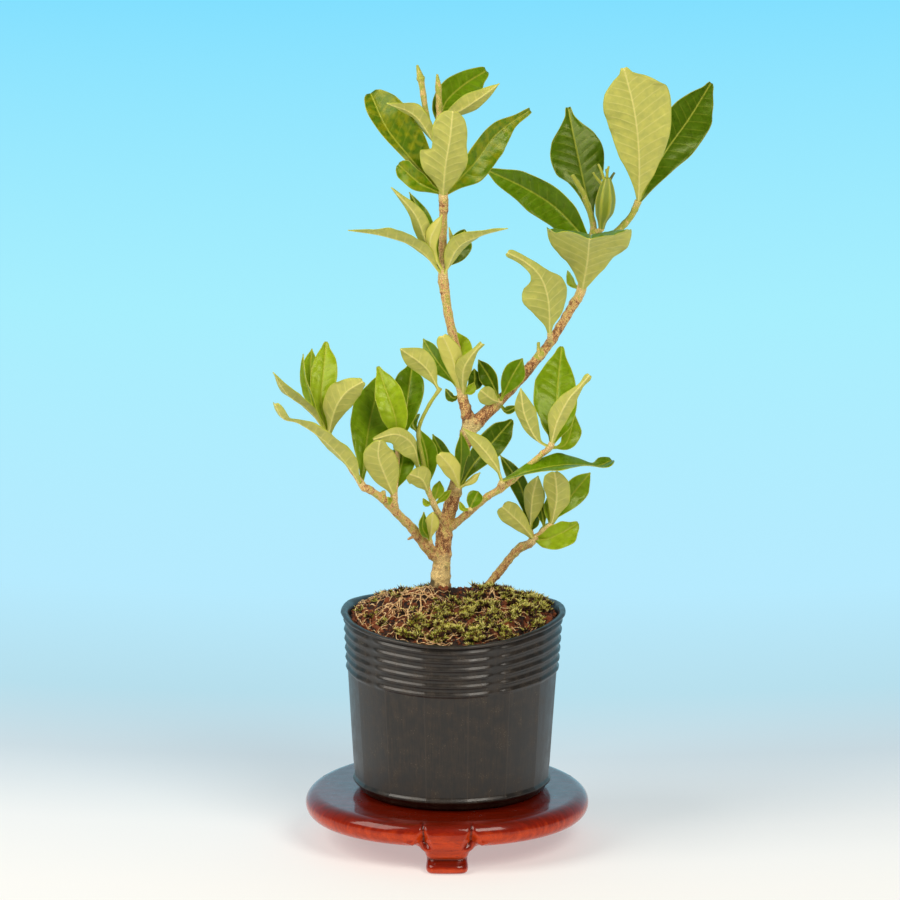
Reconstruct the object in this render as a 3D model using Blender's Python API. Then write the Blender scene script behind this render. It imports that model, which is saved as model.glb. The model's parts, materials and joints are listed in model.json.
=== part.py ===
"""A small gardenia trained as a bonsai, in a soft nursery pot on a carved wooden stand.

Every piece is a closed solid at its real size, in metres, with +Z up. The floor is at Z = 0 and
the origin lies under the middle of the whole plant's reach. The stand, the pot and the soil are
worked out from a few driving sizes. The wood and the leaves are named by where they show from
the front: how far right of and above the middle of the view they lie, and how far in front of
the trunk's upright plane, all in millimetres.
"""

import math
from typing import NamedTuple

import bpy
from mathutils import Vector

MM = 0.001

# The eye that the places of wood and leaves are named from, in millimetres and degrees.
EYE_DISTANCE = 2000.0
EYE_DIP = 12.9
EYE_AIM_HEIGHT = 124.3

# The middle of the plant's reach, seen from above, which becomes the origin.
REACH_CENTRE_X = 14.1
REACH_CENTRE_Y = 0.6

# Clearance between pieces that rest on or in each other.
GAP = 0.35

# Stand: a round top with a rounded edge on three carved feet.
STAND_RADIUS = 44.3
STAND_TOP = 16.0
STAND_THICKNESS = 8.0
STAND_CENTRE_X = -0.9
STAND_SEGMENTS = 48
STAND_EDGE_STEPS = 6
STAND_LOBE = 0.8
FOOT_ANGLES = (-90.0, 30.0, 150.0)
FOOT_CORNER_SHARE = 0.35
FOOT_SECTIONS = (
    # height, half width, inner radius, outer radius
    (0.0, 6.2, 34.5, 42.6),
    (1.6, 6.6, 34.2, 43.8),
    (2.9, 6.3, 34.0, 43.4),
    (4.2, 6.3, 33.0, 41.9),
    (6.4, 7.0, 31.0, 42.0),
    (8.3, 10.5, 28.5, 42.9),
    (9.6, 15.0, 27.0, 43.2),
    (11.0, 15.6, 27.0, 42.6),
)

# Pot: a thin moulded cup with six rings under its lip.
POT_CENTRE_X = 0.6
POT_RIM_RADIUS = 35.2
POT_BASE_RADIUS = 29.6
POT_WALL_FOOT_RADIUS = 30.3
POT_LIP_REACH = 1.3
POT_HEIGHT = 55.7
POT_PLAIN_HEIGHT = 22.0
POT_BEAD = ((30.9, 2.7), (31.0, 3.6), (30.5, 4.4))
POT_WALL = 0.9
POT_FLOOR = 1.0
POT_DRAIN_RADIUS = 7.0
POT_SEGMENTS = 36
POT_RING_COUNT = 6
POT_RING_PITCH = 2.86
POT_RING_DEPTH = 0.55
POT_TOP_RING_DROP = 2.9
POT_RIM_SADDLE = 1.5
POT_SLACK_WIDE = 0.35
POT_SLACK_NARROW = 0.2

# Soil: a mound that fills the pot and rises round the trunk.
SOIL_EDGE_DROP = 2.4
SOIL_MOUND = 8.6
SOIL_RINGS = 7
SOIL_SIDE_HEIGHTS = (40.0, 20.0)
STEM_HOLE_DEPTH = 12.0
STEM_HOLE_SIDES = 12
TRUNK_FOOT_RADIUS = 3.15
BASAL_FOOT_RADIUS = 1.15
BASAL_HOLE_SLACK = 0.45
SOCKET_STRAIGHT = 1.1

# Moss: a pad over part of the soil's rings and steps.
MOSS_FIRST_RING = 2
MOSS_STEPS = range(24, 39)
MOSS_THICKNESS = 1.6
MOSS_BORDER_THICKNESS = 0.6

# Leaf blades and twigs.
BLADE_THICKNESS = 0.7
PETIOLE_HALF_WIDTH = 0.5
TIP_HALF_WIDTH = 0.3
PETIOLE_SHARE = 0.07
WAVE_SHARE = 0.045
WAVE_RATE = 15.0
SHORT_LEAF = 13.0
MIDDLING_LEAF = 26.0
RIB_STEPS = 8
STOUT_TWIG_RADIUS = 1.3
STOUT_TWIG_SIDES = 8
THIN_TWIG_SIDES = 6

# Faces that meet at a wider angle than this, in degrees, show an edge.
SHARP_ANGLE = 40.0


class Leaf(NamedTuple):
    """One leaf: places along its rib from its foot, its width and how it is held.

    left and right, where given, are the blade's half widths in millimetres at shares of its
    length, on either side of the rib as seen from the foot. lean carries the tip towards the
    eye where the lower face shows, and away from it where the upper face does.
    """

    rib: tuple
    width: float
    upper: bool = True
    turn: float = 0.0
    twist: float = 0.0
    fold: float = 18.0
    widest: float = 0.55
    taper: float = 1.0
    lean: float = 0.4
    left: tuple = ()
    right: tuple = ()


class Twig(NamedTuple):
    """A tapering round stem through places, with the radius at each."""

    points: tuple
    radii: tuple


class Shoot(NamedTuple):
    """A leafy stem: what carries it, where its socket grows from, its twigs and leaves.

    shift moves all its places by some millimetres towards the eye.
    """

    name: str
    parent: str
    root: tuple
    twigs: tuple
    leaves: tuple
    shift: float = 0.0


TRUNK_FOOT = (-3.1, -41.6, -4.0)
BASAL_FOOT = (10.2, -43.7, -9.0)

TRUNK_TWIGS = (
    Twig((TRUNK_FOOT, (-2.4, -33.5, -3.6), (-1.6, -24.8, -3.0), (0.2, -17.5, -2.0), (1.6, -12.0, -1.0),
          (3.6, -3.0, 0.2), (5.0, 4.0, 1.2), (7.0, 9.8, 2.0)),
         (TRUNK_FOOT_RADIUS, 2.7, 2.4, 2.25, 2.15, 2.0, 2.1, 2.7)),
    Twig(((6.4, 5.5, 1.6), (5.2, 11.5, 1.7), (4.2, 15.0, 1.5)), (2.0, 1.9, 1.5)),
    Twig(((6.2, 6.5, 1.6), (10.3, 10.6, 1.0), (18.6, 18.6, -2.4), (29.5, 31.3, -8.6), (34.7, 39.1, -11.2),
          (38.6, 45.6, -12.6)),
         (2.3, 2.1, 1.55, 1.45, 1.4, 1.4)),
    Twig(((-1.8, -35.0, -3.4), (-6.0, -31.6, -1.4), (-11.5, -24.5, 4.0), (-15.8, -20.2, 8.0),
          (-20.8, -15.2, 13.2), (-25.4, -12.0, 16.4)),
         (1.9, 1.7, 1.45, 1.35, 1.2, 1.1)),
    Twig(((-1.2, -24.8, -3.0), (1.6, -22.8, -0.5), (7.1, -18.3, 4.0), (11.8, -14.3, 6.5),
          (16.4, -11.5, 8.5), (25.4, -4.0, 11.0), (29.0, -0.8, 11.8)),
         (1.5, 1.35, 1.1, 1.1, 1.15, 0.95, 0.9)),
    Twig(((28.4, 30.0, -8.0), (27.5, 29.8, -6.8), (27.4, 33.4, -6.6)), (0.8, 0.7, 0.5)),
    Twig(((-20.6, -15.4, 13.0), (-20.6, -12.6, 13.6)), (0.9, 0.7)),
    Twig(((-10.2, -26.2, 2.8), (-13.2, -27.8, 3.4)), (0.8, 0.35)),
)

BASAL_TWIGS = (
    Twig((BASAL_FOOT, (13.0, -40.4, -10.4), (15.6, -37.4, -10.8), (18.6, -33.5, -10.2), (21.6, -30.4, -9.0),
          (23.6, -29.4, -8.0)),
         (BASAL_FOOT_RADIUS, 1.2, 1.4, 1.2, 1.45, 1.3)),
)

SHOOTS = (
    Shoot(
        "shoot_leader", "trunk", (5.2, 11.5, 1.7),
        (
            Twig(((3.9, 16.4, 1.4), (3.2, 22.0, 0.9), (1.6, 32.6, 0.0), (-0.3, 40.9, -1.0),
                  (-1.9, 51.0, -1.4)),
                 (1.5, 1.5, 1.4, 1.35, 1.4)),
        ),
        (
            Leaf(((2.6, 19.2, 0.4), (-3.7, 27.3, -1.2), (-8.3, 34.5, -2.6)), 6.6, turn=25.0),
            Leaf(((3.2, 18.6, 2.0), (0.7, 28.4, 3.8), (-2.3, 35.4, 3.6)), 6.8, upper=False,
                 left=((0.3, 2.2), (0.6, 3.2), (0.85, 2.8), (1.0, 1.2)),
                 right=((0.3, 2.0), (0.6, 3.4), (0.85, 2.4), (1.0, 1.0))),
            Leaf(((3.4, 21.0, 1.8), (3.6, 29.6, 3.0), (1.0, 37.2, 1.6)), 7.0, turn=-12.0),
            Leaf(((4.2, 17.2, 2.2), (4.2, 24.6, 5.2), (6.6, 29.2, 6.4), (10.0, 33.0, 6.6)), 5.6, upper=False,
                 left=((0.2, 1.4), (0.45, 3.0), (0.7, 1.7), (0.88, 0.9), (1.0, 0.9)),
                 right=((0.2, 1.2), (0.45, 2.4), (0.7, 1.6), (0.88, 0.8), (1.0, 0.9))),
            Leaf(((4.4, 17.6, 2.4), (6.4, 18.6, 3.8), (7.5, 21.0, 4.6)), 3.0, widest=0.5),
            Leaf(((4.2, 18.0, 0.8), (7.4, 20.6, -0.6), (7.5, 25.2, -1.0)), 5.2, turn=-10.0),
            Leaf(((3.2, 17.2, 1.2), (0.9, 16.2, 2.0), (-1.4, 19.0, 2.0)), 3.4, turn=30.0),
            Leaf(((3.0, 20.0, 0.0), (3.4, 25.0, -6.0), (2.2, 30.0, -13.0)), 8.0, turn=10.0),
        ),
    ),
    Shoot(
        "shoot_second", "shoot_leader", (-1.6, 49.0, -1.3),
        (
            Twig(((-2.1, 53.0, -1.4), (-2.2, 57.0, -1.4), (-2.2, 66.0, -1.2), (-2.0, 75.6, -1.0)),
                 (1.5, 1.3, 1.25, 1.3)),
        ),
        (
            Leaf(((-2.4, 54.2, -1.0), (-9.6, 62.4, 1.6), (-20.2, 66.4, 2.4), (-31.6, 68.2, 1.0)), 9.0,
                 upper=False, turn=70.0, widest=0.5),
            Leaf(((-1.9, 54.2, -0.6), (2.6, 63.0, 2.0), (9.6, 66.6, 2.8), (17.9, 68.8, 2.0)), 7.5,
                 upper=False, turn=-40.0, twist=-30.0, widest=0.45),
            Leaf(((-2.3, 55.0, -1.2), (-7.4, 64.6, 1.0), (-10.8, 73.0, 1.8), (-18.2, 81.4, 1.0)), 6.0,
                 upper=False, turn=20.0, left=((0.2, 1.4), (0.5, 2.6), (0.72, 1.6), (0.88, 0.8)),
                 right=((0.2, 1.2), (0.5, 2.8), (0.72, 2.0), (0.88, 0.9))),
            Leaf(((-2.3, 56.0, -1.6), (-7.8, 70.0, -2.2), (-12.6, 79.9, -3.0)), 5.0, turn=-15.0),
            Leaf(((-2.4, 55.6, -0.6), (-6.2, 64.0, 2.2), (-2.4, 73.0, 3.4)), 4.4, upper=False, turn=20.0),
            Leaf(((-2.3, 56.0, -1.8), (-5.2, 62.6, -4.6), (-4.0, 68.4, -7.0)), 6.0),
            Leaf(((-2.0, 56.0, -1.6), (2.2, 62.0, -3.6), (4.6, 68.4, -4.6)), 7.4, turn=-15.0, taper=0.8),
            Leaf(((-1.8, 57.0, -0.8), (0.2, 62.8, 0.0), (-0.2, 69.0, 0.2)), 4.0, upper=False, turn=55.0),
        ),
    ),
    Shoot(
        "shoot_top", "shoot_second", (-2.0, 74.0, -1.0),
        (
            Twig(((-2.0, 77.4, -1.0), (-2.4, 84.0, -1.8), (-3.0, 93.0, -2.6), (-3.3, 104.0, -2.8),
                  (-3.5, 110.6, -2.6), (-3.6, 112.6, -2.6), (-4.0, 116.6, -2.4)),
                 (1.4, 1.3, 1.15, 1.0, 0.95, 1.1, 0.35)),
            Twig(((-3.0, 94.0, -2.6), (-6.8, 102.0, -2.2), (-8.7, 113.0, -1.6), (-9.1, 115.2, -1.5),
                  (-10.2, 119.4, -1.2)),
                 (0.9, 0.85, 0.95, 1.3, 0.35)),
        ),
        (
            Leaf(((-2.2, 78.6, -0.6), (-1.4, 88.0, 4.0), (0.0, 96.5, 6.0), (0.9, 105.0, 5.4)), 15.0,
                 upper=False, fold=12.0,
                 left=((0.1, 2.2), (0.25, 6.0), (0.38, 8.0), (0.47, 8.4), (0.52, 5.0), (0.62, 5.2),
                       (0.78, 5.8), (0.9, 4.6), (0.97, 2.8), (1.0, 1.2)),
                 right=((0.1, 2.2), (0.25, 5.2), (0.38, 6.4), (0.47, 6.6), (0.52, 6.2), (0.62, 5.4),
                        (0.78, 5.0), (0.9, 4.0), (0.97, 2.4), (1.0, 1.2))),
            Leaf(((-2.5, 79.4, -1.2), (-12.4, 90.6, 0.4), (-19.8, 100.0, 1.6), (-24.6, 110.6, 1.4)), 10.0,
                 fold=24.0,
                 left=((0.12, 0.8), (0.3, 1.4), (0.5, 1.9), (0.7, 2.6), (0.85, 3.2), (0.95, 2.6),
                       (1.0, 1.4)),
                 right=((0.12, 1.6), (0.3, 6.0), (0.5, 8.4), (0.7, 8.6), (0.85, 7.2), (0.95, 4.4),
                        (1.0, 2.0))),
            Leaf(((-2.6, 79.6, -1.0), (-9.6, 83.0, 2.4), (-16.0, 88.6, 2.8)), 7.6, turn=15.0,
                 left=((0.2, 1.2), (0.5, 2.8), (0.8, 3.0), (0.95, 1.8), (1.0, 0.8)),
                 right=((0.2, 1.4), (0.5, 3.4), (0.8, 3.6), (0.95, 2.2), (1.0, 0.8))),
            Leaf(((-2.9, 92.0, -2.6), (-10.4, 103.4, -5.0), (-19.6, 107.6, -8.0)), 7.0, upper=False,
                 turn=50.0),
            Leaf(((-3.1, 100.0, -3.0), (-1.6, 107.4, -5.0), (4.0, 113.0, -7.0), (11.2, 117.6, -8.0)), 9.6,
                 left=((0.2, 3.6), (0.45, 4.6), (0.7, 3.8), (0.88, 2.4), (1.0, 1.2)),
                 right=((0.2, 2.6), (0.45, 4.8), (0.7, 5.4), (0.88, 3.0), (1.0, 1.2))),
            Leaf(((-3.1, 102.6, -2.2), (3.0, 105.2, 0.6), (9.0, 109.0, 1.8), (15.3, 113.6, 2.0)), 6.4,
                 upper=False, turn=-30.0, widest=0.42),
            Leaf(((-1.9, 79.0, -1.4), (7.4, 88.8, -1.4), (14.4, 98.0, -2.0), (24.8, 105.4, -2.0)), 9.6,
                 turn=-22.0,
                 left=((0.12, 1.4), (0.3, 3.8), (0.5, 4.6), (0.68, 3.6), (0.85, 1.7), (1.0, 0.9)),
                 right=((0.12, 2.0), (0.3, 5.0), (0.5, 5.4), (0.68, 3.8), (0.85, 1.6), (1.0, 0.9))),
            Leaf(((-2.3, 80.0, -2.0), (-1.6, 88.0, -10.0), (0.0, 95.0, -19.0)), 11.0),
        ),
    ),
    Shoot(
        "shoot_right_tip", "trunk", (38.0, 44.8, 2.9),
        (
            Twig(((39.9, 47.6, 3.0), (40.8, 50.0, 2.2), (42.2, 58.0, -2.0), (43.8, 65.5, -4.6),
                  (44.4, 70.0, -3.6), (41.9, 78.1, -2.6), (40.6, 80.8, -2.4), (37.8, 85.3, -1.8)),
                 (1.5, 1.4, 1.3, 1.2, 0.95, 0.9, 0.8, 0.75)),
            Twig(((42.2, 58.0, -2.0), (50.0, 66.0, -4.4), (55.8, 72.0, -4.2), (58.4, 77.2, -3.8)),
                 (1.2, 1.1, 1.05, 1.0)),
        ),
        (
            Leaf(((41.0, 49.6, 3.0), (42.6, 58.6, 9.0), (43.2, 65.0, 17.0), (43.6, 66.6, 28.0),
                  (43.4, 65.4, 37.0)), 26.0, upper=False, fold=8.0, twist=-9.0, lean=0.0,
                 left=((0.12, 3.4), (0.3, 8.8), (0.45, 12.8), (0.58, 13.4), (0.72, 11.4), (0.86, 7.0),
                       (0.96, 2.4), (1.0, 0.8)),
                 right=((0.12, 3.4), (0.3, 8.2), (0.45, 12.0), (0.58, 12.8), (0.72, 11.0), (0.86, 6.6),
                        (0.96, 2.2), (1.0, 0.8))),
            Leaf(((43.4, 64.0, -4.2), (33.0, 75.0, -1.4), (22.6, 81.6, 0.0), (11.9, 86.6, 1.6)), 11.4,
                 turn=15.0,
                 left=((0.12, 2.4), (0.3, 5.2), (0.5, 5.6), (0.7, 4.4), (0.88, 2.8), (0.97, 1.2),
                       (1.0, 0.7)),
                 right=((0.12, 2.4), (0.3, 5.0), (0.5, 5.6), (0.7, 5.0), (0.88, 2.6), (0.97, 1.4),
                        (1.0, 0.7))),
            Leaf(((44.2, 70.4, -4.2), (40.8, 86.0, -7.8), (38.4, 97.0, -8.6), (36.6, 106.2, -8.8)), 15.6,
                 left=((0.12, 1.2), (0.25, 2.6), (0.36, 4.8), (0.43, 7.8), (0.56, 8.6), (0.7, 7.4),
                       (0.84, 3.5), (0.93, 1.4), (1.0, 0.8)),
                 right=((0.12, 1.6), (0.25, 4.4), (0.36, 6.4), (0.43, 7.2), (0.56, 8.2), (0.7, 6.8),
                        (0.84, 3.2), (0.93, 1.3), (1.0, 0.8))),
            Leaf(((58.4, 76.8, -3.6), (58.6, 91.0, -1.4), (57.2, 105.0, -1.0), (53.9, 118.4, -2.0)), 21.4,
                 upper=False, fold=10.0,
                 left=((0.06, 1.0), (0.2, 3.4), (0.35, 6.4), (0.55, 8.6), (0.7, 9.4), (0.8, 8.4),
                       (0.9, 4.6), (0.96, 1.7), (1.0, 1.0)),
                 right=((0.06, 1.2), (0.2, 5.0), (0.35, 8.2), (0.55, 10.8), (0.7, 11.6), (0.8, 10.8),
                        (0.9, 6.0), (0.96, 2.0), (1.0, 1.0))),
            Leaf(((58.6, 76.8, -4.4), (65.6, 90.6, -6.4), (74.0, 102.6, -8.4), (80.9, 113.8, -9.0)), 15.6,
                 turn=-8.0,
                 left=((0.1, 1.6), (0.3, 5.6), (0.5, 7.4), (0.7, 6.6), (0.84, 4.2), (0.94, 1.6),
                       (1.0, 0.7)),
                 right=((0.1, 1.8), (0.3, 5.0), (0.5, 7.2), (0.7, 6.8), (0.84, 4.6), (0.94, 2.2),
                        (1.0, 0.7))),
            Leaf(((40.6, 49.6, 2.0), (38.2, 51.6, 0.8), (36.4, 55.6, -0.6)), 3.4, turn=40.0),
            Leaf(((43.6, 64.6, -5.0), (44.6, 63.6, -14.0), (45.6, 59.4, -24.0)), 12.0),
        ),
        shift=-16.0,
    ),
    Shoot(
        "shoot_right_inner", "trunk", (30.6, 32.8, 2.2),
        (
            Twig(((31.0, 34.4, 4.4), (30.9, 36.4, 5.2)), (0.8, 0.7)),
        ),
        (
            Leaf(((30.9, 35.6, 4.9), (30.4, 46.6, 7.4), (27.9, 53.9, 7.8), (23.2, 58.4, 7.0),
                  (17.8, 61.2, 6.4)), 13.6, upper=False, fold=12.0,
                 left=((0.08, 1.2), (0.22, 4.6), (0.4, 7.8), (0.5, 6.8), (0.6, 3.4), (0.7, 2.0),
                       (0.85, 1.6), (0.96, 1.6), (1.0, 0.9)),
                 right=((0.08, 1.2), (0.22, 5.2), (0.4, 6.6), (0.5, 6.0), (0.6, 3.2), (0.7, 2.0),
                        (0.85, 1.5), (0.96, 1.5), (1.0, 0.9))),
        ),
        shift=-10.4,
    ),
    Shoot(
        "shoot_fork", "trunk", (14.6, 14.6, 2.2),
        (
            Twig(((15.2, 14.6, 4.6), (15.6, 15.4, 5.8)), (0.95, 0.8)),
        ),
        (
            Leaf(((15.6, 15.0, 5.3), (12.6, 21.9, 5.0), (8.8, 28.0, 5.0)), 5.8, turn=22.0),
            Leaf(((15.6, 15.2, 5.6), (18.8, 22.2, 6.4), (22.5, 28.4, 6.4)), 7.0, turn=-12.0),
            Leaf(((15.3, 14.8, 5.4), (12.6, 16.0, 7.6), (9.4, 18.6, 8.4)), 5.8, upper=False, taper=0.55),
            Leaf(((15.4, 14.8, 5.0), (17.2, 12.0, 5.8), (20.9, 13.6, 5.6)), 3.0, turn=40.0),
        ),
        shift=-3.0,
    ),
    Shoot(
        "shoot_left_tip", "trunk", (-24.4, -12.6, 7.2),
        (
            Twig(((-27.0, -11.2, 8.0), (-28.4, -9.0, 7.6), (-32.4, -3.2, 6.4), (-37.4, 3.6, 5.6),
                  (-38.4, 6.4, 5.4)),
                 (1.15, 1.0, 0.9, 0.85, 0.8)),
        ),
        (
            Leaf(((-38.4, 5.6, 5.4), (-40.0, 14.6, 7.2), (-39.2, 24.2, 7.6), (-38.4, 33.6, 6.6)), 8.2,
                 left=((0.15, 1.6), (0.4, 3.4), (0.6, 3.8), (0.78, 3.0), (0.92, 1.3), (1.0, 0.4)),
                 right=((0.15, 1.4), (0.4, 3.6), (0.6, 4.4), (0.78, 3.6), (0.92, 1.4), (1.0, 0.4))),
            Leaf(((-38.6, 6.0, 5.0), (-41.6, 15.5, 4.0), (-43.2, 24.2, 2.6), (-42.8, 31.4, 1.0)), 6.8,
                 turn=10.0),
            Leaf(((-37.6, 4.4, 6.2), (-35.4, 13.0, 8.4), (-31.8, 18.2, 9.4), (-27.0, 21.2, 9.6)), 9.4,
                 upper=False, fold=26.0,
                 left=((0.15, 1.6), (0.35, 4.4), (0.55, 5.0), (0.75, 3.6), (0.92, 1.8), (1.0, 0.9)),
                 right=((0.15, 1.2), (0.35, 3.0), (0.55, 4.2), (0.75, 4.0), (0.92, 2.2), (1.0, 0.9))),
            Leaf(((-38.2, 5.4, 5.8), (-42.4, 14.6, 7.4), (-45.0, 22.8, 8.4), (-45.6, 29.8, 8.6)), 5.0,
                 turn=62.0),
            Leaf(((-38.0, 5.0, 5.8), (-43.4, 12.2, 7.8), (-50.4, 17.4, 9.2), (-54.8, 24.1, 9.2)), 6.0,
                 upper=False, turn=58.0),
            Leaf(((-27.8, -10.2, 8.6), (-32.4, -3.6, 10.4), (-39.0, 3.2, 11.4), (-46.8, 8.4, 11.6),
                  (-51.6, 9.8, 11.4), (-54.3, 14.4, 10.8)), 9.0, upper=False, turn=62.0,
                 left=((0.06, 1.2), (0.22, 3.6), (0.45, 4.4), (0.65, 3.2), (0.78, 1.4), (0.9, 2.2),
                       (1.0, 1.0)),
                 right=((0.06, 1.2), (0.22, 3.8), (0.45, 4.2), (0.65, 3.0), (0.78, 1.4), (0.9, 2.4),
                        (1.0, 1.0))),
            Leaf(((-27.4, -10.4, 7.2), (-26.0, 1.6, 2.4), (-24.0, 13.0, -1.6), (-20.6, 23.0, -4.4)), 13.6,
                 turn=-4.0,
                 left=((0.1, 1.2), (0.3, 4.0), (0.5, 6.2), (0.68, 6.2), (0.84, 3.8), (1.0, 0.7)),
                 right=((0.1, 1.0), (0.3, 3.6), (0.5, 6.0), (0.68, 6.2), (0.84, 4.0), (1.0, 0.7))),
        ),
        shift=9.0,
    ),
    Shoot(
        "shoot_left_side", "trunk", (-17.0, -19.2, 3.7),
        (
            Twig(((-17.3, -15.6, 6.2), (-17.3, -12.8, 6.0), (-16.6, -6.0, 4.8), (-15.9, 2.0, 4.0)),
                 (1.1, 1.0, 0.85, 0.8)),
        ),
        (
            Leaf(((-17.3, -14.6, 6.0), (-20.2, -7.8, 9.8), (-22.2, -1.8, 12.2), (-21.8, 3.0, 12.8)), 10.0,
                 upper=False, fold=12.0,
                 left=((0.12, 1.2), (0.35, 3.8), (0.6, 5.0), (0.78, 4.6), (0.9, 2.8), (1.0, 0.8)),
                 right=((0.12, 1.6), (0.35, 4.6), (0.6, 5.2), (0.78, 4.4), (0.9, 2.8), (1.0, 0.8))),
            Leaf(((-17.2, -13.8, 5.4), (-15.2, -5.4, 5.2), (-14.2, 2.6, 3.4)), 7.6, turn=-14.0),
            Leaf(((-15.9, 1.0, 4.2), (-16.9, 10.0, 6.4), (-20.0, 19.0, 7.2), (-22.4, 25.9, 7.0)), 9.2,
                 left=((0.15, 1.8), (0.4, 4.4), (0.6, 4.2), (0.8, 2.4), (0.93, 1.0), (1.0, 0.4)),
                 right=((0.15, 1.8), (0.4, 4.2), (0.6, 4.6), (0.8, 3.2), (0.93, 1.2), (1.0, 0.4))),
            Leaf(((-15.8, 1.6, 3.6), (-13.6, 12.0, 2.4), (-12.6, 20.6, 1.4), (-11.5, 27.4, 0.4)), 10.4,
                 turn=-6.0,
                 left=((0.15, 1.4), (0.4, 3.8), (0.62, 5.2), (0.78, 4.2), (0.9, 1.9), (1.0, 0.4)),
                 right=((0.15, 1.4), (0.4, 3.6), (0.62, 4.6), (0.78, 4.0), (0.9, 1.6), (1.0, 0.4))),
            Leaf(((-17.0, -10.0, 5.0), (-15.6, -4.0, -2.6), (-14.0, 0.6, -10.0)), 8.0),
            Leaf(((-17.4, -14.6, 6.0), (-18.7, -15.8, 9.6), (-19.3, -14.6, 12.6)), 2.2, turn=20.0),
        ),
        shift=5.6,
    ),
    Shoot(
        "shoot_middle_left", "trunk", (-0.6, -24.0, -1.6),
        (
            Twig(((-4.2, -18.6, 3.0), (-5.4, -16.0, 4.2), (-6.8, -12.6, 6.0)), (0.95, 0.9, 0.85)),
            Twig(((-6.6, -13.0, 5.9), (-9.8, -5.4, 7.4)), (0.8, 0.6)),
            Twig(((-6.7, -13.0, 5.9), (-8.2, -4.0, 6.0), (-9.8, 5.6, 6.4), (-7.0, 13.0, 6.8),
                  (-3.0, 19.2, 6.8)),
                 (0.75, 0.7, 0.62, 0.6, 0.6)),
        ),
        (
            Leaf(((-9.7, -5.8, 7.4), (-11.6, 1.4, 9.4), (-16.6, 4.8, 10.2), (-23.8, 3.2, 9.4)), 7.6,
                 upper=False, turn=-16.0,
                 left=((0.15, 1.4), (0.35, 4.2), (0.58, 4.4), (0.8, 2.2), (1.0, 0.5)),
                 right=((0.15, 1.0), (0.35, 2.4), (0.58, 2.6), (0.8, 1.6), (1.0, 0.5))),
            Leaf(((-6.6, -12.6, 6.2), (-7.0, -2.4, 7.2), (-9.4, 6.4, 7.4)), 6.6, turn=-6.0),
            Leaf(((-6.8, -13.0, 6.4), (-8.8, -9.0, 9.6), (-12.6, -7.4, 11.2)), 7.4, upper=False,
                 turn=10.0, taper=0.5, widest=0.6),
            Leaf(((-3.4, 18.4, 6.8), (-7.6, 25.6, 7.2), (-15.4, 31.4, 6.6)), 7.6, upper=False, turn=12.0,
                 taper=0.9),
            Leaf(((-9.6, 5.0, 6.4), (-11.4, 8.4, 6.0), (-9.4, 11.2, 5.4)), 3.2, turn=20.0),
            Leaf(((-5.2, -16.2, 4.2), (-3.9, -12.6, 5.6), (-3.2, -9.6, 6.2)), 4.0, turn=-15.0),
            Leaf(((-4.9, -17.0, 3.8), (-2.2, -15.0, 4.6), (0.4, -12.4, 6.0)), 2.6, turn=20.0),
            Leaf(((-5.2, -16.2, 4.2), (-7.0, -16.6, 5.4), (-8.4, -15.0, 6.0)), 2.2, turn=30.0),
        ),
    ),
    Shoot(
        "shoot_trunk_front", "trunk", (1.8, -12.6, -1.0),
        (
            Twig(((2.6, -12.0, 3.0), (3.0, -11.4, 4.2)), (1.0, 0.85)),
        ),
        (
            Leaf(((2.8, -11.6, 4.2), (0.6, -6.0, 8.8), (-3.4, -1.2, 10.8)), 6.2, upper=False,
                 left=((0.2, 1.2), (0.5, 2.8), (0.8, 2.6), (0.95, 1.4), (1.0, 0.6)),
                 right=((0.2, 1.4), (0.5, 3.0), (0.8, 2.8), (0.95, 1.4), (1.0, 0.6))),
            Leaf(((2.7, -11.8, 3.8), (-1.4, -2.6, 5.0), (-5.4, 4.9, 4.4)), 5.4, turn=24.0),
            Leaf(((2.9, -11.6, 3.8), (3.4, -2.0, 5.4), (3.4, 5.6, 5.6)), 5.4, turn=-30.0, lean=0.0),
            Leaf(((3.1, -11.4, 3.6), (7.2, -4.6, 4.6), (12.8, 2.0, 3.4), (19.3, 9.4, -0.6)), 8.4, lean=0.0,
                 left=((0.12, 1.0), (0.35, 3.0), (0.6, 4.2), (0.8, 3.6), (0.93, 1.4), (1.0, 0.4)),
                 right=((0.12, 0.8), (0.35, 2.8), (0.6, 4.4), (0.8, 3.8), (0.93, 1.8), (1.0, 0.4))),
            Leaf(((2.9, -11.7, 4.1), (6.4, -9.6, 5.4), (9.4, -7.0, 5.8)), 2.4, upper=False, turn=20.0),
        ),
    ),
    Shoot(
        "shoot_low_left", "trunk", (-3.6, -33.0, -2.6),
        (
            Twig(((-6.0, -28.9, 1.9), (-6.1, -27.8, 2.6)), (0.7, 0.6)),
        ),
        (
            Leaf(((-6.2, -28.0, 2.4), (-8.6, -24.0, 7.4), (-8.1, -19.2, 9.8)), 4.2, turn=-40.0),
            Leaf(((-6.2, -28.1, 2.4), (-5.8, -24.0, 4.6), (-5.2, -19.2, 5.0)), 4.6, upper=False,
                 taper=0.9),
        ),
    ),
    Shoot(
        "shoot_low_right", "trunk", (15.4, -12.0, 8.1),
        (
            Twig(((15.9, -10.4, 10.2), (16.4, -9.4, 11.2)), (1.0, 0.85)),
        ),
        (
            Leaf(((16.2, -9.8, 11.0), (14.2, -4.8, 12.4), (9.9, 0.8, 12.0), (4.0, 6.8, 10.6)), 5.6,
                 upper=False, turn=-20.0, twist=70.0),
            Leaf(((16.3, -9.6, 11.0), (24.8, -6.6, 15.6), (34.1, -4.8, 17.4), (42.0, -4.6, 16.8),
                  (46.2, -4.9, 16.0), (50.2, -3.2, 15.2)), 9.0, upper=False, turn=56.0,
                 left=((0.1, 1.4), (0.3, 4.0), (0.52, 4.4), (0.7, 2.8), (0.8, 1.3), (0.92, 2.6),
                       (1.0, 1.2)),
                 right=((0.1, 1.2), (0.3, 3.8), (0.52, 4.2), (0.7, 2.6), (0.8, 1.3), (0.92, 2.8),
                        (1.0, 1.2))),
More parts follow.
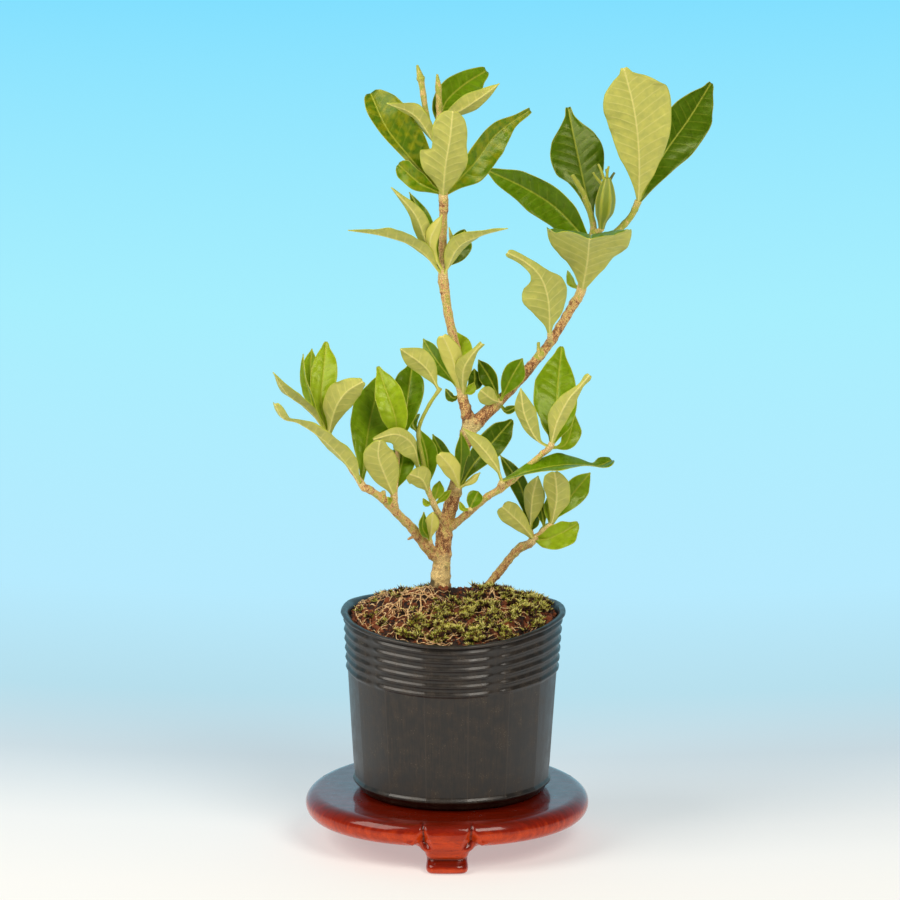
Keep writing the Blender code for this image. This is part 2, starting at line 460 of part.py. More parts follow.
        ),
    ),
    Shoot(
        "shoot_small", "trunk", (6.2, -19.0, 3.4),
        (
            Twig(((6.2, -18.6, 5.8), (6.3, -18.2, 6.8)), (0.75, 0.65)),
        ),
        (
            Leaf(((6.2, -18.4, 6.4), (7.2, -15.8, 7.8), (8.8, -12.8, 8.2)), 5.0, taper=0.55, widest=0.62),
            Leaf(((6.2, -18.4, 6.4), (4.2, -18.2, 7.0), (3.0, -16.0, 7.2)), 2.0, turn=20.0),
        ),
    ),
    Shoot(
        "shoot_right_mid", "trunk", (28.2, -1.4, 11.6),
        (
            Twig(((30.2, 0.0, 12.2), (31.2, 1.2, 12.8), (31.6, 2.6, 13.2)), (0.95, 0.9, 0.8)),
        ),
        (
            Leaf(((31.4, 1.2, 12.6), (32.9, 10.0, 11.4), (33.4, 20.0, 9.6), (34.6, 32.1, 7.6)), 13.8,
                 fold=12.0,
                 left=((0.08, 1.4), (0.22, 4.6), (0.42, 7.4), (0.58, 7.2), (0.74, 5.2), (0.9, 2.2),
                       (1.0, 0.5)),
                 right=((0.08, 2.0), (0.22, 5.2), (0.42, 6.2), (0.58, 5.6), (0.74, 4.0), (0.9, 1.6),
                        (1.0, 0.5))),
            Leaf(((31.5, 1.8, 13.2), (33.2, 8.6, 15.6), (36.6, 15.4, 16.6), (40.2, 19.6, 16.2),
                  (43.3, 23.2, 15.4)), 6.4, upper=False,
                 left=((0.12, 1.6), (0.35, 3.6), (0.55, 2.8), (0.72, 1.5), (0.86, 0.8), (0.95, 1.2),
                       (1.0, 0.7)),
                 right=((0.12, 1.2), (0.35, 2.6), (0.55, 2.8), (0.72, 1.8), (0.86, 0.9), (0.95, 1.2),
                        (1.0, 0.7))),
            Leaf(((31.0, 0.6, 12.0), (36.0, 2.0, 10.4), (38.6, 11.2, 8.4)), 6.4, turn=-10.0),
            Leaf(((30.8, 0.8, 12.4), (26.8, 3.6, 13.2), (23.2, 11.0, 12.8), (21.9, 19.2, 11.0)), 6.8,
                 upper=False, turn=30.0),
            Leaf(((31.3, 1.8, 12.6), (32.0, 8.0, 4.6), (32.6, 12.6, -3.0)), 9.0),
        ),
    ),
    Shoot(
        "shoot_basal", "basal_stem", (22.4, -30.0, 3.0),
        (
            Twig(((24.8, -28.9, 5.4), (25.8, -28.0, 6.2), (28.6, -25.4, 7.6), (31.8, -22.8, 8.8)),
                 (1.3, 1.15, 0.85, 0.8)),
            Twig(((25.6, -28.2, 6.0), (24.8, -24.6, 5.4)), (0.9, 0.75)),
        ),
        (
            Leaf(((26.0, -27.8, 6.6), (21.6, -22.6, 9.2), (16.2, -17.6, 10.4)), 8.0, upper=False,
                 left=((0.15, 1.0), (0.45, 2.6), (0.75, 3.4), (0.93, 2.6), (1.0, 1.4)),
                 right=((0.15, 1.2), (0.45, 2.8), (0.75, 3.6), (0.93, 2.8), (1.0, 1.4))),
            Leaf(((26.2, -27.6, 6.8), (29.8, -27.6, 9.6), (34.7, -25.6, 11.6), (39.7, -22.6, 12.0)), 9.4,
                 left=((0.2, 1.8), (0.45, 3.4), (0.65, 3.4), (0.85, 1.6), (1.0, 0.5)),
                 right=((0.2, 2.4), (0.45, 4.4), (0.65, 4.6), (0.85, 2.8), (1.0, 0.5))),
            Leaf(((31.4, -23.0, 8.8), (33.0, -15.6, 11.2), (32.9, -10.4, 11.8), (32.4, -6.8, 11.6)), 8.6,
                 upper=False,
                 left=((0.15, 1.0), (0.45, 3.0), (0.7, 4.2), (0.88, 3.6), (0.97, 1.8), (1.0, 0.8)),
                 right=((0.15, 1.6), (0.45, 4.2), (0.7, 4.0), (0.88, 2.8), (0.97, 1.4), (1.0, 0.8))),
            Leaf(((24.9, -25.0, 5.4), (25.6, -15.0, 5.6), (27.3, -8.0, 4.6)), 7.2, upper=False,
                 turn=20.0),
            Leaf(((31.5, -23.0, 8.6), (37.4, -14.4, 8.2), (43.5, -7.0, 6.4)), 7.6, turn=-15.0),
            Leaf(((29.4, -24.8, 8.0), (28.4, -18.6, 8.6), (27.2, -14.6, 8.6)), 3.6, turn=20.0),
            Leaf(((31.0, -23.4, 8.6), (30.4, -18.8, 9.2), (30.1, -14.9, 9.2)), 3.2, turn=-20.0),
            Leaf(((25.0, -25.6, 5.6), (25.9, -22.4, 6.8), (27.2, -19.4, 7.2)), 5.0, turn=30.0),
            Leaf(((24.9, -25.2, 5.2), (22.6, -13.2, 4.0), (19.4, -7.0, 3.0), (15.5, -1.6, 2.2)), 5.6,
                 turn=15.0),
            Leaf(((25.6, -27.8, 6.0), (29.0, -27.0, -2.0), (33.0, -26.0, -9.0)), 8.0),
        ),
        shift=-12.2,
    ),
)

CALYX_SHIFT = -16.0
CALYX_ROOT = (44.6, 66.6, -4.0)
CALYX_RINGS = ((47.0, 68.6, -1.8, 0.9), (47.2, 70.6, -1.6, 1.4), (47.9, 73.6, -1.4, 2.6),
               (48.2, 77.0, -1.3, 2.9), (48.5, 81.0, -1.3, 2.2), (48.7, 84.4, -1.3, 1.0))
CALYX_RIB_COUNT = 6
CALYX_RIB_DEPTH = 0.16
SEPAL_TIPS = ((49.2, 87.9, -1.0), (45.9, 88.7, -1.8), (44.4, 86.0, -0.6), (48.4, 87.0, -3.6),
              (51.0, 86.0, -2.0))
SEPAL_RADII = (0.7, 0.5, 0.32)
CALYX_STALK_RADIUS = 0.8


def clear_scene():
    """Remove every object that the file starts with."""
    for obj in list(bpy.data.objects):
        bpy.data.objects.remove(obj, do_unlink=True)


def seen(place, shift=0.0):
    """Turn (across, rise, near) as seen from the front into a point in metres."""
    across, rise, near = place[0], place[1], place[2] + shift
    dip = math.radians(EYE_DIP)
    ray = Vector((across,
                  EYE_DISTANCE * math.cos(dip) + rise * math.sin(dip),
                  -EYE_DISTANCE * math.sin(dip) + rise * math.cos(dip)))
    reach = (EYE_DISTANCE * math.cos(dip) - near) / ray.y
    return (eye_point() + ray * reach) * MM


def eye_point():
    """The eye's place in millimetres."""
    dip = math.radians(EYE_DIP)
    return Vector((0.0, -EYE_DISTANCE * math.cos(dip), EYE_AIM_HEIGHT + EYE_DISTANCE * math.sin(dip)))


def material(name, colour, roughness, metallic=0.0):
    """A plain Principled material from an sRGB colour given as three bytes."""
    made = bpy.data.materials.new(name)
    made.use_nodes = True
    shader = made.node_tree.nodes["Principled BSDF"]
    linear = [channel_to_linear(byte / 255.0) for byte in colour]
    shader.inputs["Base Color"].default_value = (*linear, 1.0)
    shader.inputs["Roughness"].default_value = roughness
    shader.inputs["Metallic"].default_value = metallic
    return made


def channel_to_linear(value):
    """One sRGB channel as a linear value."""
    if value <= 0.04045:
        return value / 12.92
    return ((value + 0.055) / 1.055) ** 2.4


def add_object(name, points, faces, made_material=None):
    """Make a mesh object from points in metres and faces, shifted to the origin's place."""
    shift = Vector((REACH_CENTRE_X * MM, REACH_CENTRE_Y * MM, 0.0))
    mesh = bpy.data.meshes.new(name)
    mesh.from_pydata([tuple(Vector(point) - shift) for point in points], [], faces)
    mesh.validate()
    obj = bpy.data.objects.new(name, mesh)
    bpy.context.scene.collection.objects.link(obj)
    if made_material:
        mesh.materials.append(made_material)
    mesh.shade_smooth()
    mesh.set_sharp_from_angle(angle=math.radians(SHARP_ANGLE))
    return obj


def combine(name, pieces, made_material, operation="UNION"):
    """Join the first piece with all the others by one Boolean, and remove the others."""
    target = pieces[0]
    target.name = name
    others = bpy.data.collections.new(name + "_parts")
    bpy.context.scene.collection.children.link(others)
    for piece in pieces[1:]:
        bpy.context.scene.collection.objects.unlink(piece)
        others.objects.link(piece)
        piece.hide_render = True
        piece.display_type = "WIRE"
    joint = target.modifiers.new("Join", "BOOLEAN")
    joint.operation = operation
    joint.operand_type = "COLLECTION"
    joint.collection = others
    joint.solver = "EXACT"
    bpy.context.view_layer.update()
    evaluated = target.evaluated_get(bpy.context.evaluated_depsgraph_get())
    joined = bpy.data.meshes.new_from_object(evaluated)
    target.modifiers.clear()
    target.data = joined
    joined.name = name
    for piece in pieces[1:]:
        bpy.data.objects.remove(piece, do_unlink=True)
    bpy.data.collections.remove(others)
    joined.materials.clear()
    joined.materials.append(made_material)
    joined.shade_smooth()
    joined.set_sharp_from_angle(angle=math.radians(SHARP_ANGLE))
    return target


def ring_faces(rings, sides, first=0):
    """Side faces between stacked rings of the same number of points."""
    faces = []
    for ring in range(rings - 1):
        low = first + ring * sides
        high = low + sides
        for side in range(sides):
            after = (side + 1) % sides
            faces.append((low + side, low + after, high + after, high + side))
    return faces


def fan(centre, ring_start, sides, flip=False):
    """Triangles from a centre point to a ring."""
    faces = []
    for side in range(sides):
        after = ring_start + (side + 1) % sides
        here = ring_start + side
        faces.append((centre, after, here) if flip else (centre, here, after))
    return faces


def tube(points, radii, sides=None):
    """A closed round tube through points in metres with a radius in millimetres at each."""
    sides = sides or (STOUT_TWIG_SIDES if max(radii) > STOUT_TWIG_RADIUS else THIN_TWIG_SIDES)
    centres = [Vector(point) for point in points]
    rings = []
    side_axis = None
    for index, centre in enumerate(centres):
        before = centres[max(index - 1, 0)]
        after = centres[min(index + 1, len(centres) - 1)]
        along = (after - before).normalized()
        if side_axis is None:
            side_axis = along.orthogonal().normalized()
        else:
            side_axis = (side_axis - along * side_axis.dot(along)).normalized()
        other_axis = along.cross(side_axis)
        for side in range(sides):
            angle = math.tau * side / sides
            offset = side_axis * math.cos(angle) + other_axis * math.sin(angle)
            rings.append(centre + offset * radii[index] * MM)
    faces = ring_faces(len(centres), sides)
    faces.append(tuple(reversed(range(sides))))
    last = (len(centres) - 1) * sides
    faces.append(tuple(range(last, last + sides)))
    return add_object("twig", rings, faces)


def socket(shoot):
    """The short stub on which a shoot sits, ending square to it and a clearance short of it."""
    start = seen(shoot.twigs[0].points[0], shoot.shift)
    onward = seen(shoot.twigs[0].points[1], shoot.shift)
    along = (onward - start).normalized()
    radius = shoot.twigs[0].radii[0]
    end = start - along * GAP * MM
    return tube([seen(shoot.root, shoot.shift), end - along * SOCKET_STRAIGHT * MM, end],
                [radius * 1.05, radius * 1.1, radius])


def leaf_stations(length, leaf):
    """Where a leaf's rib is sampled: fewer places on a shorter leaf, more on a shaped outline."""
    if leaf.left:
        inner = [share for share, _ in leaf.left if 0.0 < share < 1.0]
        return (0.0, *inner, 1.0)
    if length < SHORT_LEAF * MM:
        return (0.0, 0.2, 0.5, 0.8, 1.0)
    if length < MIDDLING_LEAF * MM:
        return (0.0, 0.1, 0.28, 0.5, 0.7, 0.88, 1.0)
    return (0.0, 0.08, 0.22, 0.38, 0.55, 0.72, 0.88, 1.0)


def leaf_half_width(leaf, share, given):
    """Half the blade's width in millimetres at a share of its length, on one side of the rib."""
    if given:
        return half_width_between(((0.0, PETIOLE_HALF_WIDTH),) + given + ((1.0, TIP_HALF_WIDTH),), share)
    if share <= PETIOLE_SHARE:
        return PETIOLE_HALF_WIDTH
    along = (share - PETIOLE_SHARE) / (1.0 - PETIOLE_SHARE)
    power = math.log(0.5) / math.log(leaf.widest)
    swell = max(math.sin(math.pi * along ** power), 0.0) ** leaf.taper
    least = PETIOLE_HALF_WIDTH if along < 0.5 else TIP_HALF_WIDTH
    return max(leaf.width * 0.5 * swell, least)


def half_width_between(pairs, share):
    """A value read between the pairs of share and half width."""
    for (low_share, low), (high_share, high) in zip(pairs, pairs[1:]):
        if share <= high_share:
            part = (share - low_share) / max(high_share - low_share, 1e-6)
            return low + (high - low) * part
    return pairs[-1][1]


def leaned(leaf):
    """The rib's places with the leaf's lean towards the eye or away from it."""
    lengths = [0.0]
    for here, there in zip(leaf.rib, leaf.rib[1:]):
        lengths.append(lengths[-1] + math.hypot(there[0] - here[0], there[1] - here[1]))
    reach = lengths[-1] * leaf.lean * (-1.0 if leaf.upper else 1.0)
    return [(across, rise, near + reach * (length / lengths[-1]) ** 1.5)
            for (across, rise, near), length in zip(leaf.rib, lengths)]


def rib_line(places, shift):
    """A smooth line through the rib's places, as points with the length up to each."""
    spots = [seen(place, shift) for place in places]
    spots = [spots[0] * 2.0 - spots[1]] + spots + [spots[-1] * 2.0 - spots[-2]]
    line = [spots[1]]
    for before, here, there, after in zip(spots, spots[1:], spots[2:], spots[3:]):
        for step in range(1, RIB_STEPS + 1):
            t = step / RIB_STEPS
            line.append((here * 2.0 + (there - before) * t
                         + (before * 2.0 - here * 5.0 + there * 4.0 - after) * t ** 2
                         + (here * 3.0 - before - there * 3.0 + after) * t ** 3) * 0.5)
    lengths = [0.0]
    for here, there in zip(line, line[1:]):
        lengths.append(lengths[-1] + (there - here).length)
    return line, lengths


def along_line(line, lengths, share):
    """The point at a share of the line's length, and the line's direction there."""
    wanted = share * lengths[-1]
    index = 1
    while index < len(lengths) - 1 and lengths[index] < wanted:
        index += 1
    here, there = line[index - 1], line[index]
    part = (wanted - lengths[index - 1]) / (lengths[index] - lengths[index - 1])
    before, after = line[max(index - 2, 0)], line[min(index + 1, len(line) - 1)]
    return here + (there - here) * part, (after - before).normalized()


def blade(leaf, shift):
    """A closed leaf blade with its rib, fold and waved edges."""
    line, lengths = rib_line(leaned(leaf), shift)
    chord = (line[-1] - line[0]).normalized()
    to_eye = (eye_point() * MM - line[len(line) // 2]).normalized()
    across = chord.cross(to_eye).normalized()
    stations = leaf_stations(lengths[-1], leaf)
    slope = math.tan(math.radians(leaf.fold))
    top, bottom = [], []
    for share in stations:
        spot, along = along_line(line, lengths, share)
        facing = across.cross(along).normalized()
        side = along.cross(facing).normalized()
        roll = math.radians(leaf.turn + leaf.twist * share)
        width_way = side * math.cos(roll) + facing * math.sin(roll)
        up_way = facing * math.cos(roll) - side * math.sin(roll)
        if not leaf.upper:
            up_way.negate()
        left_half = leaf_half_width(leaf, share, leaf.left)
        right_half = leaf_half_width(leaf, share, leaf.right)
        left_lift = left_half * (slope + 2.0 * WAVE_SHARE * math.sin(WAVE_RATE * share))
        right_lift = right_half * (slope - 2.0 * WAVE_SHARE * math.sin(WAVE_RATE * share + 1.0))
        left = spot + (up_way * left_lift - width_way * left_half) * MM
        right = spot + (up_way * right_lift + width_way * right_half) * MM
        skin = up_way * BLADE_THICKNESS * 0.5 * MM
        top.extend((left + skin, spot + skin, right + skin))
        bottom.extend((left - skin, spot - skin, right - skin))
    return add_object("blade", top + bottom, blade_faces(len(stations), leaf.upper))


def blade_faces(count, upper):
    """Triangles of a blade of three points at each station, alike on both faces."""
    under = count * 3
    faces = []
    for row in range(count - 1):
        here, there = row * 3, row * 3 + 3
        faces.extend(((here, here + 1, there), (here + 1, there + 1, there),
                      (here + 1, here + 2, there + 2), (here + 1, there + 2, there + 1)))
        faces.extend(((under + here, under + there, under + here + 1),
                      (under + here + 1, under + there, under + there + 1),
                      (under + here + 1, under + there + 2, under + here + 2),
                      (under + here + 1, under + there + 1, under + there + 2)))
        faces.extend(((here, there, under + there), (here, under + there, under + here)))
        faces.extend(((here + 2, under + there + 2, there + 2),
                      (here + 2, under + here + 2, under + there + 2)))
    last = (count - 1) * 3
    for start in (0, 1):
        faces.extend(((start, under + start, under + start + 1), (start, under + start + 1, start + 1)))
        faces.extend(((last + start, last + start + 1, under + last + start + 1),
                      (last + start, under + last + start + 1, under + last + start)))
    if not upper:
        faces = [tuple(reversed(face)) for face in faces]
    return faces


def grown(name, twigs, leaves, carried, made_material, extra=(), shift=0.0):
    """One node of wood: its twigs, leaves and the sockets of the shoots that it carries."""
    pieces = [tube([seen(point, shift) for point in twig.points], twig.radii) for twig in twigs]
    pieces.extend(extra)
    pieces.extend(socket(shoot) for shoot in carried)
    pieces.extend(blade(leaf, shift) for leaf in leaves)
    return combine(name, pieces, made_material)


def pot_point(radius, height, angle):
    """A point on the pot: its mouth dips front and back and its wall is a little out of round."""
    share = height / POT_HEIGHT
    saddle = POT_RIM_SADDLE * math.cos(2.0 * angle) * share ** 2
    slack = (POT_SLACK_WIDE * math.sin(3.0 * angle + 1.0)
             + POT_SLACK_NARROW * math.sin(5.0 * angle + 2.0))
    reach = radius + slack * share ** 2
    return Vector((POT_CENTRE_X + reach * math.cos(angle), reach * math.sin(angle),
                   STAND_TOP + GAP + height + saddle)) * MM


def pot_wall_radius(height):
    """The wall's outer radius at a height above the pot's base."""
    share = height / POT_HEIGHT
    return POT_WALL_FOOT_RADIUS + (POT_RIM_RADIUS - POT_LIP_REACH - POT_WALL_FOOT_RADIUS) * share


def pot_profile():
    """The pot's section, from the drain hole under the floor, up the outside and down the inside."""
    lip = POT_HEIGHT
    outside = [(POT_DRAIN_RADIUS, 0.0), (POT_BASE_RADIUS - 1.0, 0.0), (POT_BASE_RADIUS, 0.6),
               (POT_BASE_RADIUS + 0.1, 2.0), *POT_BEAD]
    lowest_ring = lip - POT_TOP_RING_DROP - (POT_RING_COUNT - 1) * POT_RING_PITCH
    outside.append((pot_wall_radius(POT_PLAIN_HEIGHT), POT_PLAIN_HEIGHT))
    for ring in range(POT_RING_COUNT):
        crest = lowest_ring + ring * POT_RING_PITCH
        trough = crest - POT_RING_PITCH * 0.5
        outside.append((pot_wall_radius(trough), trough))
        outside.append((pot_wall_radius(crest) + POT_RING_DEPTH, crest))
    outside.extend(((pot_wall_radius(lip) - 0.1, lip - 1.4), (POT_RIM_RADIUS - 0.2, lip - 1.0),
                    (POT_RIM_RADIUS, lip - 0.5), (POT_RIM_RADIUS - 0.4, lip)))
    inner_lip = pot_wall_radius(lip) - POT_WALL
    inside = [(inner_lip, lip)]
    inside.extend((pot_inner_radius(height), height) for height in (*SOIL_SIDE_HEIGHTS, POT_FLOOR))
    inside.append((POT_DRAIN_RADIUS, POT_FLOOR))
    return outside + inside


def pot_inner_radius(height):
    """The pot's inner radius at a height above its base."""
    if height <= POT_FLOOR:
        return POT_BASE_RADIUS - POT_WALL
    low, high = POT_FLOOR, POT_HEIGHT
    share = (height - low) / (high - low)
    bottom, mouth = POT_BASE_RADIUS - POT_WALL, pot_wall_radius(POT_HEIGHT) - POT_WALL
    return bottom + (mouth - bottom) * share


def build_pot(made_material):
    """The pot: its section carried round, as one closed shell with a drain hole."""
    profile = pot_profile()
    points = []
    for radius, height in profile:
        for step in range(POT_SEGMENTS):
            points.append(pot_point(radius, height, math.tau * step / POT_SEGMENTS))
    faces = ring_faces(len(profile), POT_SEGMENTS)
    last = (len(profile) - 1) * POT_SEGMENTS
    for step in range(POT_SEGMENTS):
        after = (step + 1) % POT_SEGMENTS
        faces.append((last + step, last + after, after, step))
    return add_object("pot", points, faces, made_material)


def soil_height(radius_share, angle):
    """Height of the soil above the pot's base, with crumbs and hollows."""
    edge = POT_HEIGHT - SOIL_EDGE_DROP
    dome = SOIL_MOUND * (1.0 - radius_share ** 2)
    lumps = (0.55 * math.sin(3.0 * angle + 7.0 * radius_share)
             + 0.35 * math.sin(7.0 * angle - 9.0 * radius_share))
    return edge + dome + lumps * radius_share * (1.2 - radius_share) * 2.0


def soil_edge_radius():
    """Radius of the soil where it meets the pot's wall near the mouth."""
    return pot_inner_radius(POT_HEIGHT - SOIL_EDGE_DROP) - GAP


def soil_top_point(ring, step, raise_by=0.0):
    """A point of the soil's surface grid, raised by some millimetres."""
    share = ring / SOIL_RINGS
    angle = math.tau * step / POT_SEGMENTS
    spot = pot_point(soil_edge_radius() * share, soil_height(share, angle), angle)
    return spot + Vector((0.0, 0.0, raise_by * MM))


def build_soil(made_material):
    """The soil, with plain holes for the trunk and for the stem beside it."""
    points = [soil_top_point(0, 0)]
    faces = []
    for ring in range(1, SOIL_RINGS + 1):
        points.extend(soil_top_point(ring, step) for step in range(POT_SEGMENTS))
    faces.extend(fan(0, 1, POT_SEGMENTS))
    for ring in range(SOIL_RINGS - 1):
        low = 1 + ring * POT_SEGMENTS
        faces.extend(grid_ring(low, low + POT_SEGMENTS))
    edge = 1 + (SOIL_RINGS - 1) * POT_SEGMENTS
    for height in (*SOIL_SIDE_HEIGHTS, POT_FLOOR + GAP):
        radius = pot_inner_radius(max(height - GAP, POT_FLOOR)) - GAP
        points.extend(pot_point(radius, height, math.tau * step / POT_SEGMENTS)
                      for step in range(POT_SEGMENTS))
        faces.extend(grid_ring(edge, edge + POT_SEGMENTS))
        edge += POT_SEGMENTS
    faces.append(tuple(reversed(range(edge, edge + POT_SEGMENTS))))
    soil = add_object("soil", points, faces)
    holes = [hole_cutter(TRUNK_FOOT, TRUNK_FOOT_RADIUS + GAP),
             hole_cutter(BASAL_FOOT, BASAL_FOOT_RADIUS + GAP + BASAL_HOLE_SLACK)]
    return combine("soil", [soil] + holes, made_material, operation="DIFFERENCE")


def grid_ring(inner, outer):
    """Triangles between two rings of the round grid, all cut along the same diagonal."""
    faces = []
    for step in range(POT_SEGMENTS):
        after = (step + 1) % POT_SEGMENTS
        faces.append((inner + step, outer + step, outer + after))
        faces.append((inner + step, outer + after, inner + after))
    return faces


def hole_cutter(foot, radius):
    """An upright round cutter that opens the soil under a stem's foot."""
    spot = seen(foot)
    low = Vector((spot.x, spot.y, spot.z - STEM_HOLE_DEPTH * MM))
    high = Vector((spot.x, spot.y, spot.z + STEM_HOLE_DEPTH * MM))
    return tube([low, high], [radius, radius], sides=STEM_HOLE_SIDES)


def planted(foot, radius):
    """The straight part of a stem that stands in its hole in the soil."""
    spot = seen(foot)
    low = Vector((spot.x, spot.y, spot.z - (STEM_HOLE_DEPTH - GAP) * MM))
    high = spot + Vector((0.0, 0.0, 1.0 * MM))
    return tube([low, spot, high], [radius * 0.92, radius, radius * 0.98], sides=STEM_HOLE_SIDES)


def moss_depth(ring, step):
    """Thickness of the moss over the soil: thin at its border, tufted inside."""
    inner = ring - MOSS_FIRST_RING
    outer = SOIL_RINGS - ring
    side = min(step - MOSS_STEPS.start, MOSS_STEPS.stop - step)
    border = min(inner, outer + 1, side)
    tuft = 0.5 + 0.5 * math.sin(2.3 * step + 1.9 * ring)
    return MOSS_BORDER_THICKNESS if border <= 0 else MOSS_THICKNESS * (0.55 + 0.45 * tuft)


def build_moss(made_material):
    """The moss: a thin tufted pad that follows the soil at the front and the right."""
    columns = MOSS_STEPS.stop - MOSS_STEPS.start + 1
    rings = SOIL_RINGS - MOSS_FIRST_RING + 1
    points, faces = [], []
    for layer in ("top", "bottom"):
        for ring in range(MOSS_FIRST_RING, SOIL_RINGS + 1):
            for step in range(MOSS_STEPS.start, MOSS_STEPS.stop + 1):
                lift = GAP + (moss_depth(ring, step) if layer == "top" else 0.0)
                points.append(soil_top_point(ring, step, lift))
    under = rings * columns
    for ring in range(rings - 1):
        for column in range(columns - 1):
            here = ring * columns + column
            there = here + columns
            faces.extend(((here, there, there + 1), (here, there + 1, here + 1)))
            faces.extend(((under + here, under + there + 1, under + there),
                          (under + here, under + here + 1, under + there + 1)))
    border = list(range(columns))
    border += [ring * columns + columns - 1 for ring in range(1, rings)]
    border += [(rings - 1) * columns + column for column in range(columns - 2, -1, -1)]
    border += [ring * columns for ring in range(rings - 2, 0, -1)]
    for index, here in enumerate(border):
        after = border[(index + 1) % len(border)]
        faces.append((here, after, under + after, under + here))
    return add_object("moss", points, faces, made_material)


def stand_profile():
    """The round top's section, from its middle underneath, round its edge, to its middle above."""
    thick, radius = STAND_THICKNESS, STAND_RADIUS
    low = STAND_TOP - thick
    edge = []
    for index in range(STAND_EDGE_STEPS + 1):
        angle = math.pi * (index / STAND_EDGE_STEPS - 0.5)
        edge.append((radius - thick * 0.5 + thick * 0.5 * math.cos(angle),
                     low + thick * 0.5 + thick * 0.5 * math.sin(angle)))
    return edge


def build_stand(made_material):
    """The stand: a round top with a rounded edge, and three carved feet grown out of it."""
    profile = stand_profile()
    points = []
    for radius, height in profile:
        for step in range(STAND_SEGMENTS):
            angle = math.tau * step / STAND_SEGMENTS
            reach = radius - STAND_LOBE * math.cos(3.0 * (angle - math.radians(FOOT_ANGLES[0])))
            points.append(Vector((STAND_CENTRE_X + reach * math.cos(angle),
                                  reach * math.sin(angle), height)) * MM)
    faces = ring_faces(len(profile), STAND_SEGMENTS)
    last = (len(profile) - 1) * STAND_SEGMENTS
    faces.append(tuple(reversed(range(STAND_SEGMENTS))))
    faces.append(tuple(range(last, last + STAND_SEGMENTS)))
    top = add_object("stand", points, faces)
    return combine("stand", [top] + [foot(angle) for angle in FOOT_ANGLES], made_material)


def foot(angle_degrees):
    """One foot: stacked sections that flare into the top above and into a rolled toe below."""
    angle = math.radians(angle_degrees)
    outward = Vector((math.cos(angle), math.sin(angle), 0.0))
    sideways = Vector((-math.sin(angle), math.cos(angle), 0.0))
    centre = Vector((STAND_CENTRE_X, 0.0, 0.0))
    points = []
    for height, half, inner, outer in FOOT_SECTIONS:
        corner = min(half, (outer - inner) * 0.5) * FOOT_CORNER_SHARE
        outline = ((outer, -half + corner), (outer, half - corner), (outer - corner, half),
                   (inner + corner, half), (inner, half - corner), (inner, -half + corner),
                   (inner + corner, -half), (outer - corner, -half))
        for out, side in outline:
            points.append((centre + outward * out + sideways * side + Vector((0.0, 0.0, height))) * MM)
    sides = len(points) // len(FOOT_SECTIONS)
    faces = ring_faces(len(FOOT_SECTIONS), sides)
    faces.append(tuple(reversed(range(sides))))
    last = (len(FOOT_SECTIONS) - 1) * sides
    faces.append(tuple(range(last, last + sides)))
    return add_object("foot", points, faces)


def build_calyx(made_material):
    """The ribbed flower base on its stalk, with its narrow sepals."""
    sides = CALYX_RIB_COUNT * 2
    points = []
    for across, rise, near, radius in CALYX_RINGS:
        for side in range(sides):
            angle = math.tau * side / sides
            reach = radius * (1.0 + CALYX_RIB_DEPTH * (0.5 if side % 2 else -0.5))
            offset = Vector((reach * math.cos(angle), reach * math.sin(angle), 0.0)) * MM
            points.append(seen((across, rise, near), CALYX_SHIFT) + offset)
    faces = ring_faces(len(CALYX_RINGS), sides)
    faces.append(tuple(reversed(range(sides))))
    last = (len(CALYX_RINGS) - 1) * sides
    faces.append(tuple(range(last, last + sides)))
    body = add_object("calyx_body", points, faces)
    crown = CALYX_RINGS[-2][:3]
    sepals = [sepal(crown, tip) for tip in SEPAL_TIPS]
    return combine("flower_calyx", [body] + sepals, made_material)


def sepal(crown, tip):
    """One narrow sepal from the flower base's crown."""
    halfway = tuple((low + high) / 2 for low, high in zip(crown, tip))
    spots = [seen(place, CALYX_SHIFT) for place in (crown, halfway, tip)]
    return tube(spots, SEPAL_RADII, sides=5)


def calyx_socket():
    """The short stalk that the flower base sits on."""
    across, rise, near, radius = CALYX_RINGS[0]
    end = seen((across, rise, near), CALYX_SHIFT) - Vector((0.0, 0.0, GAP * MM))
    below = end - Vector((0.0, 0.0, 1.0 * MM))
    return tube([seen(CALYX_ROOT, CALYX_SHIFT), below, end], [CALYX_STALK_RADIUS, radius, radius * 0.95])


def main():
    """Build every piece of the plant, its pot and its stand."""
    clear_scene()
    build_stand(material("lacquered rosewood", (140, 40, 16), 0.22))
    build_pot(material("black polyethylene", (44, 41, 39), 0.42))
    build_soil(material("potting soil", (58, 32, 20), 0.95))
    build_moss(material("moss", (128, 124, 46), 0.9))
    bark = material("gardenia bark", (150, 104, 76), 0.8)
    leaf = material("gardenia leaf", (104, 136, 40), 0.35)
    children = {}
    for shoot in SHOOTS:
        children.setdefault(shoot.parent, []).append(shoot)
    grown("trunk", TRUNK_TWIGS, (), children["trunk"], bark,
          extra=(planted(TRUNK_FOOT, TRUNK_FOOT_RADIUS),))
    grown("basal_stem", BASAL_TWIGS, (), children["basal_stem"], bark,
          extra=(planted(BASAL_FOOT, BASAL_FOOT_RADIUS),))
    for shoot in SHOOTS:
        extra = (calyx_socket(),) if shoot.name == "shoot_right_tip" else ()
        grown(shoot.name, shoot.twigs, shoot.leaves, children.get(shoot.name, ()), leaf, extra=extra,
              shift=shoot.shift)
    build_calyx(material("flower calyx", (150, 160, 60), 0.5))


main()
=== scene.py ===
"""Looks of a small potted gardenia trained as a bonsai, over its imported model.

The wood and the leaves are named by where they show from the front, as in the part's source:
how far right of and above the middle of the view, and how far in front of the trunk's upright
plane, in millimetres. The pot, the soil and the stand are worked out from their driving sizes.
Every shape is made in millimetres and moved to the model's origin, in metres, as its mesh is made.
"""

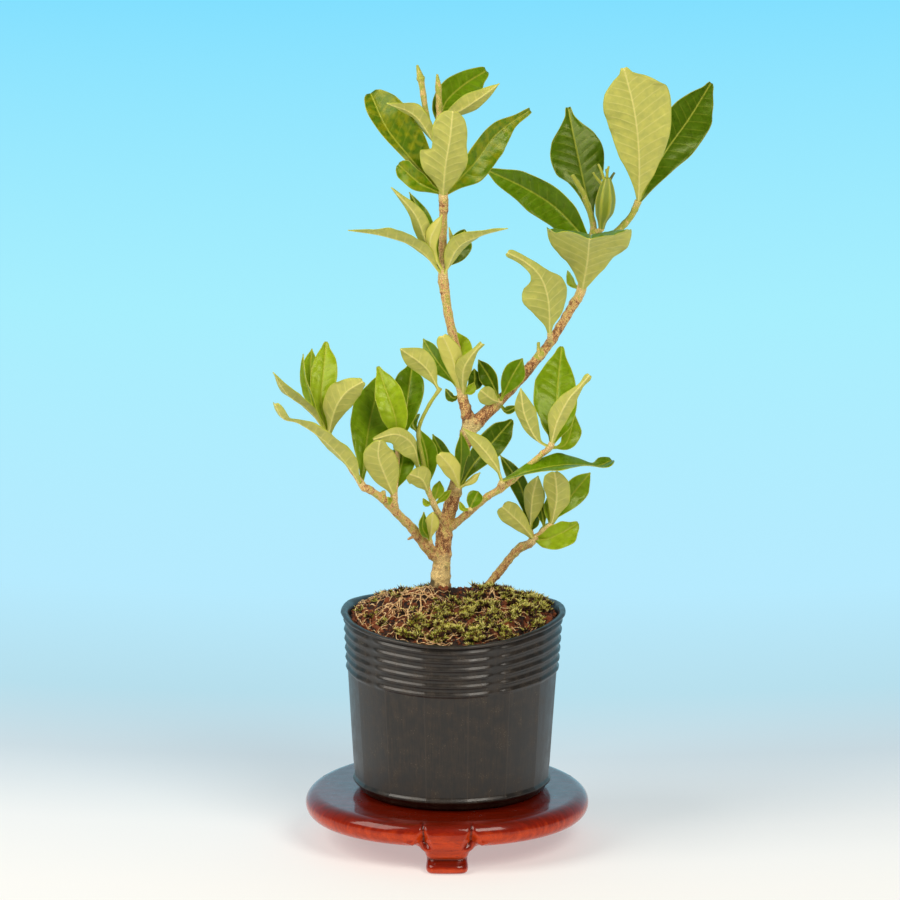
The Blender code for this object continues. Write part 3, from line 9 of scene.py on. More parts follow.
import json
import logging
import math
import random
import sys
from dataclasses import dataclass
from enum import Enum
from typing import Any, Iterable, Sequence, Union

import bmesh
import bpy
from bpy.types import Material, Node, NodeSocket, NodeTree, Object
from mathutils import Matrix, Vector, noise
from mathutils.kdtree import KDTree

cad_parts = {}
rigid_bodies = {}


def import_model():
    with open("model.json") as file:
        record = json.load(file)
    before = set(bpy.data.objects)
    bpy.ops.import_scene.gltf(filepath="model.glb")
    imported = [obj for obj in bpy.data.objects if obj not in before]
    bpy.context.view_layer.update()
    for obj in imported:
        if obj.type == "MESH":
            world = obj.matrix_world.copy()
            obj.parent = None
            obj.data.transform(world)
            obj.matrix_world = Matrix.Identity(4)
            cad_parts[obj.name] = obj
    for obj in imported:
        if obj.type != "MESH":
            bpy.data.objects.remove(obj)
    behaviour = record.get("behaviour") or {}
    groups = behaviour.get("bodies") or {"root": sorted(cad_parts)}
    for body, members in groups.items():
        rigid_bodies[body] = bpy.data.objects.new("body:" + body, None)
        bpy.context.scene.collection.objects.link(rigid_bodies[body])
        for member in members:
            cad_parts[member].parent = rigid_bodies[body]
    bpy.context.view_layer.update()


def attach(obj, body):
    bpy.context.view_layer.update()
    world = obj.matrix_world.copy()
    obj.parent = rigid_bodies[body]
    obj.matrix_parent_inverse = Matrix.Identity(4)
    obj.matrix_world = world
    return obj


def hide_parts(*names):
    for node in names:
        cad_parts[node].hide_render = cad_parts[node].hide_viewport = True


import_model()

LOG = logging.getLogger("gardenia")
BODY = "root"

MM = 0.001

# The middle of the plant's reach, seen from above, which is the model's origin.
REACH_CENTRE = Vector((14.1, 0.6, 0.0))

# The eye that the places of wood and leaves are named from, in millimetres and degrees.
EYE_DISTANCE = 2000.0
EYE_DIP = 12.9
EYE_AIM_HEIGHT = 124.3

# Clearance between pieces that rest on or in each other.
GAP = 0.35


class LeafLook(Enum):
    """How old and how healthy a leaf looks, by the letter that a shoot's list gives it; d is the darkest
    green, partly the leaf's own and partly painted shade for leaves that sit in shadow.
    """

    MATURE = "m"
    FRESH = "f"
    YOUNG = "y"
    # Painted shade in part: d gives the darkest green, for leaves that sit in shadow.
    DARK_AND_SHADED = "d"
    MOTTLED = "t"

    @property
    def youth(self) -> float:
        """How far the leaf's green goes from mature towards that of a new leaf."""
        return {"m": 0.3, "f": 0.6, "y": 1.0, "d": 0.0, "t": 0.25}[self.value]

    @property
    def mottle(self) -> float:
        """How much of the leaf is blotched with yellow."""
        return 1.0 if self is LeafLook.MOTTLED else 0.0


@dataclass(frozen=True)
class Leaf:
    """One leaf: places along its rib from its foot, its width and how it is held.

    sides, where given, has rows of a share of the blade's length and its half widths there in
    millimetres, at the left and at the right of the rib as seen from the foot. lean carries the
    tip towards the eye where the lower face shows, and away from it where the upper face does.
    """

    rib: tuple
    width: float
    upper: bool = True
    turn: float = 0.0
    twist: float = 0.0
    fold: float = 18.0
    widest: float = 0.55
    taper: float = 1.0
    lean: float = 0.4
    sides: tuple = ()

    def side(self, column: int) -> tuple:
        """Shares of the length and half widths there, from column 1 or 2 of sides."""
        return tuple((row[0], row[column]) for row in self.sides)


@dataclass(frozen=True)
class Twig:
    """A tapering round stem through places, with the radius at each.

    ripe is how woody it is at its foot and at its end: 0 is green, 0.5 tan and 1 old bark.
    """

    points: tuple
    radii: tuple
    ripe: tuple = (0.45, 0.2)


@dataclass(frozen=True)
class Shoot:
    """A leafy stem: what carries it, where its socket grows from, its twigs and leaves.

    looks has one letter of LeafLook for each leaf, and shift moves all its places by some
    millimetres towards the eye.
    """

    name: str
    parent: str
    root: tuple
    twigs: tuple
    leaves: tuple
    looks: str
    shift: float = 0.0


# Where the trunk's bark is pale and flaky, and where soil stains it: places as seen, radius and strength.
PALE_BARK = (((6.6, 6.2, 3.4), 4.2, 0.95), ((-3.0, -40.0, 0.0), 5.5, 0.75), ((-2.0, -34.6, -1.0), 3.6, 0.5),
             ((1.6, -12.0, 1.0), 3.0, 0.35), ((20.0, 20.2, -1.6), 2.6, 0.4))
SOILED_BARK = (((-5.6, -43.4, -3.0), 4.4, 0.9), ((0.4, -44.6, -2.0), 3.6, 0.8),
               ((-0.6, -37.0, -0.6), 1.6, 0.6))

TRUNK_TWIGS = (
    Twig(((-3.1, -41.6, -4.0), (-2.4, -33.5, -3.6), (-1.6, -24.8, -3.0), (0.2, -17.5, -2.0),
          (1.6, -12.0, -1.0), (3.6, -3.0, 0.2), (5.0, 4.0, 1.2), (7.0, 9.8, 2.0)),
         (3.15, 2.7, 2.4, 2.25, 2.15, 2.0, 2.1, 2.7), ripe=(0.75, 0.85)),
    Twig(((6.4, 5.5, 1.6), (5.2, 11.5, 1.7), (4.2, 15.0, 1.5)), (2.0, 1.9, 1.5), ripe=(1.0, 0.7)),
    Twig(((6.2, 6.5, 1.6), (10.3, 10.6, 1.0), (18.6, 18.6, -2.4), (29.5, 31.3, -8.6), (34.7, 39.1, -11.2),
          (38.6, 45.6, -12.6)), (2.3, 2.1, 1.55, 1.45, 1.4, 1.4), ripe=(0.9, 0.6)),
    Twig(((-1.8, -35.0, -3.4), (-6.0, -31.6, -1.4), (-11.5, -24.5, 4.0), (-15.8, -20.2, 8.0),
          (-20.8, -15.2, 13.2), (-25.4, -12.0, 16.4)), (1.9, 1.7, 1.45, 1.35, 1.2, 1.1), ripe=(0.55, 0.3)),
    Twig(((-1.2, -24.8, -3.0), (1.6, -22.8, -0.5), (7.1, -18.3, 4.0), (11.8, -14.3, 6.5), (16.4, -11.5, 8.5),
          (25.4, -4.0, 11.0), (29.0, -0.8, 11.8)), (1.5, 1.35, 1.1, 1.1, 1.15, 0.95, 0.9), ripe=(0.5, 0.25)),
    Twig(((28.4, 30.0, -8.0), (27.5, 29.8, -6.8), (27.4, 33.4, -6.6)), (0.8, 0.7, 0.5), ripe=(0.3, -0.1)),
    Twig(((-20.6, -15.4, 13.0), (-20.6, -12.6, 13.6)), (0.9, 0.7), ripe=(0.5, 0.4)),
    Twig(((-10.2, -26.2, 2.8), (-13.2, -27.8, 3.4)), (0.8, 0.35), ripe=(0.7, 0.6)),
)

BASAL_TWIGS = (
    Twig(((10.2, -43.7, -9.0), (13.0, -40.4, -10.4), (15.6, -37.4, -10.8), (18.6, -33.5, -10.2),
          (21.6, -30.4, -9.0), (23.6, -29.4, -8.0)), (1.15, 1.2, 1.4, 1.2, 1.45, 1.3), ripe=(0.6, 0.4)),
)

SHOOTS = (
    Shoot("shoot_leader", "trunk", (5.2, 11.5, 1.7), looks="myymyddm", twigs=(
        Twig(((3.9, 16.4, 1.4), (3.2, 22.0, 0.9), (1.6, 32.6, 0.0), (-0.3, 40.9, -1.0), (-1.9, 51.0, -1.4)),
             (1.5, 1.5, 1.4, 1.35, 1.4), ripe=(0.5, 0.35)),
    ), leaves=(
        Leaf(((2.6, 19.2, 0.4), (-3.7, 27.3, -1.2), (-8.3, 34.5, -2.6)), 6.6, turn=25.0),
        Leaf(((3.2, 18.6, 2.0), (0.7, 28.4, 3.8), (-2.3, 35.4, 3.6)), 6.8, upper=False,
             sides=((0.3, 2.2, 2.0), (0.6, 3.2, 3.4), (0.85, 2.8, 2.4), (1.0, 1.2, 1.0))),
        Leaf(((3.4, 21.0, 1.8), (3.6, 29.6, 3.0), (1.0, 37.2, 1.6)), 7.0, turn=-12.0),
        Leaf(((4.2, 17.2, 2.2), (4.2, 24.6, 5.2), (6.6, 29.2, 6.4), (10.0, 33.0, 6.6)), 5.6, upper=False,
             sides=((0.2, 1.4, 1.2), (0.45, 3.0, 2.4), (0.7, 1.7, 1.6), (0.88, 0.9, 0.8), (1.0, 0.9, 0.9))),
        Leaf(((4.4, 17.6, 2.4), (6.4, 18.6, 3.8), (7.5, 21.0, 4.6)), 3.0, widest=0.5),
        Leaf(((4.2, 18.0, 0.8), (7.4, 20.6, -0.6), (7.5, 25.2, -1.0)), 5.2, turn=-10.0),
        Leaf(((3.2, 17.2, 1.2), (0.9, 16.2, 2.0), (-1.4, 19.0, 2.0)), 3.4, turn=30.0),
        Leaf(((3.0, 20.0, 0.0), (3.4, 25.0, -6.0), (2.2, 30.0, -13.0)), 8.0, turn=10.0),
    )),
    Shoot("shoot_second", "shoot_leader", (-1.6, 49.0, -1.3), looks="mmmmyddy", twigs=(
        Twig(((-2.1, 53.0, -1.4), (-2.2, 57.0, -1.4), (-2.2, 66.0, -1.2), (-2.0, 75.6, -1.0)),
             (1.5, 1.3, 1.25, 1.3), ripe=(0.5, 0.35)),
    ), leaves=(
        Leaf(((-2.4, 54.2, -1.0), (-9.6, 62.4, 1.6), (-20.2, 66.4, 2.4), (-31.6, 68.2, 1.0)), 9.0,
             upper=False, turn=70.0, widest=0.5),
        Leaf(((-1.9, 54.2, -0.6), (2.6, 63.0, 2.0), (9.6, 66.6, 2.8), (17.9, 68.8, 2.0)), 7.5, upper=False,
             turn=-40.0, twist=-30.0, widest=0.45),
        Leaf(((-2.3, 55.0, -1.2), (-7.4, 64.6, 1.0), (-10.8, 73.0, 1.8), (-18.2, 81.4, 1.0)), 6.0,
             upper=False, turn=20.0, sides=((0.2, 1.4, 1.2), (0.5, 2.6, 2.8), (0.72, 1.6, 2.0),
                                            (0.88, 0.8, 0.9))),
        Leaf(((-2.3, 56.0, -1.6), (-7.8, 70.0, -2.2), (-12.6, 79.9, -3.0)), 5.0, turn=-15.0),
        Leaf(((-2.4, 55.6, -0.6), (-6.2, 64.0, 2.2), (-2.4, 73.0, 3.4)), 4.4, upper=False, turn=20.0),
        Leaf(((-2.3, 56.0, -1.8), (-5.2, 62.6, -4.6), (-4.0, 68.4, -7.0)), 6.0),
        Leaf(((-2.0, 56.0, -1.6), (2.2, 62.0, -3.6), (4.6, 68.4, -4.6)), 7.4, turn=-15.0, taper=0.8),
        Leaf(((-1.8, 57.0, -0.8), (0.2, 62.8, 0.0), (-0.2, 69.0, 0.2)), 4.0, upper=False, turn=55.0),
    )),
    Shoot("shoot_top", "shoot_second", (-2.0, 74.0, -1.0), looks="mttmmmtm", twigs=(
        Twig(((-2.0, 77.4, -1.0), (-2.4, 84.0, -1.8), (-3.0, 93.0, -2.6), (-3.3, 104.0, -2.8),
              (-3.5, 110.6, -2.6), (-3.6, 112.6, -2.6), (-4.0, 116.6, -2.4)),
             (1.4, 1.3, 1.15, 1.0, 0.95, 1.1, 0.35), ripe=(0.5, 0.02)),
        Twig(((-3.0, 94.0, -2.6), (-6.8, 102.0, -2.2), (-8.7, 113.0, -1.6), (-9.1, 115.2, -1.5),
              (-10.2, 119.4, -1.2)), (0.9, 0.85, 0.95, 1.3, 0.35), ripe=(0.2, 0.02)),
    ), leaves=(
        Leaf(((-2.2, 78.6, -0.6), (-1.4, 88.0, 4.0), (0.0, 96.5, 6.0), (0.9, 105.0, 5.4)), 15.0, upper=False,
             fold=12.0, sides=((0.1, 2.2, 2.2), (0.25, 6.0, 5.2), (0.38, 8.0, 6.4), (0.47, 8.4, 6.6),
                               (0.52, 5.0, 6.2), (0.62, 5.2, 5.4), (0.78, 5.8, 5.0), (0.9, 4.6, 4.0),
                               (0.97, 2.8, 2.4), (1.0, 1.2, 1.2))),
        Leaf(((-2.5, 79.4, -1.2), (-12.4, 90.6, 0.4), (-19.8, 100.0, 1.6), (-24.6, 110.6, 1.4)), 10.0,
             fold=24.0, sides=((0.12, 0.8, 1.6), (0.3, 1.4, 6.0), (0.5, 1.9, 8.4), (0.7, 2.6, 8.6),
                               (0.85, 3.2, 7.2), (0.95, 2.6, 4.4), (1.0, 1.4, 2.0))),
        Leaf(((-2.6, 79.6, -1.0), (-9.6, 83.0, 2.4), (-16.0, 88.6, 2.8)), 7.6, turn=15.0,
             sides=((0.2, 1.2, 1.4), (0.5, 2.8, 3.4), (0.8, 3.0, 3.6), (0.95, 1.8, 2.2), (1.0, 0.8, 0.8))),
        Leaf(((-2.9, 92.0, -2.6), (-10.4, 103.4, -5.0), (-19.6, 107.6, -8.0)), 7.0, upper=False, turn=50.0),
        Leaf(((-3.1, 100.0, -3.0), (-1.6, 107.4, -5.0), (4.0, 113.0, -7.0), (11.2, 117.6, -8.0)), 9.6,
             sides=((0.2, 3.6, 2.6), (0.45, 4.6, 4.8), (0.7, 3.8, 5.4), (0.88, 2.4, 3.0), (1.0, 1.2, 1.2))),
        Leaf(((-3.1, 102.6, -2.2), (3.0, 105.2, 0.6), (9.0, 109.0, 1.8), (15.3, 113.6, 2.0)), 6.4,
             upper=False, turn=-30.0, widest=0.42),
        Leaf(((-1.9, 79.0, -1.4), (7.4, 88.8, -1.4), (14.4, 98.0, -2.0), (24.8, 105.4, -2.0)), 9.6,
             turn=-22.0, sides=((0.12, 1.4, 2.0), (0.3, 3.8, 5.0), (0.5, 4.6, 5.4), (0.68, 3.6, 3.8),
                                (0.85, 1.7, 1.6), (1.0, 0.9, 0.9))),
        Leaf(((-2.3, 80.0, -2.0), (-1.6, 88.0, -10.0), (0.0, 95.0, -19.0)), 11.0),
    )),
    Shoot("shoot_right_tip", "trunk", (38.0, 44.8, 2.9), looks="mmdmdym", shift=-16.0, twigs=(
        Twig(((39.9, 47.6, 3.0), (40.8, 50.0, 2.2), (42.2, 58.0, -2.0), (43.8, 65.5, -4.6),
              (44.4, 70.0, -3.6), (41.9, 78.1, -2.6), (40.6, 80.8, -2.4), (37.8, 85.3, -1.8)),
             (1.5, 1.4, 1.3, 1.2, 0.95, 0.9, 0.8, 0.75), ripe=(0.3, -0.3)),
        Twig(((42.2, 58.0, -2.0), (50.0, 66.0, -4.4), (55.8, 72.0, -4.2), (58.4, 77.2, -3.8)),
             (1.2, 1.1, 1.05, 1.0), ripe=(0.05, -0.2)),
    ), leaves=(
        Leaf(((41.0, 49.6, 3.0), (42.6, 58.6, 9.0), (43.2, 65.0, 17.0), (43.6, 66.6, 28.0),
              (43.4, 65.4, 37.0)), 26.0, upper=False, fold=8.0, twist=-9.0, lean=0.0,
             sides=((0.12, 3.4, 3.4), (0.3, 8.8, 8.2), (0.45, 12.8, 12.0), (0.58, 13.4, 12.8),
                    (0.72, 11.4, 11.0), (0.86, 7.0, 6.6), (0.96, 2.4, 2.2), (1.0, 0.8, 0.8))),
        Leaf(((43.4, 64.0, -4.2), (33.0, 75.0, -1.4), (22.6, 81.6, 0.0), (11.9, 86.6, 1.6)), 11.4, turn=15.0,
             sides=((0.12, 2.4, 2.4), (0.3, 5.2, 5.0), (0.5, 5.6, 5.6), (0.7, 4.4, 5.0), (0.88, 2.8, 2.6),
                    (0.97, 1.2, 1.4), (1.0, 0.7, 0.7))),
        Leaf(((44.2, 70.4, -4.2), (40.8, 86.0, -7.8), (38.4, 97.0, -8.6), (36.6, 106.2, -8.8)), 15.6,
             sides=((0.12, 1.2, 1.6), (0.25, 2.6, 4.4), (0.36, 4.8, 6.4), (0.43, 7.8, 7.2), (0.56, 8.6, 8.2),
                    (0.7, 7.4, 6.8), (0.84, 3.5, 3.2), (0.93, 1.4, 1.3), (1.0, 0.8, 0.8))),
        Leaf(((58.4, 76.8, -3.6), (58.6, 91.0, -1.4), (57.2, 105.0, -1.0), (53.9, 118.4, -2.0)), 21.4,
             upper=False, fold=10.0, sides=((0.06, 1.0, 1.2), (0.2, 3.4, 5.0), (0.35, 6.4, 8.2),
                                            (0.55, 8.6, 10.8), (0.7, 9.4, 11.6), (0.8, 8.4, 10.8),
                                            (0.9, 4.6, 6.0), (0.96, 1.7, 2.0), (1.0, 1.0, 1.0))),
        Leaf(((58.6, 76.8, -4.4), (65.6, 90.6, -6.4), (74.0, 102.6, -8.4), (80.9, 113.8, -9.0)), 15.6,
             turn=-8.0, sides=((0.1, 1.6, 1.8), (0.3, 5.6, 5.0), (0.5, 7.4, 7.2), (0.7, 6.6, 6.8),
                               (0.84, 4.2, 4.6), (0.94, 1.6, 2.2), (1.0, 0.7, 0.7))),
        Leaf(((40.6, 49.6, 2.0), (38.2, 51.6, 0.8), (36.4, 55.6, -0.6)), 3.4, turn=40.0),
        Leaf(((43.6, 64.6, -5.0), (44.6, 63.6, -14.0), (45.6, 59.4, -24.0)), 12.0),
    )),
    Shoot("shoot_right_inner", "trunk", (30.6, 32.8, 2.2), looks="m", shift=-10.4, twigs=(
        Twig(((31.0, 34.4, 4.4), (30.9, 36.4, 5.2)), (0.8, 0.7)),
    ), leaves=(
        Leaf(((30.9, 35.6, 4.9), (30.4, 46.6, 7.4), (27.9, 53.9, 7.8), (23.2, 58.4, 7.0), (17.8, 61.2, 6.4)),
             13.6, upper=False, fold=12.0, sides=((0.08, 1.2, 1.2), (0.22, 4.6, 5.2), (0.4, 7.8, 6.6),
                                                  (0.5, 6.8, 6.0), (0.6, 3.4, 3.2), (0.7, 2.0, 2.0),
                                                  (0.85, 1.6, 1.5), (0.96, 1.6, 1.5), (1.0, 0.9, 0.9))),
    )),
    Shoot("shoot_fork", "trunk", (14.6, 14.6, 2.2), looks="dmmd", shift=-3.0, twigs=(
        Twig(((15.2, 14.6, 4.6), (15.6, 15.4, 5.8)), (0.95, 0.8)),
    ), leaves=(
        Leaf(((15.6, 15.0, 5.3), (12.6, 21.9, 5.0), (8.8, 28.0, 5.0)), 5.8, turn=22.0),
        Leaf(((15.6, 15.2, 5.6), (18.8, 22.2, 6.4), (22.5, 28.4, 6.4)), 7.0, turn=-12.0),
        Leaf(((15.3, 14.8, 5.4), (12.6, 16.0, 7.6), (9.4, 18.6, 8.4)), 5.8, upper=False, taper=0.55),
        Leaf(((15.4, 14.8, 5.0), (17.2, 12.0, 5.8), (20.9, 13.6, 5.6)), 3.0, turn=40.0),
    )),
    Shoot("shoot_left_tip", "trunk", (-24.4, -12.6, 7.2), looks="yfmfmmf", shift=9.0, twigs=(
        Twig(((-27.0, -11.2, 8.0), (-28.4, -9.0, 7.6), (-32.4, -3.2, 6.4), (-37.4, 3.6, 5.6),
              (-38.4, 6.4, 5.4)), (1.15, 1.0, 0.9, 0.85, 0.8)),
    ), leaves=(
        Leaf(((-38.4, 5.6, 5.4), (-40.0, 14.6, 7.2), (-39.2, 24.2, 7.6), (-38.4, 33.6, 6.6)), 8.2,
             sides=((0.15, 1.6, 1.4), (0.4, 3.4, 3.6), (0.6, 3.8, 4.4), (0.78, 3.0, 3.6), (0.92, 1.3, 1.4),
                    (1.0, 0.4, 0.4))),
        Leaf(((-38.6, 6.0, 5.0), (-41.6, 15.5, 4.0), (-43.2, 24.2, 2.6), (-42.8, 31.4, 1.0)), 6.8,
             turn=10.0),
        Leaf(((-37.6, 4.4, 6.2), (-35.4, 13.0, 8.4), (-31.8, 18.2, 9.4), (-27.0, 21.2, 9.6)), 9.4,
             upper=False, fold=26.0, sides=((0.15, 1.6, 1.2), (0.35, 4.4, 3.0), (0.55, 5.0, 4.2),
                                            (0.75, 3.6, 4.0), (0.92, 1.8, 2.2), (1.0, 0.9, 0.9))),
        Leaf(((-38.2, 5.4, 5.8), (-42.4, 14.6, 7.4), (-45.0, 22.8, 8.4), (-45.6, 29.8, 8.6)), 5.0,
             turn=62.0),
        Leaf(((-38.0, 5.0, 5.8), (-43.4, 12.2, 7.8), (-50.4, 17.4, 9.2), (-54.8, 24.1, 9.2)), 6.0,
             upper=False, turn=58.0),
        Leaf(((-27.8, -10.2, 8.6), (-32.4, -3.6, 10.4), (-39.0, 3.2, 11.4), (-46.8, 8.4, 11.6),
              (-51.6, 9.8, 11.4), (-54.3, 14.4, 10.8)), 9.0, upper=False, turn=62.0,
             sides=((0.06, 1.2, 1.2), (0.22, 3.6, 3.8), (0.45, 4.4, 4.2), (0.65, 3.2, 3.0), (0.78, 1.4, 1.4),
                    (0.9, 2.2, 2.4), (1.0, 1.0, 1.0))),
        Leaf(((-27.4, -10.4, 7.2), (-26.0, 1.6, 2.4), (-24.0, 13.0, -1.6), (-20.6, 23.0, -4.4)), 13.6,
             turn=-4.0, sides=((0.1, 1.2, 1.0), (0.3, 4.0, 3.6), (0.5, 6.2, 6.0), (0.68, 6.2, 6.2),
                               (0.84, 3.8, 4.0), (1.0, 0.7, 0.7))),
    )),
    Shoot("shoot_left_side", "trunk", (-17.0, -19.2, 3.7), looks="mmymmy", shift=5.6, twigs=(
        Twig(((-17.3, -15.6, 6.2), (-17.3, -12.8, 6.0), (-16.6, -6.0, 4.8), (-15.9, 2.0, 4.0)),
             (1.1, 1.0, 0.85, 0.8)),
    ), leaves=(
        Leaf(((-17.3, -14.6, 6.0), (-20.2, -7.8, 9.8), (-22.2, -1.8, 12.2), (-21.8, 3.0, 12.8)), 10.0,
             upper=False, fold=12.0, sides=((0.12, 1.2, 1.6), (0.35, 3.8, 4.6), (0.6, 5.0, 5.2),
                                            (0.78, 4.6, 4.4), (0.9, 2.8, 2.8), (1.0, 0.8, 0.8))),
        Leaf(((-17.2, -13.8, 5.4), (-15.2, -5.4, 5.2), (-14.2, 2.6, 3.4)), 7.6, turn=-14.0),
        Leaf(((-15.9, 1.0, 4.2), (-16.9, 10.0, 6.4), (-20.0, 19.0, 7.2), (-22.4, 25.9, 7.0)), 9.2,
             sides=((0.15, 1.8, 1.8), (0.4, 4.4, 4.2), (0.6, 4.2, 4.6), (0.8, 2.4, 3.2), (0.93, 1.0, 1.2),
                    (1.0, 0.4, 0.4))),
        Leaf(((-15.8, 1.6, 3.6), (-13.6, 12.0, 2.4), (-12.6, 20.6, 1.4), (-11.5, 27.4, 0.4)), 10.4,
             turn=-6.0, sides=((0.15, 1.4, 1.4), (0.4, 3.8, 3.6), (0.62, 5.2, 4.6), (0.78, 4.2, 4.0),
                               (0.9, 1.9, 1.6), (1.0, 0.4, 0.4))),
        Leaf(((-17.0, -10.0, 5.0), (-15.6, -4.0, -2.6), (-14.0, 0.6, -10.0)), 8.0),
        Leaf(((-17.4, -14.6, 6.0), (-18.7, -15.8, 9.6), (-19.3, -14.6, 12.6)), 2.2, turn=20.0),
    )),
    Shoot("shoot_middle_left", "trunk", (-0.6, -24.0, -1.6), looks="mmmmmfyy", twigs=(
        Twig(((-4.2, -18.6, 3.0), (-5.4, -16.0, 4.2), (-6.8, -12.6, 6.0)), (0.95, 0.9, 0.85),
             ripe=(0.4, 0.2)),
        Twig(((-6.6, -13.0, 5.9), (-9.8, -5.4, 7.4)), (0.8, 0.6), ripe=(0.1, -0.1)),
        Twig(((-6.7, -13.0, 5.9), (-8.2, -4.0, 6.0), (-9.8, 5.6, 6.4), (-7.0, 13.0, 6.8), (-3.0, 19.2, 6.8)),
             (0.75, 0.7, 0.62, 0.6, 0.6), ripe=(-0.2, -0.5)),
    ), leaves=(
        Leaf(((-9.7, -5.8, 7.4), (-11.6, 1.4, 9.4), (-16.6, 4.8, 10.2), (-23.8, 3.2, 9.4)), 7.6, upper=False,
             turn=-16.0, sides=((0.15, 1.4, 1.0), (0.35, 4.2, 2.4), (0.58, 4.4, 2.6), (0.8, 2.2, 1.6),
                                (1.0, 0.5, 0.5))),
        Leaf(((-6.6, -12.6, 6.2), (-7.0, -2.4, 7.2), (-9.4, 6.4, 7.4)), 6.6, turn=-6.0),
        Leaf(((-6.8, -13.0, 6.4), (-8.8, -9.0, 9.6), (-12.6, -7.4, 11.2)), 7.4, upper=False, turn=10.0,
             taper=0.5, widest=0.6),
        Leaf(((-3.4, 18.4, 6.8), (-7.6, 25.6, 7.2), (-15.4, 31.4, 6.6)), 7.6, upper=False, turn=12.0,
             taper=0.9),
        Leaf(((-9.6, 5.0, 6.4), (-11.4, 8.4, 6.0), (-9.4, 11.2, 5.4)), 3.2, turn=20.0),
        Leaf(((-5.2, -16.2, 4.2), (-3.9, -12.6, 5.6), (-3.2, -9.6, 6.2)), 4.0, turn=-15.0),
        Leaf(((-4.9, -17.0, 3.8), (-2.2, -15.0, 4.6), (0.4, -12.4, 6.0)), 2.6, turn=20.0),
        Leaf(((-5.2, -16.2, 4.2), (-7.0, -16.6, 5.4), (-8.4, -15.0, 6.0)), 2.2, turn=30.0),
    )),
    Shoot("shoot_trunk_front", "trunk", (1.8, -12.6, -1.0), looks="ymmdy", twigs=(
        Twig(((2.6, -12.0, 3.0), (3.0, -11.4, 4.2)), (1.0, 0.85)),
    ), leaves=(
        Leaf(((2.8, -11.6, 4.2), (0.6, -6.0, 8.8), (-3.4, -1.2, 10.8)), 6.2, upper=False,
             sides=((0.2, 1.2, 1.4), (0.5, 2.8, 3.0), (0.8, 2.6, 2.8), (0.95, 1.4, 1.4), (1.0, 0.6, 0.6))),
        Leaf(((2.7, -11.8, 3.8), (-1.4, -2.6, 5.0), (-5.4, 4.9, 4.4)), 5.4, turn=24.0),
        Leaf(((2.9, -11.6, 3.8), (3.4, -2.0, 5.4), (3.4, 5.6, 5.6)), 5.4, turn=-30.0, lean=0.0),
        Leaf(((3.1, -11.4, 3.6), (7.2, -4.6, 4.6), (12.8, 2.0, 3.4), (19.3, 9.4, -0.6)), 8.4, lean=0.0,
             sides=((0.12, 1.0, 0.8), (0.35, 3.0, 2.8), (0.6, 4.2, 4.4), (0.8, 3.6, 3.8), (0.93, 1.4, 1.8),
                    (1.0, 0.4, 0.4))),
        Leaf(((2.9, -11.7, 4.1), (6.4, -9.6, 5.4), (9.4, -7.0, 5.8)), 2.4, upper=False, turn=20.0),
    )),
    Shoot("shoot_low_left", "trunk", (-3.6, -33.0, -2.6), looks="my", twigs=(
        Twig(((-6.0, -28.9, 1.9), (-6.1, -27.8, 2.6)), (0.7, 0.6)),
    ), leaves=(
        Leaf(((-6.2, -28.0, 2.4), (-8.6, -24.0, 7.4), (-8.1, -19.2, 9.8)), 4.2, turn=-40.0),
        Leaf(((-6.2, -28.1, 2.4), (-5.8, -24.0, 4.6), (-5.2, -19.2, 5.0)), 4.6, upper=False, taper=0.9),
    )),
    Shoot("shoot_low_right", "trunk", (15.4, -12.0, 8.1), looks="mm", twigs=(
        Twig(((15.9, -10.4, 10.2), (16.4, -9.4, 11.2)), (1.0, 0.85)),
    ), leaves=(
        Leaf(((16.2, -9.8, 11.0), (14.2, -4.8, 12.4), (9.9, 0.8, 12.0), (4.0, 6.8, 10.6)), 5.6, upper=False,
             turn=-20.0, twist=70.0),
        Leaf(((16.3, -9.6, 11.0), (24.8, -6.6, 15.6), (34.1, -4.8, 17.4), (42.0, -4.6, 16.8),
              (46.2, -4.9, 16.0), (50.2, -3.2, 15.2)), 9.0, turn=56.0,
             sides=((0.1, 1.4, 1.2), (0.3, 4.0, 3.8), (0.52, 4.4, 4.2), (0.7, 2.8, 2.6), (0.8, 1.3, 1.3),
                    (0.92, 2.6, 2.8), (1.0, 1.2, 1.2))),
    )),
    Shoot("shoot_small", "trunk", (6.2, -19.0, 3.4), looks="my", twigs=(
        Twig(((6.2, -18.6, 5.8), (6.3, -18.2, 6.8)), (0.75, 0.65)),
    ), leaves=(
        Leaf(((6.2, -18.4, 6.4), (7.2, -15.8, 7.8), (8.8, -12.8, 8.2)), 5.0, taper=0.55, widest=0.62),
        Leaf(((6.2, -18.4, 6.4), (4.2, -18.2, 7.0), (3.0, -16.0, 7.2)), 2.0, turn=20.0),
    )),
    Shoot("shoot_right_mid", "trunk", (28.2, -1.4, 11.6), looks="fmfdm", twigs=(
        Twig(((30.2, 0.0, 12.2), (31.2, 1.2, 12.8), (31.6, 2.6, 13.2)), (0.95, 0.9, 0.8)),
    ), leaves=(
        Leaf(((31.4, 1.2, 12.6), (32.9, 10.0, 11.4), (33.4, 20.0, 9.6), (34.6, 32.1, 7.6)), 13.8, fold=12.0,
             sides=((0.08, 1.4, 2.0), (0.22, 4.6, 5.2), (0.42, 7.4, 6.2), (0.58, 7.2, 5.6), (0.74, 5.2, 4.0),
                    (0.9, 2.2, 1.6), (1.0, 0.5, 0.5))),
        Leaf(((31.5, 1.8, 13.2), (33.2, 8.6, 15.6), (36.6, 15.4, 16.6), (40.2, 19.6, 16.2),
              (43.3, 23.2, 15.4)), 6.4, upper=False, sides=((0.12, 1.6, 1.2), (0.35, 3.6, 2.6),
                                                            (0.55, 2.8, 2.8), (0.72, 1.5, 1.8),
                                                            (0.86, 0.8, 0.9), (0.95, 1.2, 1.2),
                                                            (1.0, 0.7, 0.7))),
        Leaf(((31.0, 0.6, 12.0), (36.0, 2.0, 10.4), (38.6, 11.2, 8.4)), 6.4, turn=-10.0),
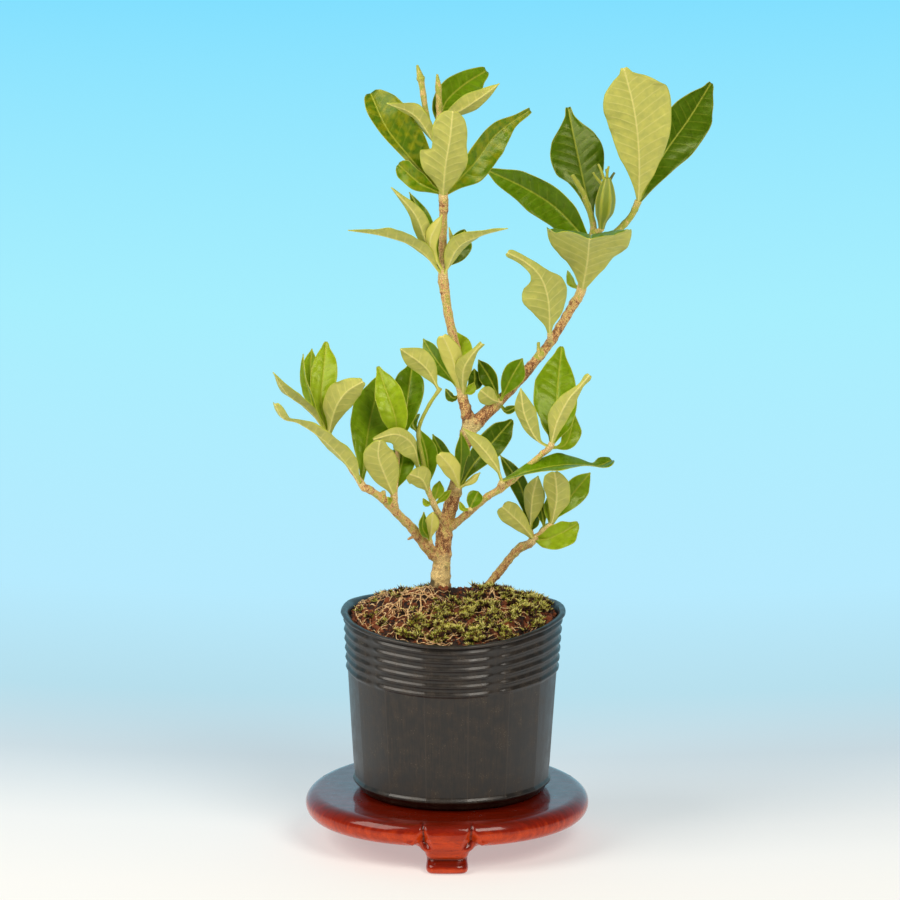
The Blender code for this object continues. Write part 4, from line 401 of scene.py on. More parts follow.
        Leaf(((30.8, 0.8, 12.4), (26.8, 3.6, 13.2), (23.2, 11.0, 12.8), (21.9, 19.2, 11.0)), 6.8,
             upper=False, turn=30.0),
        Leaf(((31.3, 1.8, 12.6), (32.0, 8.0, 4.6), (32.6, 12.6, -3.0)), 9.0),
    )),
    Shoot("shoot_basal", "basal_stem", (22.4, -30.0, 3.0), looks="mymmfdyddm", shift=-12.2, twigs=(
        Twig(((24.8, -28.9, 5.4), (25.8, -28.0, 6.2), (28.6, -25.4, 7.6), (31.8, -22.8, 8.8)),
             (1.3, 1.15, 0.85, 0.8)),
        Twig(((25.6, -28.2, 6.0), (24.8, -24.6, 5.4)), (0.9, 0.75)),
    ), leaves=(
        Leaf(((26.0, -27.8, 6.6), (21.6, -22.6, 9.2), (16.2, -17.6, 10.4)), 8.0, upper=False,
             sides=((0.15, 1.0, 1.2), (0.45, 2.6, 2.8), (0.75, 3.4, 3.6), (0.93, 2.6, 2.8),
                    (1.0, 1.4, 1.4))),
        Leaf(((26.2, -27.6, 6.8), (29.8, -27.6, 9.6), (34.7, -25.6, 11.6), (39.7, -22.6, 12.0)), 9.4,
             sides=((0.2, 1.8, 2.4), (0.45, 3.4, 4.4), (0.65, 3.4, 4.6), (0.85, 1.6, 2.8), (1.0, 0.5, 0.5))),
        Leaf(((31.4, -23.0, 8.8), (33.0, -15.6, 11.2), (32.9, -10.4, 11.8), (32.4, -6.8, 11.6)), 8.6,
             upper=False, sides=((0.15, 1.0, 1.6), (0.45, 3.0, 4.2), (0.7, 4.2, 4.0), (0.88, 3.6, 2.8),
                                 (0.97, 1.8, 1.4), (1.0, 0.8, 0.8))),
        Leaf(((24.9, -25.0, 5.4), (25.6, -15.0, 5.6), (27.3, -8.0, 4.6)), 7.2, upper=False, turn=20.0),
        Leaf(((31.5, -23.0, 8.6), (37.4, -14.4, 8.2), (43.5, -7.0, 6.4)), 7.6, turn=-15.0),
        Leaf(((29.4, -24.8, 8.0), (28.4, -18.6, 8.6), (27.2, -14.6, 8.6)), 3.6, turn=20.0),
        Leaf(((31.0, -23.4, 8.6), (30.4, -18.8, 9.2), (30.1, -14.9, 9.2)), 3.2, turn=-20.0),
        Leaf(((25.0, -25.6, 5.6), (25.9, -22.4, 6.8), (27.2, -19.4, 7.2)), 5.0, turn=30.0),
        Leaf(((24.9, -25.2, 5.2), (22.6, -13.2, 4.0), (19.4, -7.0, 3.0), (15.5, -1.6, 2.2)), 5.6, turn=15.0),
        Leaf(((25.6, -27.8, 6.0), (29.0, -27.0, -2.0), (33.0, -26.0, -9.0)), 8.0),
    )),
)


CALYX_PARENT = "shoot_right_tip"
CALYX_SHIFT = -16.0
CALYX_ROOT = (44.6, 66.6, -4.0)
CALYX_RINGS = ((47.0, 68.6, -1.8, 0.9), (47.2, 70.6, -1.6, 1.4), (47.9, 73.6, -1.4, 2.6),
               (48.2, 77.0, -1.3, 2.9), (48.5, 81.0, -1.3, 2.2), (48.7, 84.4, -1.3, 1.0))
SEPAL_TIPS = ((49.2, 87.9, -1.0), (45.9, 88.7, -1.8), (44.4, 86.0, -0.6), (48.4, 87.0, -3.6),
              (51.0, 86.0, -2.0))


def eye_point() -> Vector:
    """The eye's place in millimetres."""
    dip = math.radians(EYE_DIP)
    return Vector((0.0, -EYE_DISTANCE * math.cos(dip), EYE_AIM_HEIGHT + EYE_DISTANCE * math.sin(dip)))


def seen(place: Sequence[float], shift: float = 0.0) -> Vector:
    """Turn a place as seen from the front into a point.

    Args:
        place: How far across, how far up and how near it lies, in millimetres.
        shift: Millimetres that are added to how near it lies.

    Returns:
        The point in millimetres, before the origin is moved.
    """
    across, rise, near = place[0], place[1], place[2] + shift
    dip = math.radians(EYE_DIP)
    ray = Vector((across, EYE_DISTANCE * math.cos(dip) + rise * math.sin(dip),
                  -EYE_DISTANCE * math.sin(dip) + rise * math.cos(dip)))
    return eye_point() + ray * ((EYE_DISTANCE * math.cos(dip) - near) / ray.y)


def blend_values(low: float, high: float, part: float) -> float:
    """The value that lies a part of the way from low to high."""
    return low + (high - low) * part


def eased(value: float, start: float, end: float) -> float:
    """A smooth step: 0 up to start, 1 from end on."""
    part = min(max((value - start) / (end - start), 0.0), 1.0)
    return part * part * (3.0 - 2.0 * part)


def smooth_line(spots: Sequence[Vector], steps: int) -> list:
    """A smooth line through every spot.

    Args:
        spots: Points in millimetres.
        steps: Pieces that each stretch between two spots is cut into.

    Returns:
        The line's points, from the first spot to the last.
    """
    ends = [spots[0] * 2.0 - spots[1], *spots, spots[-1] * 2.0 - spots[-2]]
    line = [ends[1]]
    for before, here, there, after in zip(ends, ends[1:], ends[2:], ends[3:]):
        for step in range(1, steps + 1):
            t = step / steps
            line.append((here * 2.0 + (there - before) * t
                         + (before * 2.0 - here * 5.0 + there * 4.0 - after) * t ** 2
                         + (here * 3.0 - before - there * 3.0 + after) * t ** 3) * 0.5)
    return line


def monotone(pairs: Sequence[tuple], share: float) -> float:
    """Read a smooth curve that passes through pairs and never overshoots them.

    Args:
        pairs: Pairs of share and value, in rising order of share.
        share: Where the curve is read.

    Returns:
        The value there.
    """
    secants = [(there[1] - here[1]) / max(there[0] - here[0], 1e-6) for here, there in zip(pairs, pairs[1:])]
    slopes = [secants[0]]
    for before, after in zip(secants, secants[1:]):
        slopes.append(2.0 * before * after / (before + after) if before * after > 0.0 else 0.0)
    slopes.append(secants[-1])
    for index, (here, there) in enumerate(zip(pairs, pairs[1:])):
        if share <= there[0] or index == len(pairs) - 2:
            span = max(there[0] - here[0], 1e-6)
            t = min(max((share - here[0]) / span, 0.0), 1.0)
            return (here[1] * (1.0 + 2.0 * t) * (1.0 - t) ** 2 + slopes[index] * span * t * (1.0 - t) ** 2
                    + there[1] * t * t * (3.0 - 2.0 * t) + slopes[index + 1] * span * t * t * (t - 1.0))
    return pairs[-1][1]


class Store:
    """Points, faces, material slots and point attributes of one piece while it is made."""

    def __init__(self, *attributes: str) -> None:
        """Start empty, with vector attributes of these names."""
        self.points: list = []
        self.faces: list = []
        self.slots: list = []
        self.attributes: dict = {name: [] for name in attributes}

    def add(self, points: Iterable, faces: Iterable, slot: Any = 0, **values: Sequence) -> None:
        """Add a body.

        Args:
            points: Its points in millimetres.
            faces: Its faces, as numbers of its own points.
            slot: The material slot of all its faces, or a list with one for each face.
            **values: A list of vectors for each attribute that it has; the others get zeros.
        """
        first = len(self.points)
        self.points.extend(points)
        count = len(self.points) - first
        faces = [tuple(corner + first for corner in face) for face in faces]
        self.faces.extend(faces)
        self.slots.extend(slot if isinstance(slot, list) else [slot] * len(faces))
        for name, kept in self.attributes.items():
            kept.extend(values.get(name, [(0.0, 0.0, 0.0)] * count))

    def piece(self, name: str, materials: Sequence[Material]) -> Object:
        """Make the piece's object, at the origin and in metres.

        Args:
            name: The object's name.
            materials: One for each slot.

        Returns:
            The new object, shaded smooth.
        """
        mesh = bpy.data.meshes.new(name)
        mesh.from_pydata([(Vector(point) - REACH_CENTRE) * MM for point in self.points], [], self.faces)
        for material in materials:
            mesh.materials.append(material)
        mesh.polygons.foreach_set("material_index", self.slots)
        for attribute, kept in self.attributes.items():
            made = mesh.attributes.new(attribute, "FLOAT_VECTOR", "POINT")
            made.data.foreach_set("vector", [number for vector in kept for number in vector])
        mesh.shade_smooth()
        return added(name, mesh)


def added(name: str, data: Any) -> Object:
    """Add an object with this mesh, lens or lamp to the scene."""
    obj = bpy.data.objects.new(name, data)
    bpy.context.scene.collection.objects.link(obj)
    return obj


def polar(radius: float, angle: float, height: float = 0.0) -> Vector:
    """A point at a distance from the upright axis, at an angle in radians."""
    return Vector((radius * math.cos(angle), radius * math.sin(angle), height))


def stack_faces(rings: int, sides: int) -> list:
    """Faces of a closed skin over stacked rings of points, with a cap on the first and on the last.

    Args:
        rings: How many rings of points there are.
        sides: Points in each ring.

    Returns:
        The faces, as numbers of the points.
    """
    faces = []
    for ring in range(rings - 1):
        for side in range(sides):
            here, after = ring * sides + side, ring * sides + (side + 1) % sides
            faces.append((here, after, after + sides, here + sides))
    faces.append(tuple(reversed(range(sides))))
    faces.append(tuple(range((rings - 1) * sides, rings * sides)))
    return faces


def disc_faces(rings: int, steps: int) -> list:
    """Faces of a disc: a fan round its middle point, and cells between the rings of points outside it.

    Args:
        rings: How many rings of points lie round the middle point.
        steps: Points in each ring.

    Returns:
        The faces, as numbers of the points.
    """
    faces = [(0, 1 + step, 1 + (step + 1) % steps) for step in range(steps)]
    for low in range(1, 1 + (rings - 1) * steps, steps):
        for step in range(steps):
            after = low + (step + 1) % steps
            faces.append((low + step, low + steps + step, after + steps, after))
    return faces


def plain_mesh(obj: Object) -> Object:
    """Turn an object's live modifiers into its plain mesh and take them off.

    Args:
        obj: The object.

    Returns:
        The same object.
    """
    bpy.context.view_layer.update()
    evaluated = obj.evaluated_get(bpy.context.evaluated_depsgraph_get())
    mesh = bpy.data.meshes.new_from_object(evaluated)
    obj.modifiers.clear()
    obj.data = mesh
    mesh.name = obj.name
    return obj


def fused(raw: Store, voxel: float, rounds: int) -> tuple:
    """Melt a store's closed bodies into one even skin.

    Args:
        raw: The bodies, which may cross.
        voxel: The skin's fineness in millimetres.
        rounds: How many times it is smoothed.

    Returns:
        Each point, in millimetres, with its normal, and the faces.
    """
    skin = raw.piece("skin", [])
    fuse = skin.modifiers.new("Fuse", "REMESH")
    fuse.mode = "VOXEL"
    fuse.voxel_size = voxel * MM
    even = skin.modifiers.new("Even", "SMOOTH")
    even.factor = 0.5
    even.iterations = rounds
    plain_mesh(skin)
    spots = [(vertex.co / MM + REACH_CENTRE, vertex.normal.copy()) for vertex in skin.data.vertices]
    faces = [tuple(face.vertices) for face in skin.data.polygons]
    bpy.data.objects.remove(skin, do_unlink=True)
    return spots, faces


def face_outwards(obj: Object) -> None:
    """Turn all of an object's faces outwards.

    Args:
        obj: The object.
    """
    sheet = bmesh.new()
    sheet.from_mesh(obj.data)
    bmesh.ops.recalc_face_normals(sheet, faces=sheet.faces)
    sheet.to_mesh(obj.data)
    sheet.free()


# Families of nodes, in the order in which a kind is looked up in them.
FAMILIES = ("ShaderNode", "GeometryNode", "FunctionNode", "Node")


def fill(tree: NodeTree, made: Node, inputs: Union[dict, Sequence]) -> None:
    """Fill or link a node's inputs.

    Args:
        tree: The node tree.
        made: The node.
        inputs: A value, a hex colour, a socket or a node for each input, by its name or number
            or else in order. A node stands for its first output in use.
    """
    for key, value in inputs.items() if isinstance(inputs, dict) else enumerate(inputs):
        if isinstance(value, Node):
            value = next(output for output in value.outputs if output.enabled)
        if isinstance(value, NodeSocket):
            tree.links.new(value, made.inputs[key])
        else:
            made.inputs[key].default_value = linear(value) if str(value).startswith("#") else value


def node(tree: NodeTree, kind: str, inputs: Union[dict, Sequence] = (),
         stops: Sequence[tuple] = (), **settings: Any) -> Node:
    """Add a node with its settings, and fill or link its inputs.

    Args:
        tree: The node tree.
        kind: The node's type, without the name of its family.
        inputs: What each input gets, as fill takes it.
        stops: Places and hex colours of a colour ramp, if the node has one.
        **settings: The node's own settings.

    Returns:
        The new node.
    """
    made = tree.nodes.new(next(family + kind for family in FAMILIES if hasattr(bpy.types, family + kind)))
    for name, value in settings.items():
        setattr(made, name, value)
    fill(tree, made, inputs)
    if stops:
        ramp = made.color_ramp.elements
        while len(ramp) < len(stops):
            ramp.new(0.5)
        for element, (place, colour) in zip(ramp, stops):
            element.position = place
            element.color = linear(colour)
    return made


def linear(hex_colour: str) -> tuple:
    """An sRGB colour such as "#3f6a10" as linear red, green, blue and alpha."""
    channels = [int(hex_colour[index:index + 2], 16) / 255.0 for index in (1, 3, 5)]
    return (*(value / 12.92 if value <= 0.04045 else ((value + 0.055) / 1.055) ** 2.4
              for value in channels), 1.0)


class GeometryRule:
    """A geometry node tree with named inputs, and the plain mesh that it gives."""

    KINDS = {float: "NodeSocketFloat", int: "NodeSocketInt", tuple: "NodeSocketVector",
             Material: "NodeSocketMaterial"}

    def __init__(self, name: str, **inputs: Any) -> None:
        """Make the tree with an input of the fitting kind for each value.

        Args:
            name: The tree's name.
            **inputs: A value for each named input.
        """
        self.tree = bpy.data.node_groups.new(name, "GeometryNodeTree")
        face = self.tree.interface
        face.new_socket("Geometry", in_out="INPUT", socket_type="NodeSocketGeometry")
        face.new_socket("Geometry", in_out="OUTPUT", socket_type="NodeSocketGeometry")
        self.values = {}
        for label, value in inputs.items():
            socket = face.new_socket(label, in_out="INPUT", socket_type=self.KINDS[type(value)])
            self.values[socket.identifier] = value
        self.given = node(self.tree, "GroupInput").outputs

    def close(self, geometry: Node, material: str) -> None:
        """Realize what the tree made, give it the material of that input and hand it out."""
        real = node(self.tree, "RealizeInstances", [geometry])
        painted = node(self.tree, "SetMaterial", {"Geometry": real, "Material": self.given[material]})
        node(self.tree, "GroupOutput", [painted])

    def apply(self, obj: Object) -> Object:
        """Run the tree on an object and leave the result as its plain mesh.

        Args:
            obj: The object.

        Returns:
            The same object.
        """
        modifier = obj.modifiers.new(self.tree.name, "NODES")
        modifier.node_group = self.tree
        for identifier, value in self.values.items():
            modifier[identifier] = value
        return plain_mesh(obj)


def keep(piece: Object, slot: str, *nodes: str) -> Object:
    """Ride a piece on the body, hide the nodes that it stands for, and report both.

    Args:
        piece: The finished piece.
        slot: Not used.
        *nodes: The CAD nodes that the piece replaces.

    Returns:
        The piece.
    """
    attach(piece, BODY)
    if nodes:
        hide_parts(*nodes)
    LOG.info("%s: %d faces, for %s", piece.name, len(piece.data.polygons), ", ".join(nodes) or "looks")
    return piece


def pattern(tree: NodeTree, *scale: float) -> Node:
    """Object coordinates stretched by one scale, or one for each axis, in repeats per metre."""
    place = node(tree, "TexCoord").outputs["Object"]
    return node(tree, "Mapping", {"Vector": place, "Scale": scale if len(scale) == 3 else scale * 3})


def start_material(name: str) -> tuple:
    """A new material's node tree and its Principled shader.

    Args:
        name: Its name, in words for its finish.

    Returns:
        The material, its tree and its shader.
    """
    material = bpy.data.materials.new(name)
    material.use_nodes = True
    tree = material.node_tree
    return material, tree, tree.nodes["Principled BSDF"]


# Inputs of the Mix node when it lays a share of one colour over another.
SHARE, UNDER, OVER = 0, 6, 7


@dataclass(frozen=True)
class LeafUpper:
    """A gardenia leaf's upper face: a thick glossy cuticle over a dark green blade.

    The cuticle gives soft, broad highlights, the sunk veins read a little paler, and the
    rim shows as a thin pale line.
    """

    # deep, the green of look d, is partly the leaf's own dark green and partly painted shade.
    deep: str = "#3c5800"
    mature: str = "#5e8002"
    young: str = "#8ea618"
    vein: str = "#a8ad38"
    rim: str = "#bdbd4c"
    yellow: str = "#a39c0c"
    sheen: str = "#e2ec86"
    roughness: float = 0.31

    def material(self) -> Material:
        """Build the material.

        Returns:
            The material.
        """
        material, tree, shader = start_material("Gardenia leaf, glossy upper face")
        off_rib, to_edge, vein, youth, mottle = blade_parts(tree)
        age = node(tree, "ValToRGB", [youth], stops=((0.0, self.deep), (0.35, self.mature),
                                                     (1.0, self.young)))
        clouds = node(tree, "TexNoise", {"Vector": pattern(tree, 110), "Detail": 2.0})
        cloud_range = node(tree, "MapRange", [clouds, 0.3, 0.72, 0.84, 1.16])
        toned = node(tree, "Mix", {SHARE: 1.0, UNDER: age, OVER: cloud_range}, data_type="RGBA",
                     blend_type="MULTIPLY")
        patches = node(tree, "TexNoise", {"Vector": pattern(tree, 95), "Detail": 1.0})
        blotch = node(tree, "MapRange", [patches, 0.4, 0.72, 0.0, 0.5])
        sick = node(tree, "Math", [blotch, mottle], operation="MULTIPLY")
        patched = node(tree, "Mix", {SHARE: sick, UNDER: toned, OVER: self.yellow}, data_type="RGBA")
        rib, side = leaf_lines(tree, off_rib, to_edge, vein)
        faint = node(tree, "Math", [side, 0.13], operation="MULTIPLY")
        line_share = node(tree, "Math", [rib, 0.6, faint], operation="MULTIPLY_ADD")
        veined = node(tree, "Mix", {SHARE: line_share, UNDER: patched, OVER: self.vein}, data_type="RGBA")
        rim = node(tree, "MapRange", [to_edge, 0.02, 0.32, 0.75, 0.0])
        edged = node(tree, "Mix", {SHARE: rim, UNDER: veined, OVER: self.rim}, data_type="RGBA")
        gloss = node(tree, "MapRange", [clouds, 0.3, 0.7, self.roughness - 0.06, self.roughness + 0.12])
        pores = node(tree, "TexNoise", {"Vector": pattern(tree, 380), "Detail": 1.0})
        sunk = node(tree, "Math", [side, rib], operation="ADD")
        relief = node(tree, "Math", [sunk, -0.7, pores], operation="MULTIPLY_ADD")
        bump = node(tree, "Bump", {"Strength": 0.4, "Distance": 0.07 * MM, "Height": relief})
        fill(tree, shader, {"Base Color": edged, "Roughness": gloss, "Normal": bump,
                            "Specular IOR Level": 0.4, "Specular Tint": self.sheen, "Coat Weight": 0.12,
                            "Coat Roughness": 0.18, "Subsurface Weight": 0.12,
                            "Subsurface Radius": (0.6, 1.0, 0.05), "Subsurface Scale": 0.6 * MM})
        return material


@dataclass(frozen=True)
class LeafLower:
    """A gardenia leaf's lower face: a matte, pale yellow-green blade with raised paler veins."""

    shaded: str = "#9fa650"
    pale: str = "#dbd468"
    vein: str = "#e6dd84"
    rim: str = "#b4bc34"
    speck: str = "#5a4a2a"
    roughness: float = 0.55

    def material(self) -> Material:
        """Build the material.

        Returns:
            The material.
        """
        material, tree, shader = start_material("Gardenia leaf, matte lower face")
        off_rib, to_edge, vein, youth, _ = blade_parts(tree)
        clouds = node(tree, "TexNoise", {"Vector": pattern(tree, 90), "Detail": 2.0})
        haze = node(tree, "MapRange", [clouds, 0.3, 0.7, 0.42, 0.6])
        tone = node(tree, "Math", [youth, 0.45, haze], operation="MULTIPLY_ADD")
        base = node(tree, "ValToRGB", [tone], stops=((0.4, self.shaded), (0.92, self.pale)))
        net = node(tree, "TexVoronoi", {"Vector": pattern(tree, 900)}, feature="DISTANCE_TO_EDGE")
        cells = node(tree, "MapRange", [net, 0.0, 0.12, 0.06, 0.0])
        rib, side = leaf_lines(tree, off_rib, to_edge, vein)
        soft = node(tree, "Math", [side, 0.36, cells], operation="MULTIPLY_ADD")
        share = node(tree, "Math", [rib, 0.8, soft], operation="MULTIPLY_ADD", use_clamp=True)
        veined = node(tree, "Mix", {SHARE: share, UNDER: base, OVER: self.vein}, data_type="RGBA")
        rim = node(tree, "MapRange", [to_edge, 0.05, 0.34, 0.8, 0.0])
        edged = node(tree, "Mix", {SHARE: rim, UNDER: veined, OVER: self.rim}, data_type="RGBA")
        dots = node(tree, "TexVoronoi", {"Vector": pattern(tree, 110)})
        speck = node(tree, "MapRange", [dots, 0.03, 0.05, 0.8, 0.0])
        specked = node(tree, "Mix", {SHARE: speck, UNDER: edged, OVER: self.speck}, data_type="RGBA")
        fuzz = node(tree, "MapRange", [clouds, 0.3, 0.7, self.roughness - 0.05, self.roughness + 0.1])
        bump = node(tree, "Bump", {"Strength": 0.5, "Distance": 0.15 * MM, "Height": share})
        fill(tree, shader, {"Base Color": specked, "Roughness": fuzz, "Normal": bump,
                            "Specular IOR Level": 0.32, "Subsurface Weight": 0.12,
                            "Subsurface Radius": (0.7, 1.0, 0.2), "Subsurface Scale": 0.6 * MM})
        return material


def blade_parts(tree: NodeTree) -> tuple:
    """Read a blade's attributes.

    Args:
        tree: The material's tree.

    Returns:
        Millimetres from the midrib and from the edge, side veins passed so far (a whole number
        at each vein), youth and mottle.
    """
    place = node(tree, "Attribute", attribute_name="blade_place")
    look = node(tree, "Attribute", attribute_name="blade_look")
    off_rib, to_edge, _ = node(tree, "SeparateXYZ", [place.outputs["Vector"]]).outputs
    return off_rib, to_edge, *node(tree, "SeparateXYZ", [look.outputs["Vector"]]).outputs


def leaf_lines(tree: NodeTree, off_rib: NodeSocket, to_edge: NodeSocket,
               vein: NodeSocket) -> tuple:
    """Draw a blade's midrib and side veins.

    Args:
        tree: The material's tree.
        off_rib: Millimetres from the midrib.
        to_edge: Millimetres from the edge.
        vein: Side veins passed so far.

    Returns:
        The midrib's strength, and the side veins'.
    """
    off_vein = node(tree, "Math", [vein, 0.5], operation="PINGPONG")
    side = node(tree, "MapRange", [off_vein, 0.02, 0.12, 1.0, 0.0])
    fade = node(tree, "MapRange", [to_edge, 0.3, 2.2, 0.0, 1.0])
    side_faded = node(tree, "Math", [side, fade], operation="MULTIPLY")
    rib = node(tree, "MapRange", [off_rib, 0.14, 0.36, 1.0, 0.0])
    return rib, side_faded


@dataclass(frozen=True)
class Bark:
    """Gardenia wood from green shoot to old bark: streaked, cracked and dotted with pale pores."""

    green: str = "#b2b83e"
    tan: str = "#ffd98e"
    old: str = "#d08a52"
    brown: str = "#6a3620"
    pale: str = "#ffe69c"
    crack: str = "#7a4428"
    dirt: str = "#3c3018"

    def material(self) -> Material:
        """Build the material.

        Returns:
            The material.
        """
        material, tree, shader = start_material("Gardenia bark, green to woody")
        look = node(tree, "Attribute", attribute_name="bark_look")
        ripe, paleness, dirt = node(tree, "SeparateXYZ", [look.outputs["Vector"]]).outputs
        streaks = node(tree, "TexNoise", {"Vector": pattern(tree, 1000, 1000, 420), "Detail": 5.0,
                                          "Roughness": 0.6})
        mottle = node(tree, "MapRange", [streaks, 0.36, 0.64, 0.0, 0.75])
        broad = node(tree, "TexNoise", {"Vector": pattern(tree, 170, 170, 90), "Detail": 1.0})
        zone = node(tree, "MapRange", [broad, 0.35, 0.65, -0.22, 0.28])
        zoned = node(tree, "Math", [zone, ripe], operation="ADD")
        uneven = node(tree, "Math", [mottle, zoned], operation="ADD")
        age = node(tree, "MapRange", [uneven, 0.32, 1.5, 0.0, 1.0])
        base = node(tree, "ValToRGB", [age], stops=((0.16, self.green), (0.42, self.tan), (0.68, self.old),
                                                    (0.9, self.brown)))
        patches = node(tree, "TexNoise", {"Vector": pattern(tree, 950, 950, 700), "Detail": 4.0})
        light = node(tree, "MapRange", [patches, 0.56, 0.66, 0.0, 0.6])
        pores = node(tree, "TexVoronoi", {"Vector": pattern(tree, 620, 620, 480)})
        warts = node(tree, "MapRange", [pores, 0.15, 0.24, 0.9, 0.0])
        flecks = node(tree, "Math", [light, warts], operation="MAXIMUM")
        more = node(tree, "Math", [paleness, flecks], operation="ADD", use_clamp=True)
        woody = node(tree, "MapRange", [ripe, 0.2, 0.5, 0.25, 1.0])
        amount = node(tree, "Math", [more, woody], operation="MULTIPLY")
        lit = node(tree, "Mix", {SHARE: amount, UNDER: base, OVER: self.pale}, data_type="RGBA")
        splits = node(tree, "TexVoronoi", {"Vector": pattern(tree, 560, 560, 300)},
                      feature="DISTANCE_TO_EDGE")
        dark = node(tree, "MapRange", [splits, 0.02, 0.13, 0.6, 0.0])
        deep = node(tree, "Math", [dark, woody], operation="MULTIPLY")
        cracked = node(tree, "Mix", {SHARE: deep, UNDER: lit, OVER: self.crack}, data_type="RGBA")
        soiled = node(tree, "Mix", {SHARE: dirt, UNDER: cracked, OVER: self.dirt}, data_type="RGBA")
        rough = node(tree, "MapRange", [ripe, 0.1, 0.6, 0.5, 0.82])
        ridged = node(tree, "Math", [streaks, dark], operation="SUBTRACT")
        height = node(tree, "Math", [warts, 0.5, ridged], operation="MULTIPLY_ADD")
        bump = node(tree, "Bump", {"Strength": 0.6, "Distance": 0.16 * MM, "Height": height})
        fill(tree, shader, {"Base Color": soiled, "Roughness": rough, "Normal": bump})
        return material


@dataclass
class BladeForm:
    """The build of every leaf blade: its mesh's fineness, thickness, veins and waves."""

    row_pitch: float = 0.75
    least_rows: int = 10
    most_rows: int = 44
    columns: tuple = (-1.0, -0.93, -0.8, -0.64, -0.48, -0.33, -0.2, -0.1, -0.04, 0.0)
    half_thickness: float = 0.17
    edge_thickness: float = 0.07
    petiole_half_width: float = 0.5
    petiole_share: float = 0.07
    tip_half_width: float = 0.2
    rib_width: float = 0.42
    rib_height: float = 0.34
    groove_depth: float = 0.13
    wave_share: float = 0.045
    wave_rate: float = 15.0
    vein_pitch: float = 3.1
    vein_slant: float = 0.62
    vein_curve: float = 0.25
    quilt: float = 0.035
    ripple: float = 0.06
    ripple_rate: float = 0.28
    camber: float = 0.25

    def outline(self, leaf: Leaf, share: float, given: tuple) -> float:
        """Half the blade's width at a share of its length, on one side of the rib.

        Args:
            leaf: The leaf.
            share: The share of the leaf's length.
            given: Shares and half widths from the table, or none.

        Returns:
            The half width in millimetres.
        """
        if given:
            return monotone(((0.0, self.petiole_half_width), *given, (1.0001, self.tip_half_width)), share)
        if share <= self.petiole_share:
            return self.petiole_half_width
        along = (share - self.petiole_share) / (1.0 - self.petiole_share)
        power = math.log(0.5) / math.log(leaf.widest)
        swell = max(math.sin(math.pi * along ** power), 0.0) ** leaf.taper
        least = self.petiole_half_width if along < 0.5 else self.tip_half_width
        return max(leaf.width * 0.5 * swell, least)

    @staticmethod
    def leaned(leaf: Leaf) -> list:
        """The rib's places with the leaf's lean towards the eye or away from it.

        Args:
            leaf: The leaf.

        Returns:
            The places, as seen from the front.
        """
        lengths = [0.0]
        for here, there in zip(leaf.rib, leaf.rib[1:]):
            lengths.append(lengths[-1] + math.hypot(there[0] - here[0], there[1] - here[1]))
        reach = lengths[-1] * leaf.lean * (-1.0 if leaf.upper else 1.0)
        return [(across, rise, near + reach * (length / lengths[-1]) ** 1.5)
                for (across, rise, near), length in zip(leaf.rib, lengths)]

    def grow(self, store: Store, leaf: Leaf, shift: float, look: LeafLook, seed: int) -> None:
        """Add one leaf's blade to a store.

        Args:
            store: Where the blade goes; slot 0 is its upper face and slot 1 its lower one.
            leaf: The leaf.
            shift: How far its shoot is moved towards the eye.
            look: Its age and health.
            seed: A number of its own, for its ripples and tone.
        """
        line = smooth_line([seen(place, shift) for place in self.leaned(leaf)], 8)
        lengths = [0.0]
        for here, there in zip(line, line[1:]):
            lengths.append(lengths[-1] + (there - here).length)
        whole = lengths[-1]
        across = (line[-1] - line[0]).normalized().cross((eye_point() - line[len(line) // 2]).normalized())
        across.normalize()
        rows = min(max(round(whole / self.row_pitch), self.least_rows), self.most_rows)
        slope = math.tan(math.radians(leaf.fold))
        columns = self.columns + tuple(-value for value in reversed(self.columns[:-1]))
        left_side, right_side = leaf.side(1), leaf.side(2)
        widest = max(self.outline(leaf, step / 20.0, left_side) for step in range(21))
        top, bottom, places, looks = [], [], [], []
        chance = random.Random(seed)
        youth = min(max(look.youth + chance.uniform(-0.12, 0.12), 0.0), 1.0)
        for row in range(rows + 1):
            share = row / rows
            spot, along = self.spot_on(line, lengths, share * whole)
            facing = across.cross(along).normalized()
            side = along.cross(facing).normalized()
            roll = math.radians(leaf.turn + leaf.twist * share)
            width_way = side * math.cos(roll) + facing * math.sin(roll)
            up_way = facing * math.cos(roll) - side * math.sin(roll)
            if not leaf.upper:
                up_way.negate()
            for column in columns:
                out = abs(column)
                left = column < 0.0
                half = self.outline(leaf, share, left_side if left else right_side)
                wave = math.sin(self.wave_rate * share + (0.0 if left else 1.0)) * (1.0 if left else -1.0)
                ripple = noise.noise(Vector((share * whole * self.ripple_rate, seed * 3.7, 5.0 * column)))
                lift = half * (slope * (out - self.camber * out * (1.0 - out))
                               + 2.0 * self.wave_share * wave * out ** 2
                               + self.ripple * 2.0 * ripple * out ** 2)
                slant = self.vein_slant * out * half * (1.0 - self.vein_curve * out)
                vein = (share * whole - slant) / self.vein_pitch
                bulge = math.sin(math.pi * vein) ** 2 * 4.0 * out * (1.0 - out)
                lift += self.quilt * widest * bulge * eased(half, 1.0, 4.0)
                middle = spot + width_way * half * column + up_way * lift
                rib = math.exp(-(out * half / self.rib_width) ** 2)
                stalk = 1.0 - eased(share, 0.0, self.petiole_share * 1.6)
                skin = blend_values(self.half_thickness, self.edge_thickness, out ** 3)
                petiole = self.petiole_half_width * math.sqrt(max(1.0 - out * out, 0.05))
                skin = blend_values(skin, petiole, stalk)
                ridge = self.rib_height * rib * (1.0 - 0.75 * share) * (1.0 - stalk)
                top.append(middle + up_way * (skin - self.groove_depth * rib * (1.0 - stalk)))
                bottom.append(middle - up_way * (skin + ridge))
                places.append((out * half, half * (1.0 - out), share))
                looks.append((vein, youth, look.mottle))
        width = len(columns)
        faces, slots = self.faces(rows, width, leaf.upper)
        store.add(top + bottom, faces, slots, blade_place=places * 2, blade_look=looks * 2)

